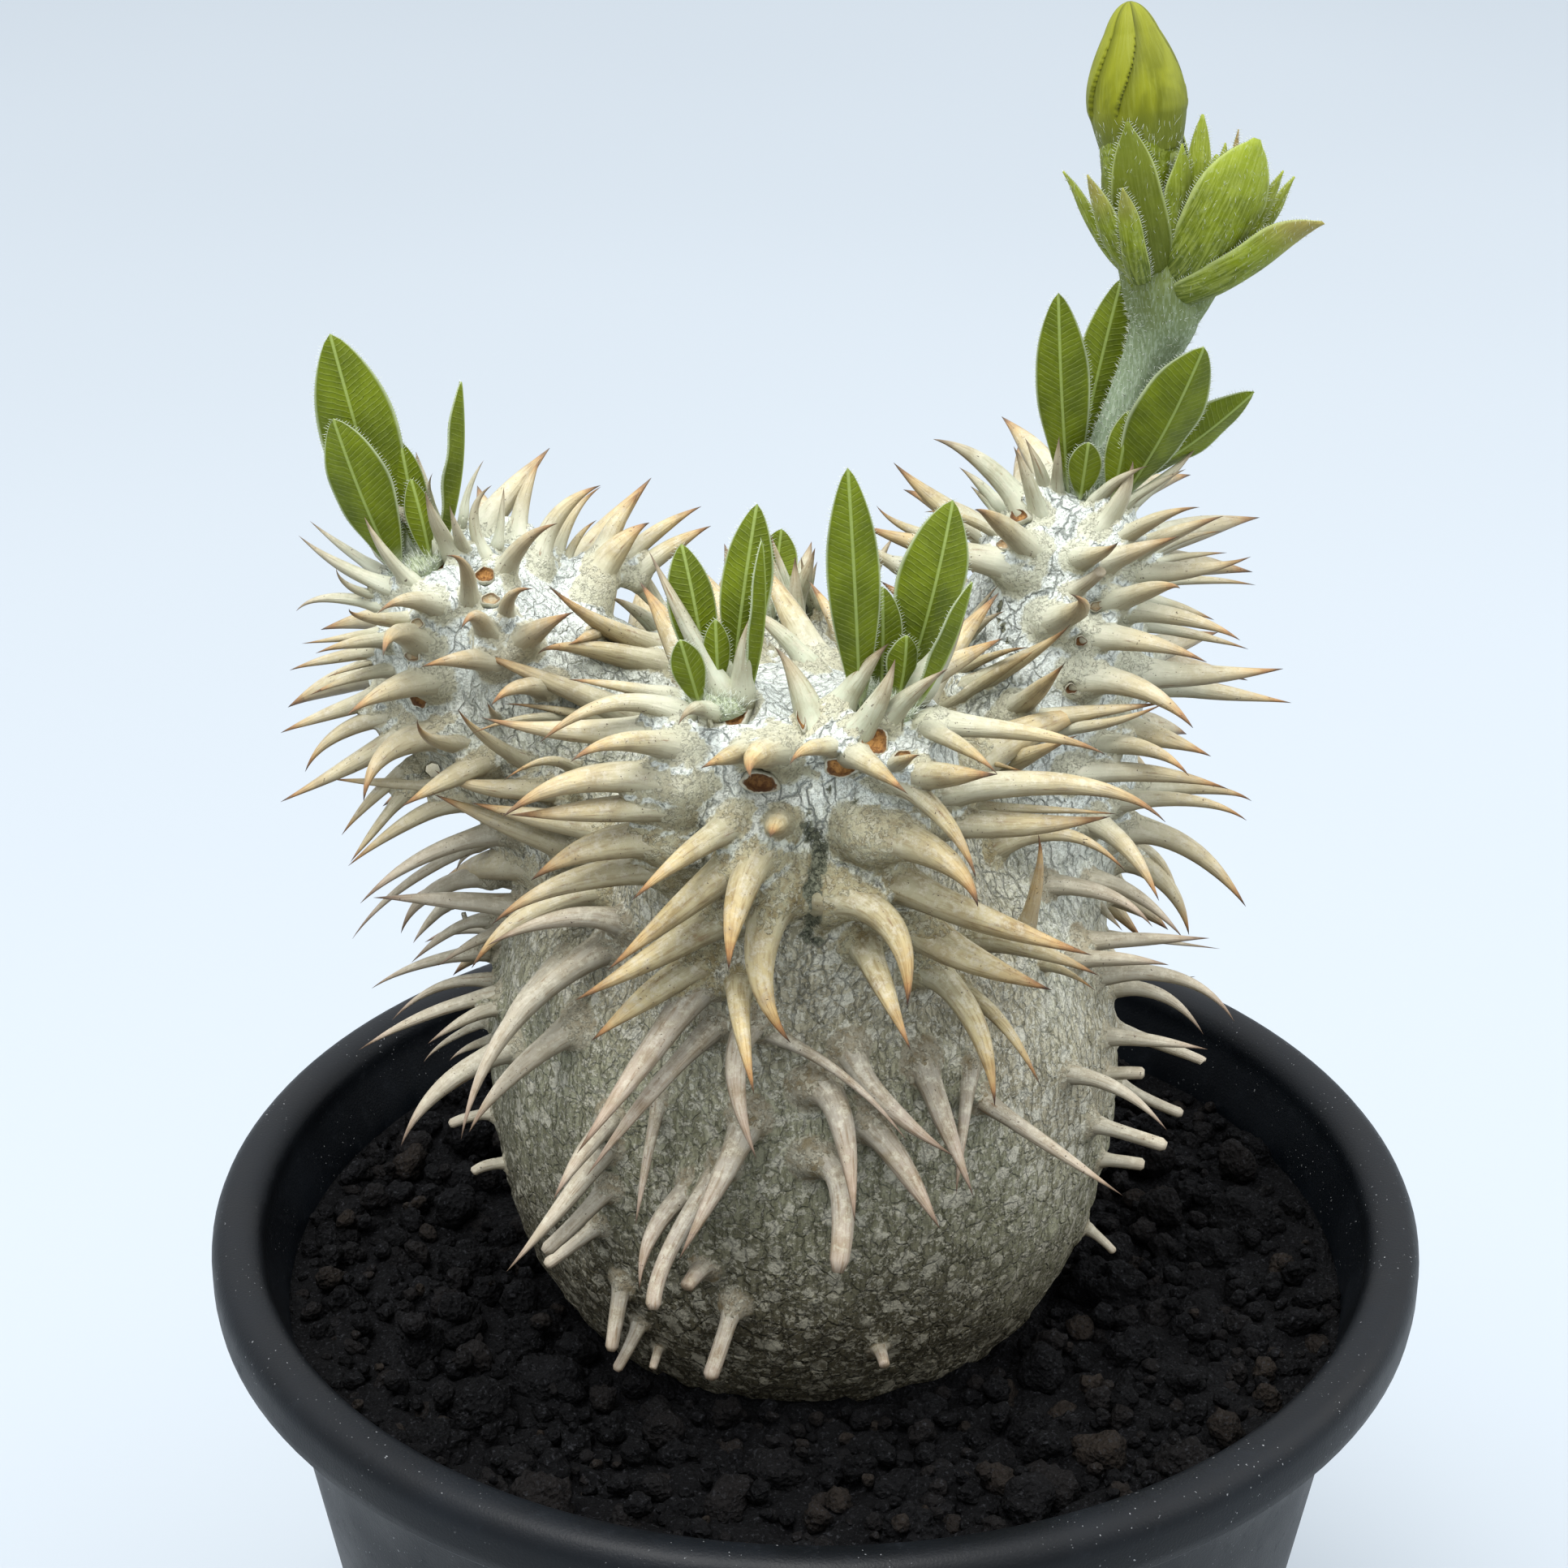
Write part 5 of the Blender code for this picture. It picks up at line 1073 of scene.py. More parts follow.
def pot_material():
    s = Shade("pot_plastic", Specular_IOR_Level=0.22)
    cloud = s.noise(14, 4, 0.6)
    colour = s.mix(s.range(cloud, 0.35, 0.7), (0.0010, 0.0020, 0.0034), (0.0026, 0.0044, 0.0070))
    dust = s.range(s.noise(0.34, 2, 0.4), 0.715, 0.75)
    dust = s.times(dust, s.range(s.noise(9, 2), 0.42, 0.6))
    film = s.range(s.noise(2.2, 5, 0.7), 0.55, 0.75, 0.0, 0.25)
    colour = s.mix(film, colour, (0.016, 0.020, 0.026))
    colour = s.mix(s.times(dust, 0.8), colour, (0.32, 0.33, 0.34))
    grain = s.noise(0.28, 3, 0.55)
    rough = s.plus(s.range(cloud, 0.3, 0.7, 0.40, 0.50), s.times(film, 0.5))
    return s.finish(colour, s.bump(grain, 0.035), rough)


# Stems, skin and the spines that the solids carry


class Stem:
    """A stem's axis, radii and directions, from its base to its tip."""

    def __init__(self, rows):
        self.points, self.radii = smooth_rows(rows, STEM_STEP)
        self.directions = tangents(self.points)
        self.lengths = lengths_along(self.points)

    def at(self, share):
        """Point, radius, direction and radius slope at a share of the length from the tip."""
        along = self.lengths[-1] * (1 - share)
        point = point_along(along, self.lengths, self.points)
        direction = unit(point_along(along, self.lengths, self.directions))
        radius = float(np.interp(along, self.lengths, self.radii))
        step = STEM_STEP / 2
        before, after = np.interp([along - step, along + step], self.lengths, self.radii)
        return point, radius, direction, float((after - before) / (2 * step))

    def depth(self, place):
        """How far a place lies inside the stem. Negative is outside."""
        return float((self.radii - np.linalg.norm(self.points - place, axis=1)).max())


def plain_skin(stems):
    """The caudex and its branches as one smooth closed body, without spines."""
    parts = [tube(stem.points, stem.radii, STEM_SIDES) for stem in stems.values()]
    return remeshed(parts, SKIN_VOXEL, SKIN_SMOOTHING)


def reach_of(probe, centre, outward, start):
    """How far the skin lies from a centre along a direction, looking in from a distance of start."""
    hit = probe.ray_cast(Vector(centre + outward * start), Vector(-outward), start)
    return None if hit[0] is None else start - hit[3]


def pair_of_spines(place, normal, along, size, droop, spread, broken, rng):
    """Two spines that stand either side of a leaf scar: root, direction, bend, length, radius, bluntness."""
    length, radius = size
    side = unit(np.cross(along, normal))
    found = []
    for hand in (-1, 1):
        apart = hand * spread * rng.uniform(0.75, 1.25)
        lean = along * rng.uniform(-0.10, 0.12) - UP * droop * rng.uniform(0.7, 1.2)
        direction = unit(normal + apart * side + lean)
        bend = -UP * (0.20 + 1.5 * droop) * rng.uniform(0.6, 1.3) + along * rng.uniform(-0.14, 0.14)
        root = place + hand * side * radius * 1.05 - direction * SPINE_SUNK
        reach = length * rng.uniform(0.82, 1.14) + SPINE_SUNK
        found.append((root, direction, bend, reach, radius * rng.uniform(0.9, 1.08), broken))
    return found


def spine_line(spine, count):
    """Points along a spine: it leaves along its direction and bends over its length."""
    root, direction, bend, length = spine[:4]
    shares = np.linspace(0, 1, count)
    return root + length * (np.outer(shares, direction) + np.outer(shares**2, bend) * 0.5)


def straight_parts(spine, count):
    """Points along a spine as the solids have it, in one or two straight parts."""
    corners = spine_line(spine, 2 if spine[5] else 3)
    return point_along(np.linspace(0, len(corners) - 1, count), range(len(corners)), corners)


def stem_spines(name, stem, probe, rng):
    """The pairs along one branch, in a spiral from its tip down, wherever the branch's own skin shows."""
    pairs, last, longest, root_radius, limp = SPINE_PAIRS[name]
    phase = rng.uniform(0, math.tau)
    for k in range(pairs):
        part = (k + 0.5) / pairs
        share = last * max(0.0, (part - CAP_SHARE) / (1 - CAP_SHARE))
        tilt = CAP_TILT * max(0.0, 1 - part / CAP_SHARE)
        point, radius, along, slope = stem.at(share)
        level, upright = across(along)
        turn = phase + k * GOLDEN_TURN
        radial = math.cos(turn) * level + math.sin(turn) * upright
        outward = radial * math.cos(tilt) + along * math.sin(tilt)
        normal = unit(outward - along * slope * 0.8 * math.cos(tilt) + along * (0.36 - 0.5 * part))
        age = min(1.0, 0.50 + part * 1.6)
        droop = limp * part * (max(0.0, 0.45 - outward[2]) * 0.45 + 0.20)
        size = (longest * age, root_radius * min(1.0, 0.5 + part * 1.7))
        reach = reach_of(probe, point, outward, radius + PROBE_START)
        shows = reach is not None and BRANCH_REACH[0] * radius < reach < BRANCH_REACH[1] * radius
        where = point + outward * (reach if shows else radius)
        upward = unit(np.cross(outward, np.cross(along, outward)))
        found = pair_of_spines(where, normal, upward, size, droop, SPREAD, False, rng)
        if shows:
            yield where, normal, upward, part, found


def trunk_radius(height):
    """The trunk's radius at a height."""
    rows = np.array(TRUNK)
    return float(np.interp(height, rows[:, 2], rows[:, 3]))


def trunk_spines(probe, rng):
    """The trunk's pairs: dense under the branches, then few and often broken, most of them front left."""
    axis = np.array([TRUNK[0][0], TRUNK[0][1], 0])
    middle = TRUNK[6]
    for k in range(TRUNK_PAIRS):
        share = ((k + 0.5) / TRUNK_PAIRS) ** 0.9
        height = TRUNK_SPINE_TOP + (TRUNK_SPINE_BOTTOM - TRUNK_SPINE_TOP) * share
        turn = k * GOLDEN_TURN + rng.uniform(-0.12, 0.12)
        outward = np.array([math.cos(turn), math.sin(turn), 0])
        towards = 0.5 + 0.5 * float(np.dot(outward[:2], SPARSE_SIDE))
        keep = 1.0 if share < DENSE_SHARE else SPARSE_KEPT + 0.6 * towards**3
        chosen = rng.random()
        broken = rng.random() < 0.06 + 1.2 * max(0.0, share - DENSE_SHARE)
        normal = unit(outward + UP * 0.55 * (height - middle[2]) / middle[3])
        radius = trunk_radius(height)
        length, thick = TRUNK_SPINE
        length *= (1.05 - 0.3 * share) * (STUB_LENGTH if broken else 1.0)
        size = (length, thick * (1.15 if broken else 1.0))
        reach = reach_of(probe, axis + UP * height, outward, radius + PROBE_START)
        shows = reach is not None and TRUNK_REACH[0] < reach - radius < TRUNK_REACH[1]
        where = axis + UP * height + outward * (reach if shows else radius)
        found = pair_of_spines(where, normal, UP, size, 0.26 + 0.2 * share, TRUNK_SPREAD, broken, rng)
        if chosen < keep and shows:
            yield where, normal, UP, 1.0 + share, found


def has_room(line, thick, name, stems, leaf_points):
    """True if a spine runs into no other stem, no leaf and not the soil."""
    others = [stem for key, stem in stems.items() if key != name]
    outer_half = line[len(line) // 2 + 1 :]
    if any(stem.depth(point) > 0.3 for stem in others for point in outer_half):
        return False
    if line[:, 2].min() < SOIL_LEVEL + SOIL_CLEAR:
        return False
    radii = thick * (1 - 0.85 * np.linspace(0, 1, len(line)))
    away = np.linalg.norm(line[:, None] - leaf_points[None], axis=2) - radii[:, None]
    return away.min() > SPINE_CLEAR


def rule_spines(stems, probe, leaf_points):
    """Every spine of the solids: the spine, its part of the stem, and the scars between the pairs."""
    rng = random.Random(11)
    scars, kept = [], []
    for name in [*SPINE_PAIRS, "trunk"]:
        pairs = trunk_spines(probe, rng) if name == "trunk" else stem_spines(name, stems[name], probe, rng)
        for where, normal, upward, part, pair in pairs:
            if any(np.linalg.norm(where - other[0]) < SCAR_SPACING for other in scars):
                continue
            found = []
            for root, direction, bend, length, thick, blunt in pair:
                for share in SHORTENED:
                    shorter = (root, direction, bend, length * share, thick * math.sqrt(share), blunt)
                    if has_room(straight_parts(shorter, 9), shorter[4], name, stems, leaf_points):
                        found.append((shorter, part))
                        break
            if found:
                scars.append((where, normal, upward, part))
                kept += found
    return kept, scars


# The heads' shapes


def head_seat(stem):
    """The place and direction of a head's core: on the stem's domed tip, sunk in its socket."""
    direction = stem.directions[-1]
    return stem.points[-1] + direction * (stem.radii[-1] * 0.5 - SOCKET_DEPTH - 0.8), direction


def young_spines(name, stem):
    """The slim young spines that stand round a head's leaves."""
    rng = random.Random(len(name) * 7 + 3)
    seat, direction = head_seat(stem)
    level, upright = across(direction)
    length, radius = YOUNG_SPINE
    for k in range(YOUNG_SPINES):
        turn = math.tau * (k + rng.uniform(-0.25, 0.25)) / YOUNG_SPINES
        outward = math.cos(turn) * level + math.sin(turn) * upright
        lean = rng.uniform(0.45, 0.75)
        leaving = unit(direction + outward * lean)
        root = seat + outward * CORE_RADIUS * 0.62 + direction * 0.9
        reach = length * rng.uniform(0.75, 1.15)
        yield root, leaving, -outward * 0.2, reach, radius * rng.uniform(0.85, 1.1), False


def leaf_profile(share):
    """A leaf's width along its length as a share of its greatest width, which lies past the middle."""
    share = np.asarray(share, float)
    return 0.22 * (1 - share) ** 2 + np.sin(np.pi * np.minimum(1.0, share**1.3)) ** 0.75


def leaf_frame(foot, tip, facing):
    """Unit vectors across a blade and out of its face, which looks that many degrees round from the front."""
    along = unit(tip - foot)
    angle = math.radians(facing)
    side = unit(np.cross(along, np.array([math.sin(angle), -math.cos(angle), 0.0])))
    return side, np.cross(side, along)


def both_faces(u, v):
    """The numbers across and along a blade, at the points of its under face and back over its upper one."""
    shape = (len(v), 2 * u.shape[1])
    return np.broadcast_to(np.concatenate([u, u[:, ::-1]], axis=1), shape), np.broadcast_to(v, shape)


def add_leaf(build, foot, tip, width, facing, wave, seed):
    """A folded leaf as one closed solid: midrib raised on the under face, thin margins, a small point."""
    length = np.linalg.norm(tip - foot)
    side, face = leaf_frame(foot, tip, facing)
    v = np.linspace(0, 1, LEAF_ROWS)[:, None]
    u = np.sin(np.linspace(-1, 1, LEAF_COLUMNS) * math.pi / 2)[None]
    half = width / 2 * np.maximum(0.14 * (1 - v**6), leaf_profile(v)) * (1 - 0.94 * smooth_step(v, 0.97, 1.0))
    bowed = LEAF_BOW * length * np.sin(np.pi * v)
    ripple = wave * np.sin(v * 17 + seed) * np.abs(u) ** 3 * np.sin(np.pi * v)
    lift = -LEAF_FOLD * np.abs(u) ** 1.25 * half + ripple
    rib = 0.34 * np.exp(-((u * half / 0.32) ** 2)) * (1 - v) ** 0.5
    body = np.maximum(0.25 * (1 - np.abs(u) ** 3.0), 0.10) * (1 - 0.45 * v)
    centre = foot + (tip - foot) * v[..., None] + face * bowed[..., None]
    sheet = centre + side * (u * half)[..., None] + face * lift[..., None]
    under = sheet + face * (body + rib)[..., None]
    upper = sheet - face * body[..., None]
    verts = np.concatenate([under, upper[:, ::-1]], axis=1).reshape(-1, 3)
    faces = grid_faces(LEAF_ROWS, 2 * LEAF_COLUMNS)
    u, v = both_faces(u, v)
    numbers = {"side": u * half, "run": v * length, "edge": np.abs(u), "tip": v}
    build.add(verts, faces, **{name: held.ravel() for name, held in numbers.items()})
    return sheet, side, face


def add_hair(build, root, direction, length, thick):
    """One hair as a slim closed spike with three sides."""
    base = root + thick * circles(circle_turns(3), *across(direction))
    build.add(np.vstack([base, root + direction * length]), [(0, 2, 1), (0, 1, 3), (1, 2, 3), (2, 0, 3)])


def margin_hairs(build, sheet, side, face, rng, spacing=0.3, length=0.5):
    """A fringe of down along both margins of a leaf."""
    for column, hand in ((0, -1), (-1, 1)):
        line = sheet[:, column]
        lengths = lengths_along(line)
        for at in np.arange(0.5, lengths[-1], spacing):
            root = point_along(at, lengths, line)
            lean = side * hand + face * rng.uniform(-0.7, 0.7) + UP * rng.uniform(0.2, 0.9)
            add_hair(build, root, unit(lean), length * rng.uniform(0.5, 1.2), 0.035)


def stalk_foot(stems):
    """Where the flower stalk leaves the right head's core."""
    seat, _ = head_seat(stems["right"])
    return seat + UP * (CORE_HEIGHT - STALK_SEAT)


def leaf_cloud(stems):
    """Points all over the leaf heads and the flower stalk, for keeping spines clear of them."""
    found = []
    for name, leaves in LEAVES.items():
        seat, direction = head_seat(stems[name])
        core = np.array([seat, seat + direction * CORE_HEIGHT])
        found.append(tube(core, [CORE_RADIUS] * 2, 12, domed=False)[0])
        for foot, tip, width, facing in leaves:
            found.append(plain_blade(seat + foot, seat + tip, width, facing, LEAF_BOW, 14))
        for spine in young_spines(name, stems[name]):
            found.append(straight_parts(spine, 8))
    foot = stalk_foot(stems)
    points, radii = smooth_rows(moved(STALK, foot), 2)
    found.append(tube(points, radii, 12, domed=False)[0])
    for start, tip, width, facing in BRACTS:
        found.append(plain_blade(foot + start, foot + tip, width, facing, BRACT_BOW, 10))
    return np.vstack(found)


def plain_blade(foot, tip, width, facing, bow, rows):
    """Points on a folded blade."""
    length = np.linalg.norm(tip - foot)
    side, face = leaf_frame(foot, tip, facing)
    share = np.linspace(0, 1, rows)[:, None]
    spread = width / 2 * np.maximum(0.16, leaf_profile(share))
    spread[-1] = width * 0.06
    centre = foot + (tip - foot) * share + face * bow * length * np.sin(math.pi * share)
    half = LEAF_THICKNESS / 2
    ribs = [(rib, back) for rib in (-1, 0, 1) for back in (-half, half)]
    fold = face * LEAF_FOLD
    return np.vstack([centre + (side * rib - fold * abs(rib)) * spread + face * back for rib, back in ribs])


# Making the pieces


def sight(x, y):
    """The direction from the camera through a pixel of the photograph, one long along the camera's axis."""
    offset = (np.array([x, y]) - PHOTO_SIDE / 2) / FOCAL
    return CAMERA_AHEAD + offset[0] * np.array([1.0, 0, 0]) - offset[1] * CAMERA_UP


def cast(probe, x, y):
    """Where the skin lies behind a pixel: its depth and its normal there, or None."""
    look = sight(x, y)
    place, normal, _, _ = probe.ray_cast(Vector(CAMERA_AT), Vector(unit(look)))
    if place is None:
        return None
    return float(np.dot(np.array(place) - CAMERA_AT, CAMERA_AHEAD)), np.array(normal)


def root_depth(probe, x, y):
    """The depth and the normal of the skin behind a pixel, or those of the skin that comes nearest to it."""
    found = cast(probe, x, y)
    if found is not None:
        return found
    look = sight(x, y)
    tried = [probe.find_nearest(Vector(CAMERA_AT + look * depth)) for depth in range(270, 370, 3)]
    nearest = min(tried, key=lambda found: found[3])
    return float(np.dot(np.array(nearest[0]) - CAMERA_AT, CAMERA_AHEAD)), np.array(nearest[1])


def placed_spine(probe, row, kind):
    """A spine placed by pixels: rooted in the skin, and in front of the skin all along."""
    least, age, tone = KINDS[kind]
    root, middle, tip = (np.array(row[k : k + 2], float) for k in (0, 2, 4))
    control = 2 * middle - (root + tip) / 2
    depth, normal = root_depth(probe, *root)
    scale = depth / FOCAL
    thick = row[6] / 2 * scale
    facing = -float(np.dot(normal, unit(sight(*root))))
    flat = np.linalg.norm(tip - root) * scale
    forward = max(math.sqrt(max(0.0, least**2 - flat**2)), 0.18 * flat) * min(1.0, max(0.0, facing * 1.5))
    share = np.linspace(0, 1, 17)
    pixels = np.outer((1 - share) ** 2, root) + np.outer(2 * share * (1 - share), control)
    pixels += np.outer(share**2, tip)
    rise = 1.6 * share - 0.6 * share**2
    for k in range(4, 17):
        under = cast(probe, *pixels[k])
        if under is not None:
            clear = depth - under[0] + thick * (1 - share[k]) + 0.4 + 1.2 * share[k]
            forward = max(forward, min(MOST_FORWARD, clear / rise[k]))
    line = np.array([CAMERA_AT + sight(*p) * (depth - forward * r) for p, r in zip(pixels, rise)])
    leaving = unit(line[1] - line[0])
    line = np.vstack([line[0] - (leaving * 0.4 + normal * 0.6) * 1.6, line])
    return line, thick, kind == "stub", age, tone


def add_spine(build, line, thick, blunt, age, tone, rng):
    """One spine: round, thick to past its middle, then drawn out to a sharp or a broken tip."""
    lengths = lengths_along(line)
    share = lengths / lengths[-1]
    start = min(0.3, 1.8 / lengths[-1])
    shown = np.clip((share - start) / (1 - start), 0, 1)
    if blunt:
        radii = thick * (1 - 0.22 * shown)
        radii[-1] *= 0.6
    else:
        radii = thick * np.interp(shown, SPINE_AT, SPINE_RADII)
    radii = radii * (1 + 0.30 * np.exp(-((shown / 0.14) ** 2)))
    one, two = ring_frames(line)
    turns = circle_turns(SPINE_SIDES)
    phase = rng.uniform(0, 9)
    wobble = 1 + 0.05 * np.sin(turns[None] * 2 + phase + shown[:, None] * 5)
    verts = line[:, None] + (radii[:, None] * wobble)[..., None] * circles(turns, one, SPINE_FLATNESS * two)
    around = np.stack([np.cos(turns) * 1.6, np.sin(turns) * 1.6], axis=1)
    grain = [np.column_stack([around, np.full(SPINE_SIDES, at * 0.16 + phase * 9)]) for at in lengths]
    if blunt:
        shown = 0.15 + 0.55 * shown
    faces = grid_faces(len(line), SPINE_SIDES)
    shown = np.repeat(shown, SPINE_SIDES)
    build.add(verts.reshape(-1, 3), faces, grain=np.vstack(grain), along=shown, tone=tone, age=age)


def seen(probe, place):
    """True if nothing of the skin hides a place from the camera."""
    away = np.asarray(place) - CAMERA_AT
    hit = probe.ray_cast(Vector(CAMERA_AT), Vector(unit(away)))
    return hit[0] is None or hit[3] > np.linalg.norm(away) - 1.2


def rear_spines(spines, probe):
    """Those of the solids' spines that stand where the photograph doesn't show them."""
    rng = random.Random(4)
    for spine, part in spines:
        line = spine_line(spine, 15)
        line = line[0] + (line - line[0]) * min(1.0, REAR_LONGEST / np.linalg.norm(line[-1] - line[0]))
        age = min(1.0, part - 0.2) if part > 1 else (-1.0 if part < 0.12 else 0.0)
        tone = rng.random() * 0.6
        if not seen(probe, line[2]) and not (spine[1][1] < 0.3 and seen(probe, line[9])):
            yield line, spine[4] * 0.85, spine[5], age, tone


def spine_foot(line, thick):
    """The thick foot of a spine, which the bark runs up: points, radii and shares of the spine's length."""
    lengths = lengths_along(line)
    reach = min(FOOT_SHARE * lengths[-1], 3.2 + 2.4 * thick)
    at = np.linspace(0, reach, FOOT_POINTS)
    flare = 1 + 0.75 * np.exp(-((np.maximum(0, at - 1.2) / (1.1 * thick + 0.4)) ** 2))
    return point_along(at, lengths, line), thick * flare * (1.03 - 0.16 * (at / reach) ** 2), at / lengths[-1]


def bark_marks(points, probe, outside):
    """How cracked the bark is at each point, how near a crevice runs and how deep that one is."""
    craze, cleft, depth = np.zeros(len(points)), np.zeros(len(points)), np.zeros(len(points))
    for x, y, radius, strength in CRACKED:
        found = cast(probe, x, y)
        if found:
            away = np.linalg.norm(points - (CAMERA_AT + sight(x, y) * found[0]), axis=1)
            craze = np.maximum(craze, strength * (1 - smooth_step(away / radius, 0.45, 1.0)))
    uneven = 1 + 0.9 * field(points, 1.1, 4.0)
    for line, width, deep in CREVICES:
        surface = outside if width > WIDE_CREVICE else probe
        seats = [CAMERA_AT + sight(x, y) * root_depth(surface, x, y)[0] for x, y in line]
        for start, end in zip(seats, seats[1:]):
            run = end - start
            share = np.clip((points - start) @ run / (run @ run), 0, 1)
            away = np.linalg.norm(points - start - share[:, None] * run, axis=1) / uneven
            close = 1 - smooth_step(away / width, 0.5, 1.5)
            depth = np.maximum(depth, close * deep)
            cleft = np.maximum(cleft, close)
    return craze, cleft, depth


def make_bark(skin, spines, sockets, probe):
    """The bark: the plain skin run up the foot of each spine, with its lumps, flakes and cracks."""
    finer = skin.modifiers.new("finer", "SUBSURF")
    finer.levels = finer.render_levels = 1
    evaluated(skin)
    parts = [(points_of(skin.data), faces_of(skin.data))]
    bpy.data.objects.remove(skin)
    feet = []
    for line, thick, _, age, tone in spines:
        foot, radii, shares = spine_foot(line, thick)
        parts.append(tube(foot, radii, 10, domed=False))
        feet += [(*found, age, tone) for found in zip(foot, radii, 0.75 * shares)]
    bark = remeshed(parts, BARK_VOXEL, BARK_SMOOTHING)
    points, normals = points_of(bark.data), normals_of(bark.data)
    tree = KDTree(len(feet))
    for k, seat in enumerate(feet):
        tree.insert(seat[0], k)
    tree.balance()
    nearest = [tree.find(point)[1:] for point in points]
    ratio = np.array([away / feet[k][1] for k, away in nearest])
    near = 1 - smooth_step(ratio, 0.98, 1.42)
    along, old, tone = (np.array([feet[k][item] for k, _ in nearest]) for item in (2, 3, 4))
    plain = 1 - near
    lumps = (0.35 * field(points, 7.0) + 0.16 * field(points, 2.2, 5.0)) * (0.25 + 0.75 * plain)
    flakes = 0.16 * smooth_step(field(points, 1.7, 9.0), 0.02, 0.28) * plain
    plates = cell_edges(points + 1.2 * field(points, 4.0, 3.0)[:, None], 3.4, (1, 1, 1.7))
    cracks = 0.22 * smooth_step(points[:, 2], 126, 150) * smooth_step(0.12 - plates, 0, 0.10)
    cracks *= smooth_step(field(points, 6.0, 2.0), 0.0, 0.3)
    outside = BVHTree.FromPolygons(points.tolist(), faces_of(bark.data))
    craze, cleft, depth = bark_marks(points, probe, outside)
    points = points + normals * (lumps + flakes - cracks * plain - depth)[:, None]
    for seat, direction in sockets:
        away = points - seat
        up = away @ direction
        flat = np.linalg.norm(away - up[:, None] * direction, axis=1)
        inside = (flat < CORE_RADIUS + 0.6) & (up > -3) & (up < 8)
        points[inside] -= np.maximum(up[inside] - 0.2, 0)[:, None] * direction
    bark.data.vertices.foreach_set("co", points.ravel())
    marks = {"near": near, "old": np.clip(old, 0, 1), "along": along, "tone": tone}
    marks |= {"craze": craze, "cleft": cleft}
    for key, held in marks.items():
        bark.data.attributes.new(key, "FLOAT", "POINT").data.foreach_set("value", held)
    bark.data.update()
    bark.name = bark.data.name = "bark"
    return bark


def finish_bark(bark, dents):
    """Sinks the leaf scars' places into the bark and puts it in the scene."""
    points = points_of(bark.data)
    for at, normal, size in dents:
        away = points - at
        up = away @ normal
        flat = np.linalg.norm(away - up[:, None] * normal, axis=1) / size
        share = (1 - smooth_step(flat, 0.85, 1.2)) * (np.abs(up) < 2.5)
        points -= (share * (up + 0.9))[:, None] * normal
    bark.data.vertices.foreach_set("co", (points * MM).ravel())
    return place(bark, bark_material(), "bark", "caudex")


def add_scar(build, at, normal, one, two, deep):
    """A leaf scar: an oval dish with a low rim. One and two are its half axes."""
    sides = 20
    turns = circle_turns(sides)
    circle = circles(turns, one, two)
    uneven = 1 + 0.07 * np.sin(turns * 3 + at[0]) + 0.05 * np.sin(turns * 5 + at[2])
    hollow = 0.45 * max(0.0, deep - 0.5)
    verts = [at + normal * (-0.32 - hollow)]
    for share, rise in SCAR_RINGS:
        sunk = hollow * min(1.0, max(0.0, 1 - share) * 2.2)
        verts += list(at + share * circle * uneven[:, None] + normal * (rise - sunk))
    faces = [(0, 1 + k, 1 + (k + 1) % sides) for k in range(sides)]
    faces += grid_faces(len(SCAR_RINGS), sides, capped=False, start=1)
    last = 1 + (len(SCAR_RINGS) - 1) * sides
    faces.append(tuple(reversed(range(last, last + sides))))
    shares = np.concatenate([[0.0], np.repeat([min(1.0, share * 0.9) for share, _ in SCAR_RINGS], sides)])
    build.add(np.array(verts), faces, rim=shares, deep=deep)


def make_scars(scars, bark, probe):
    """The leaf scars: those that the photograph shows, and the rule's own round the back."""
    build = Build("rim", "deep")
    rng = random.Random(5)
    surface = BVHTree.FromPolygons(points_of(bark.data).tolist(), faces_of(bark.data))
    dents = []
    for x, y, wide, high, turn, deep in SCARS:
        found = cast(surface, x, y)
        if found is None:
            continue
        at = CAMERA_AT + sight(x, y) * found[0]
        normal = unit(root_depth(probe, x, y)[1] + unit(found[1]) - 0.6 * unit(sight(x, y)))
        axes = []
        for reach, angle in ((wide, turn), (high, turn + 90)):
            angle = math.radians(angle)
            look = sight(x + reach * math.cos(angle), y + reach * math.sin(angle))
            distance = (at - CAMERA_AT) @ normal / (look @ normal)
            axes.append(CAMERA_AT + look * distance - at)
        add_scar(build, at, normal, *axes, deep)
        dents.append((at, normal, max(np.linalg.norm(axis) for axis in axes)))
    for where, normal, upward, part in scars:
        chosen, deep = rng.random(), rng.choice((0.3, 0.5, 0.7, 0.8, 1.0))
        size = 1.05 * rng.uniform(0.85, 1.2)
        at = where + upward * 0.6
        if part > 0.75 or chosen > 0.7 or seen(probe, at + normal):
            continue
        hit = surface.ray_cast(Vector(at + normal * 6), Vector(-normal), 12)
        if hit[0] is None:
            continue
        at, normal = np.array(hit[0]), unit(np.array(hit[1]) + 2 * normal)
        side = unit(np.cross(upward, normal))
        add_scar(build, at, normal, side * size * 1.35, np.cross(normal, side) * size * 0.95, deep)
        dents.append((at, normal, size * 1.3))
    build.piece("leaf_scars", scar_material(), "bark")
    return dents


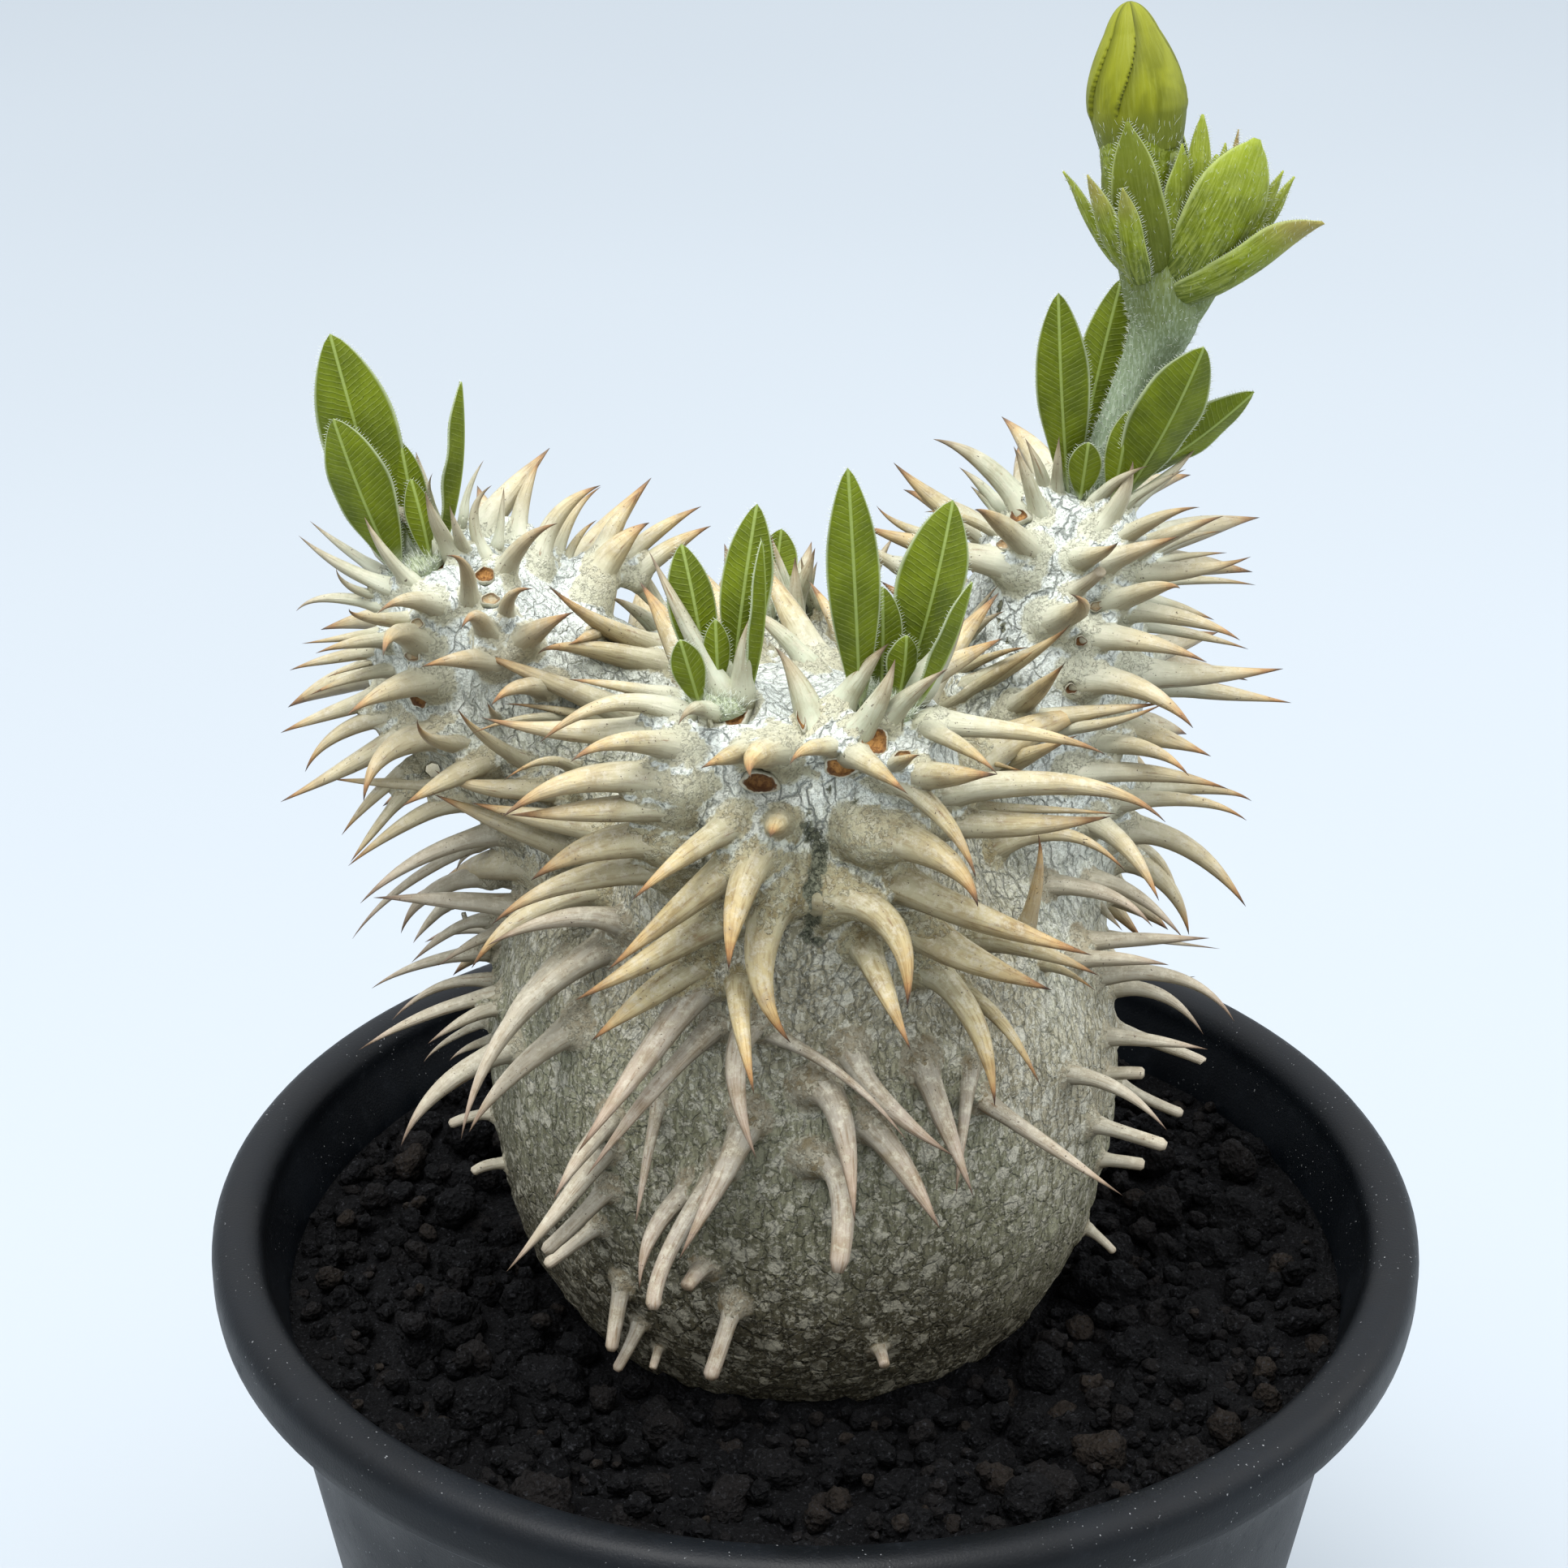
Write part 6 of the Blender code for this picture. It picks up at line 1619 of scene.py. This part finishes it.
def make_heads(stems, materials):
    """Each head: its woolly core and its leaves, then the young spines and the down of them all."""
    down = Build()
    young = Build("along", "tone", "age", grain=True)
    rng = random.Random(3)
    for name, leaves in LEAVES.items():
        build = Build("side", "run", "edge", "tip")
        seat, direction = head_seat(stems[name])
        core = seat + np.outer(CORE_AT, direction) * CORE_HEIGHT * CORE_SHOWN
        core = tube(core, CORE_RADIUS * np.array(CORE_RADII), 16, domed=False)
        build.add(*core, tip=0.0, side=1.0, edge=0.95)
        for k, (foot, tip, width, facing) in enumerate(leaves):
            wave = 0.18 if width > 4.5 else 0.08
            blade = add_leaf(build, seat + foot, seat + tip, width, facing, wave, k * 1.7)
            margin_hairs(down, *blade, rng)
        build.piece(f"leaves_{name}_fine", materials["leaf"], "leaf", f"leaves_{name}")
        for spine in young_spines(name, stems[name]):
            line = spine_line(spine, 14)
            if name == "back" or spine[1][1] > 0:
                add_spine(young, line, spine[4] * 1.15, False, -1.0, 0.2, rng)
        level, upright = across(direction)
        for _ in range(CORE_HAIRS):
            turn, out = rng.uniform(0, math.tau), math.sqrt(rng.random())
            around = math.cos(turn) * level + math.sin(turn) * upright
            raised = direction * CORE_HEIGHT * CORE_SHOWN * (1.0 - 0.75 * out**2)
            root = seat + around * CORE_RADIUS * CORE_RADII[0] * out + raised
            lean = direction * rng.uniform(0.2, 1) + around * rng.uniform(-0.4, 1.0)
            lean = unit(lean + level * rng.uniform(-0.5, 0.5))
            add_hair(down, root - direction * 0.2, lean, rng.uniform(0.6, 1.9), 0.045)
    young.piece("young_spines", materials["spine"], "leaf")
    return down


def behind(x, y, level):
    """The point behind a pixel of the photograph on the upright plane at that y."""
    look = sight(x, y)
    return CAMERA_AT + look * (level - CAMERA_AT[1]) / look[1]


def add_bract(build, foot, tip, width, facing, cup, curl, brown, outline, seed):
    """A sepal or bract: broad at its foot, cupped round what it holds, with a tip that curls."""
    length = np.linalg.norm(tip - foot)
    side, face = leaf_frame(foot, tip, facing)
    v = np.linspace(0, 1, SEPAL_ROWS)[:, None]
    u = np.linspace(-1, 1, SEPAL_COLUMNS)[None]
    outline = np.interp(v, OUTLINE_AT, outline)
    outline = (outline + np.vstack([outline[:1], outline[:-1]]) + np.vstack([outline[1:], outline[-1:]])) / 3
    half = width / 2 * outline * (1 + 0.05 * np.sin(v * 9 + seed * 1.9))
    turn = u * cup / 2 * (1 - 0.25 * v)
    arc = half / math.sin(cup / 2)
    ripple = 0.10 * np.sin(v * 13 + seed * 2.3) * u**2 * np.sin(np.pi * v)
    lift = 0.09 * length * np.sin(np.pi * v**0.8) + curl * length * v**5 - arc * (1 - np.cos(turn)) + ripple
    centre = foot + (tip - foot) * v[..., None]
    sheet = centre + side * (arc * np.sin(turn))[..., None] + face * lift[..., None]
    body = face * (np.maximum(0.24 * (1 - np.abs(u) ** 2.5), 0.07) * (1 - 0.5 * v))[..., None]
    verts = np.concatenate([sheet + body, (sheet - body)[:, ::-1]], axis=1).reshape(-1, 3)
    faces = grid_faces(SEPAL_ROWS, 2 * SEPAL_COLUMNS)
    u, v = both_faces(u, v)
    grain = np.stack([u * half * 2.2, v * length * 0.16, np.full_like(v, seed * 7.0)], axis=2)
    build.add(verts, faces, grain=grain, edge=np.abs(u).ravel(), tip=v.ravel(), brown=brown)
    return sheet, side, face


def make_flower(stems, materials, down):
    """The stalk with its sepals, bracts and side bud, and the furled flower bud on top."""
    rng = random.Random(8)
    foot = stalk_foot(stems)
    rows = moved(STALK, foot)
    points, radii = smooth_rows(rows, 0.8)
    stem = Build()
    turns = circle_turns(STALK_SIDES)
    one, two = ring_frames(points)
    ribs = 1 + 0.035 * np.sin(turns[None] * 7 + points[:, 2][:, None] * 0.25)
    verts = points[:, None] + (radii[:, None] * ribs)[..., None] * circles(turns, one, two)
    stem.add(verts.reshape(-1, 3), grid_faces(len(points), STALK_SIDES))
    stem.add(*tube(*smooth_rows(moved(SIDE_BUD, foot, 0.6), 1.0), 18))
    for _ in range(STALK_HAIRS):
        k = rng.randrange(len(points) - 1)
        turn = rng.uniform(0, math.tau)
        outward = math.cos(turn) * one[k] + math.sin(turn) * two[k]
        lean = unit(outward + UP * rng.uniform(-0.3, 0.8) + one[k] * rng.uniform(-0.4, 0.4))
        add_hair(down, points[k] + outward * radii[k] * 0.98, lean, rng.uniform(0.3, 0.8), 0.035)
    stem.piece("stalk_fine", materials["stalk"], "stalk_skin", "flower_stalk")
    bracts = Build("edge", "tip", "brown", grain=True)
    throat = smooth_rows([(*behind(*row[:3]), row[3]) for row in THROAT], 0.8)
    bracts.add(*tube(*throat, 24), edge=0.0, tip=0.5, brown=-0.3)
    for _ in range(THROAT_HAIRS):
        y = rng.uniform(*THROAT_Y)
        turn = rng.uniform(0, math.tau)
        around = np.array([math.cos(turn), math.sin(turn), 0.0])
        root = behind(THROAT_X, y, THROAT_PLANE) + around * THROAT_RADII[y >= THROAT_NARROWS]
        lean = unit(around * rng.uniform(0.1, 0.6) + UP + across(UP)[0] * rng.uniform(-0.4, 0.4))
        add_hair(down, root, lean, 0.7, 0.02)
    for k, (start, tip, width, facing, cup, curl, brown) in enumerate(SEPALS):
        broad = width > 6.9 or curl >= 0.1 or cup < 1.45
        outline = BROAD_OUTLINE if broad else SLIM_OUTLINE
        ends = behind(*start), behind(*tip)
        sheet, side, face = add_bract(bracts, *ends, width, facing, cup, curl, brown, outline, k)
        margin_hairs(down, sheet, side, face, rng, 0.26, 0.55)
        for _ in range(round((5 if brown < 0 else 11) * width)):
            row, column = rng.randrange(2, len(sheet) - 2), rng.randrange(1, sheet.shape[1] - 1)
            root = sheet[row, column] + face * 0.2
            lean = face * rng.uniform(0.1, 0.5) + UP * rng.uniform(0.5, 1)
            lean = unit(lean + side * rng.uniform(-0.5, 0.5))
            add_hair(down, root, lean, rng.uniform(0.3, 0.8), 0.022)
    bracts.piece("bracts_fine", materials["bract"], "stalk_skin")
    make_bud(np.array(rows[-1][:3]), materials["bud"])


def make_bud(top, material):
    """The furled flower bud: petals wrapped over each other, each edge a small step."""
    axis = unit(BUD_LEAN)
    one = np.array([1.0, 0, 0])
    one = unit(one - axis * one.dot(axis))
    two = np.cross(axis, one)
    share = np.linspace(0, 1, BUD_ROWS)[:, None]
    swell = (BUD_RADIUS - BUD_NECK_RADIUS) * np.sin(math.pi * np.minimum(1.0, share / 0.8))
    swell = BUD_NECK_RADIUS + 0.2 + swell
    radius = swell * np.sqrt(np.maximum(0.004, 1 - np.maximum(0.0, (share - 0.24) / 0.76) ** 1.9))
    radius = np.minimum(radius, 1.9 + 9.5 * (1 - share) ** 0.8)
    turns = (circle_turns(BUD_SIDES) - math.pi)[None]
    low = 1 - smooth_step(share, 0.2, 0.95)
    seam = np.ones((BUD_ROWS, BUD_SIDES))
    for at_tip, at_foot in PETAL_EDGES:
        edge = np.radians(at_tip + (at_foot - at_tip) * low**1.4 - 90)
        seam = np.minimum(seam, (turns - edge) % math.tau)
    shown = smooth_step(share, 0.17, 0.30)
    seam = seam * shown + 0.5 * (1 - shown)
    step = (0.085 * seam - 0.035) * shown * (1 - 0.6 * share) - 0.05 * np.exp(-((seam / 0.05) ** 2)) * shown
    radius = radius * (1 + step)
    circle = np.cos(turns)[..., None] * one + np.sin(turns)[..., None] * two
    verts = top + UP * 0.1 + axis * (BUD_LENGTH * share)[..., None] + radius[..., None] * circle
    fibres = np.broadcast_arrays(np.cos(turns) * 9, np.sin(turns) * 9, share * BUD_LENGTH * 0.22)
    faces = grid_faces(BUD_ROWS, BUD_SIDES)
    tip = np.broadcast_to(share, seam.shape).ravel()
    build = Build("seam", "tip", grain=True)
    build.add(verts.reshape(-1, 3), faces, grain=np.stack(fibres, axis=2), seam=seam.ravel(), tip=tip)
    build.piece("bud_fine", material, "petal", "flower_bud")


def wall_radius(height):
    """The radius of the pot's wall outside, at a height below the rim's band."""
    return WALL_FOOT_RADIUS + (WALL_TOP_RADIUS - WALL_FOOT_RADIUS) * height / BAND_FOOT


def pot_outline():
    """The pot's section, as radius and height: up the outside, over the rim and down the inside."""
    foot, inner = WALL_FOOT_RADIUS - FOOT_ROUND, RIM_RADIUS - RIM_WIDTH
    rounded = [(FOOT_ROUND * math.sin(a), FOOT_ROUND - FOOT_ROUND * math.cos(a)) for a in (0.5, 1.0, 1.5)]
    outline = [(WALL_FOOT_RADIUS - FOOT_RING_WIDTH, 0), (foot, 0)]
    outline += [(foot + out, height) for out, height in rounded]
    outline += [(wall_radius(z), z) for z in (3, 10, 25, 45, 65, 80, BAND_FOOT + 0.7)]
    outline.append((wall_radius(BAND_FOOT) + 0.5, BAND_FOOT + 1.2))
    outline += [(RIM_RADIUS - inward, BAND_FOOT + rise) for inward, rise in BAND_EDGE]
    for centre, start in ((RIM_RADIUS - RIM_ROLL, 0), (inner + RIM_ROLL, 90)):
        for turn in range(0, 91, 15):
            angle = math.radians(start + turn)
            height = POT_HEIGHT - RIM_ROLL + RIM_ROLL * math.sin(angle)
            outline.append((centre + RIM_ROLL * math.cos(angle), height))
    outline += [(inner - 0.2, POT_HEIGHT - 4.2), (wall_radius(BAND_FOOT) - WALL, BAND_FOOT)]
    outline += [(wall_radius(z) - WALL, z) for z in (80, 60, 40, 20, FLOOR + 2)]
    outline += [(wall_radius(FLOOR) - WALL - 2, FLOOR), (DRAIN_RADIUS, FLOOR), (DRAIN_RADIUS, FOOT_RECESS)]
    return outline + [(WALL_FOOT_RADIUS - FOOT_RING_WIDTH, FOOT_RECESS)]


def make_pot():
    """The pot: a turned wall with a rolled rim, a floor with drain holes and a foot ring."""
    radii, heights = np.array(pot_outline(), float).T[..., None]
    turns = circle_turns(POT_SIDES)
    verts = np.stack(np.broadcast_arrays(radii * np.cos(turns), radii * np.sin(turns), heights), axis=2)
    faces = grid_faces(len(radii), POT_SIDES, capped=False)
    last = (len(radii) - 1) * POT_SIDES
    faces += [(last + k, last + (k + 1) % POT_SIDES, (k + 1) % POT_SIDES, k) for k in range(POT_SIDES)]
    build = Build()
    build.add(verts.reshape(-1, 3), faces)
    pot = build.piece("pot_shell", pot_material(), "pot_plastic", "pot")
    pot.data.set_sharp_from_angle(angle=math.radians(48))
    for turn in circle_turns(SMALL_DRAINS):
        centre = np.array([math.cos(turn), math.sin(turn), 0]) * SMALL_DRAIN_CIRCLE
        ends = np.array([centre - UP, centre + UP * 7]) * MM
        cutter = scratch_object(*tube(ends, [SMALL_DRAIN_RADIUS * MM] * 2, 24, domed=False))
        cut = pot.modifiers.new("drain", "BOOLEAN")
        cut.operation = "DIFFERENCE"
        cut.object = cutter
        evaluated(pot)
        bpy.data.objects.remove(cutter)


def rock(rng, level):
    """Points and faces of one crumbly grain of about unit radius."""
    work = bmesh.new()
    bmesh.ops.create_icosphere(work, subdivisions=level, radius=1.0)
    points = np.array([v.co[:] for v in work.verts])
    faces = [tuple(v.index for v in f.verts) for f in work.faces]
    work.free()
    shift = rng.uniform(0, 50)
    rough = 0.36 * field(points, 1.1, shift) + 0.20 * field(points, 0.5, shift + 7)
    crumbs = np.minimum(cell_edges(points + 0.2 * field(points, 0.5, shift)[:, None] + shift, 0.62), 0.22)
    rough += (0.9 if level > 2 else 0.6) * (crumbs - 0.1)
    if level > 2:
        rough += 0.16 * field(points, 0.2, shift + 13)
    squash = np.array([rng.uniform(0.75, 1.1), rng.uniform(0.75, 1.1), rng.uniform(0.7, 1.0)])
    return points * (1 + rough)[:, None] * squash, faces


def turned(points, rng):
    """Points turned about by a random rotation."""
    basis, _ = np.linalg.qr(np.array([[rng.gauss(0, 1) for _ in range(3)] for _ in range(3)]))
    return points @ (basis * np.sign(np.linalg.det(basis))).T


def make_grit():
    """Lava grit: grains dropped on the bed one by one, each where it comes to rest, in two pieces."""
    rng = random.Random(21)
    wall = wall_radius(SOIL_LEVEL) - WALL
    span = np.arange(-wall - 2, wall + 2 + BED_CELL, BED_CELL)
    xs, ys = np.meshgrid(span, span, indexing="ij")
    heights = SOIL_LEVEL - BED_DEPTH + 1.2 * np.sin(xs / 7.1 + 1.3) * np.cos(ys / 6.3 + 2.6)
    heights[np.hypot(xs, ys) > wall - 0.2] = BLOCKED
    heights[np.hypot(xs - TRUNK[0][0], ys - TRUNK[0][1]) < trunk_radius(SOIL_LEVEL) + 0.2] = BLOCKED
    fine, coarse = Build("tone"), Build("tone")
    small, middling, large = ([rock(rng, level) for _ in range(count)] for level, count in ROCKS)
    sizes = [rng.uniform(least, greatest) for count, least, greatest in GRAINS for _ in range(count)]
    middle = len(span) // 2
    for number, size in enumerate(sizes):
        reach = max(1, int(size / BED_CELL))
        best = None
        for _ in range(TRIES):
            turn, out = rng.uniform(0, math.tau), wall * math.sqrt(rng.random())
            i, j = (middle + round(out * way / BED_CELL) for way in (math.cos(turn), math.sin(turn)))
            if not (reach <= i < len(span) - reach and reach <= j < len(span) - reach):
                continue
            near = (slice(i - reach, i + reach + 1), slice(j - reach, j + reach + 1))
            away = (xs[near] - span[i]) ** 2 + (ys[near] - span[j]) ** 2
            cap = np.sqrt(np.maximum(0, size**2 - away))
            rest = (heights[near] + cap)[away < size**2].max()
            if best is None or rest < best[0]:
                best = (rest, near, cap, away, span[i], span[j])
        if best is None or best[0] > SOIL_LEVEL + 3:
            continue
        rest, near, cap, away, x, y = best
        centre = rest - size * 0.45
        hill = np.where(away < size**2, centre + cap * 0.9, -np.inf)
        heights[near] = np.maximum(heights[near], hill)
        shapes = large if size > LARGE_ABOVE else middling if size > SMALL_BELOW else small
        shape, faces = shapes[number % len(shapes)]
        build = coarse if size > LARGE_ABOVE or size < FINEST_BELOW else fine
        build.add(turned(shape, rng) * size + [x, y, centre], faces, tone=rng.random())
    return fine, coarse, wall


def soil_bed(build, wall):
    """The bed under the grains, down to the pot's floor."""
    axis = np.array(TRUNK[0][:2])
    turns = circle_turns(BED_SIDES)
    inner = trunk_radius(SOIL_LEVEL) - 1.0
    low = FLOOR + 0.4
    shares = np.arange(BED_RINGS + 1) / BED_RINGS
    rings = [(wall - 14.5, low, 0), (wall - 0.2, SOIL_LEVEL - 3, 0)]
    rings += [(wall - 0.2 + (inner - wall) * share, SOIL_LEVEL - 1.6, share) for share in shares]
    verts = []
    for radius, height, share in rings:
        ring = np.stack([radius * np.cos(turns), radius * np.sin(turns)], axis=1) + axis * share
        rise = field(np.column_stack([ring, np.zeros(BED_SIDES)]), 2.4) * (1.6 if share else 0)
        verts.append(np.column_stack([ring, height + rise]))
    verts = np.vstack(verts + [[[0, 0, low]], [[*axis, SOIL_LEVEL - 8]]])
    faces = grid_faces(len(rings), BED_SIDES, capped=False)
    last = (len(rings) - 1) * BED_SIDES
    faces += [((k + 1) % BED_SIDES, k, len(verts) - 2) for k in range(BED_SIDES)]
    faces += [(last + k, last + (k + 1) % BED_SIDES, len(verts) - 1) for k in range(BED_SIDES)]
    build.add(verts, faces, tone=0.2)


def make_soil():
    """The soil: a bed with its grains, and the largest and the finest grains as a piece of their own."""
    fine, coarse, wall = make_grit()
    material = grit_material()
    soil_bed(fine, wall)
    fine.piece("grit", material, "lava_grit", "soil")
    coarse.piece("grit_mixed", material, "lava_grit")


# The stage


def make_stage():
    """The camera, the floor, the soft sky and the two lamps."""
    scene = bpy.context.scene
    scene.view_settings.view_transform = "Standard"
    camera = bpy.data.objects.new("camera", bpy.data.cameras.new("camera"))
    camera.location = CAMERA_AT * MM
    camera.rotation_euler = (CAMERA_TILT, 0, 0)
    camera.data.sensor_width = SENSOR
    camera.data.lens = FOCAL / PHOTO_SIDE * SENSOR
    camera.data.clip_start = 0.01
    scene.collection.objects.link(camera)
    scene.camera = camera
    floor = scratch_object(FLOOR_CORNERS, [(0, 1, 2, 3)])
    floor.name = floor.data.name = "floor"
    s = Shade("floor", Roughness=0.9, Specular_IOR_Level=0.1)
    pale = s.mix(s.range(s.noise(700, 2), 0.3, 0.7), (0.415, 0.455, 0.490), (0.435, 0.475, 0.510))
    floor.data.materials.append(s.finish(pale))
    world = bpy.data.worlds.new("sky")
    scene.world = world
    world.use_nodes = True
    tree = world.node_tree
    background = tree.nodes["Background"]
    background.inputs["Color"].default_value = SKY_COLOUR
    direction = tree.nodes.new("ShaderNodeTexCoord")
    parts = tree.nodes.new("ShaderNodeSeparateXYZ")
    brightness = tree.nodes.new("ShaderNodeMapRange")
    tree.links.new(direction.outputs["Generated"], parts.inputs[0])
    tree.links.new(parts.outputs["Z"], brightness.inputs["Value"])
    brightness.inputs["To Min"].default_value = SKY_AT_HORIZON
    brightness.inputs["To Max"].default_value = SKY_OVERHEAD
    tree.links.new(brightness.outputs["Result"], background.inputs["Strength"])
    for name, (size, power, at) in LAMPS.items():
        lamp = bpy.data.lights.new(name, "AREA")
        lamp.size = size
        lamp.energy = power
        lamp.color = LAMP_COLOUR
        obj = bpy.data.objects.new(name, lamp)
        obj.location = at
        obj.rotation_euler = (Vector(LAMP_AIM) - Vector(at)).to_track_quat("-Z", "Y").to_euler()
        scene.collection.objects.link(obj)


def main():
    make_stage()
    stems = {"trunk": Stem(TRUNK), **{name: Stem(rows) for name, rows in LIMBS.items()}}
    skin = plain_skin(stems)
    probe = BVHTree.FromObject(skin, bpy.context.evaluated_depsgraph_get())
    spines, scars = rule_spines(stems, probe, leaf_cloud(stems))
    materials = {
        "leaf": leaf_material(),
        "bract": bract_material(),
        "spine": spine_material(),
        "stalk": stalk_material(),
        "bud": bud_material(),
    }
    grown = [placed_spine(probe, row, kind) for kind, rows in PLACED.items() for row in rows]
    grown += rear_spines(spines, probe)
    bark = make_bark(skin, grown, [head_seat(stems[name]) for name in LEAVES], probe)
    finish_bark(bark, make_scars(scars, bark, probe))
    build = Build("along", "tone", "age", grain=True)
    rng = random.Random(2)
    for spine in grown:
        add_spine(build, *spine, rng)
    build.piece("spines", materials["spine"], "bark")
    down = make_heads(stems, materials)
    make_flower(stems, materials, down)
    down.piece("down", hair_material(), "leaf")
    make_pot()
    make_soil()


main()
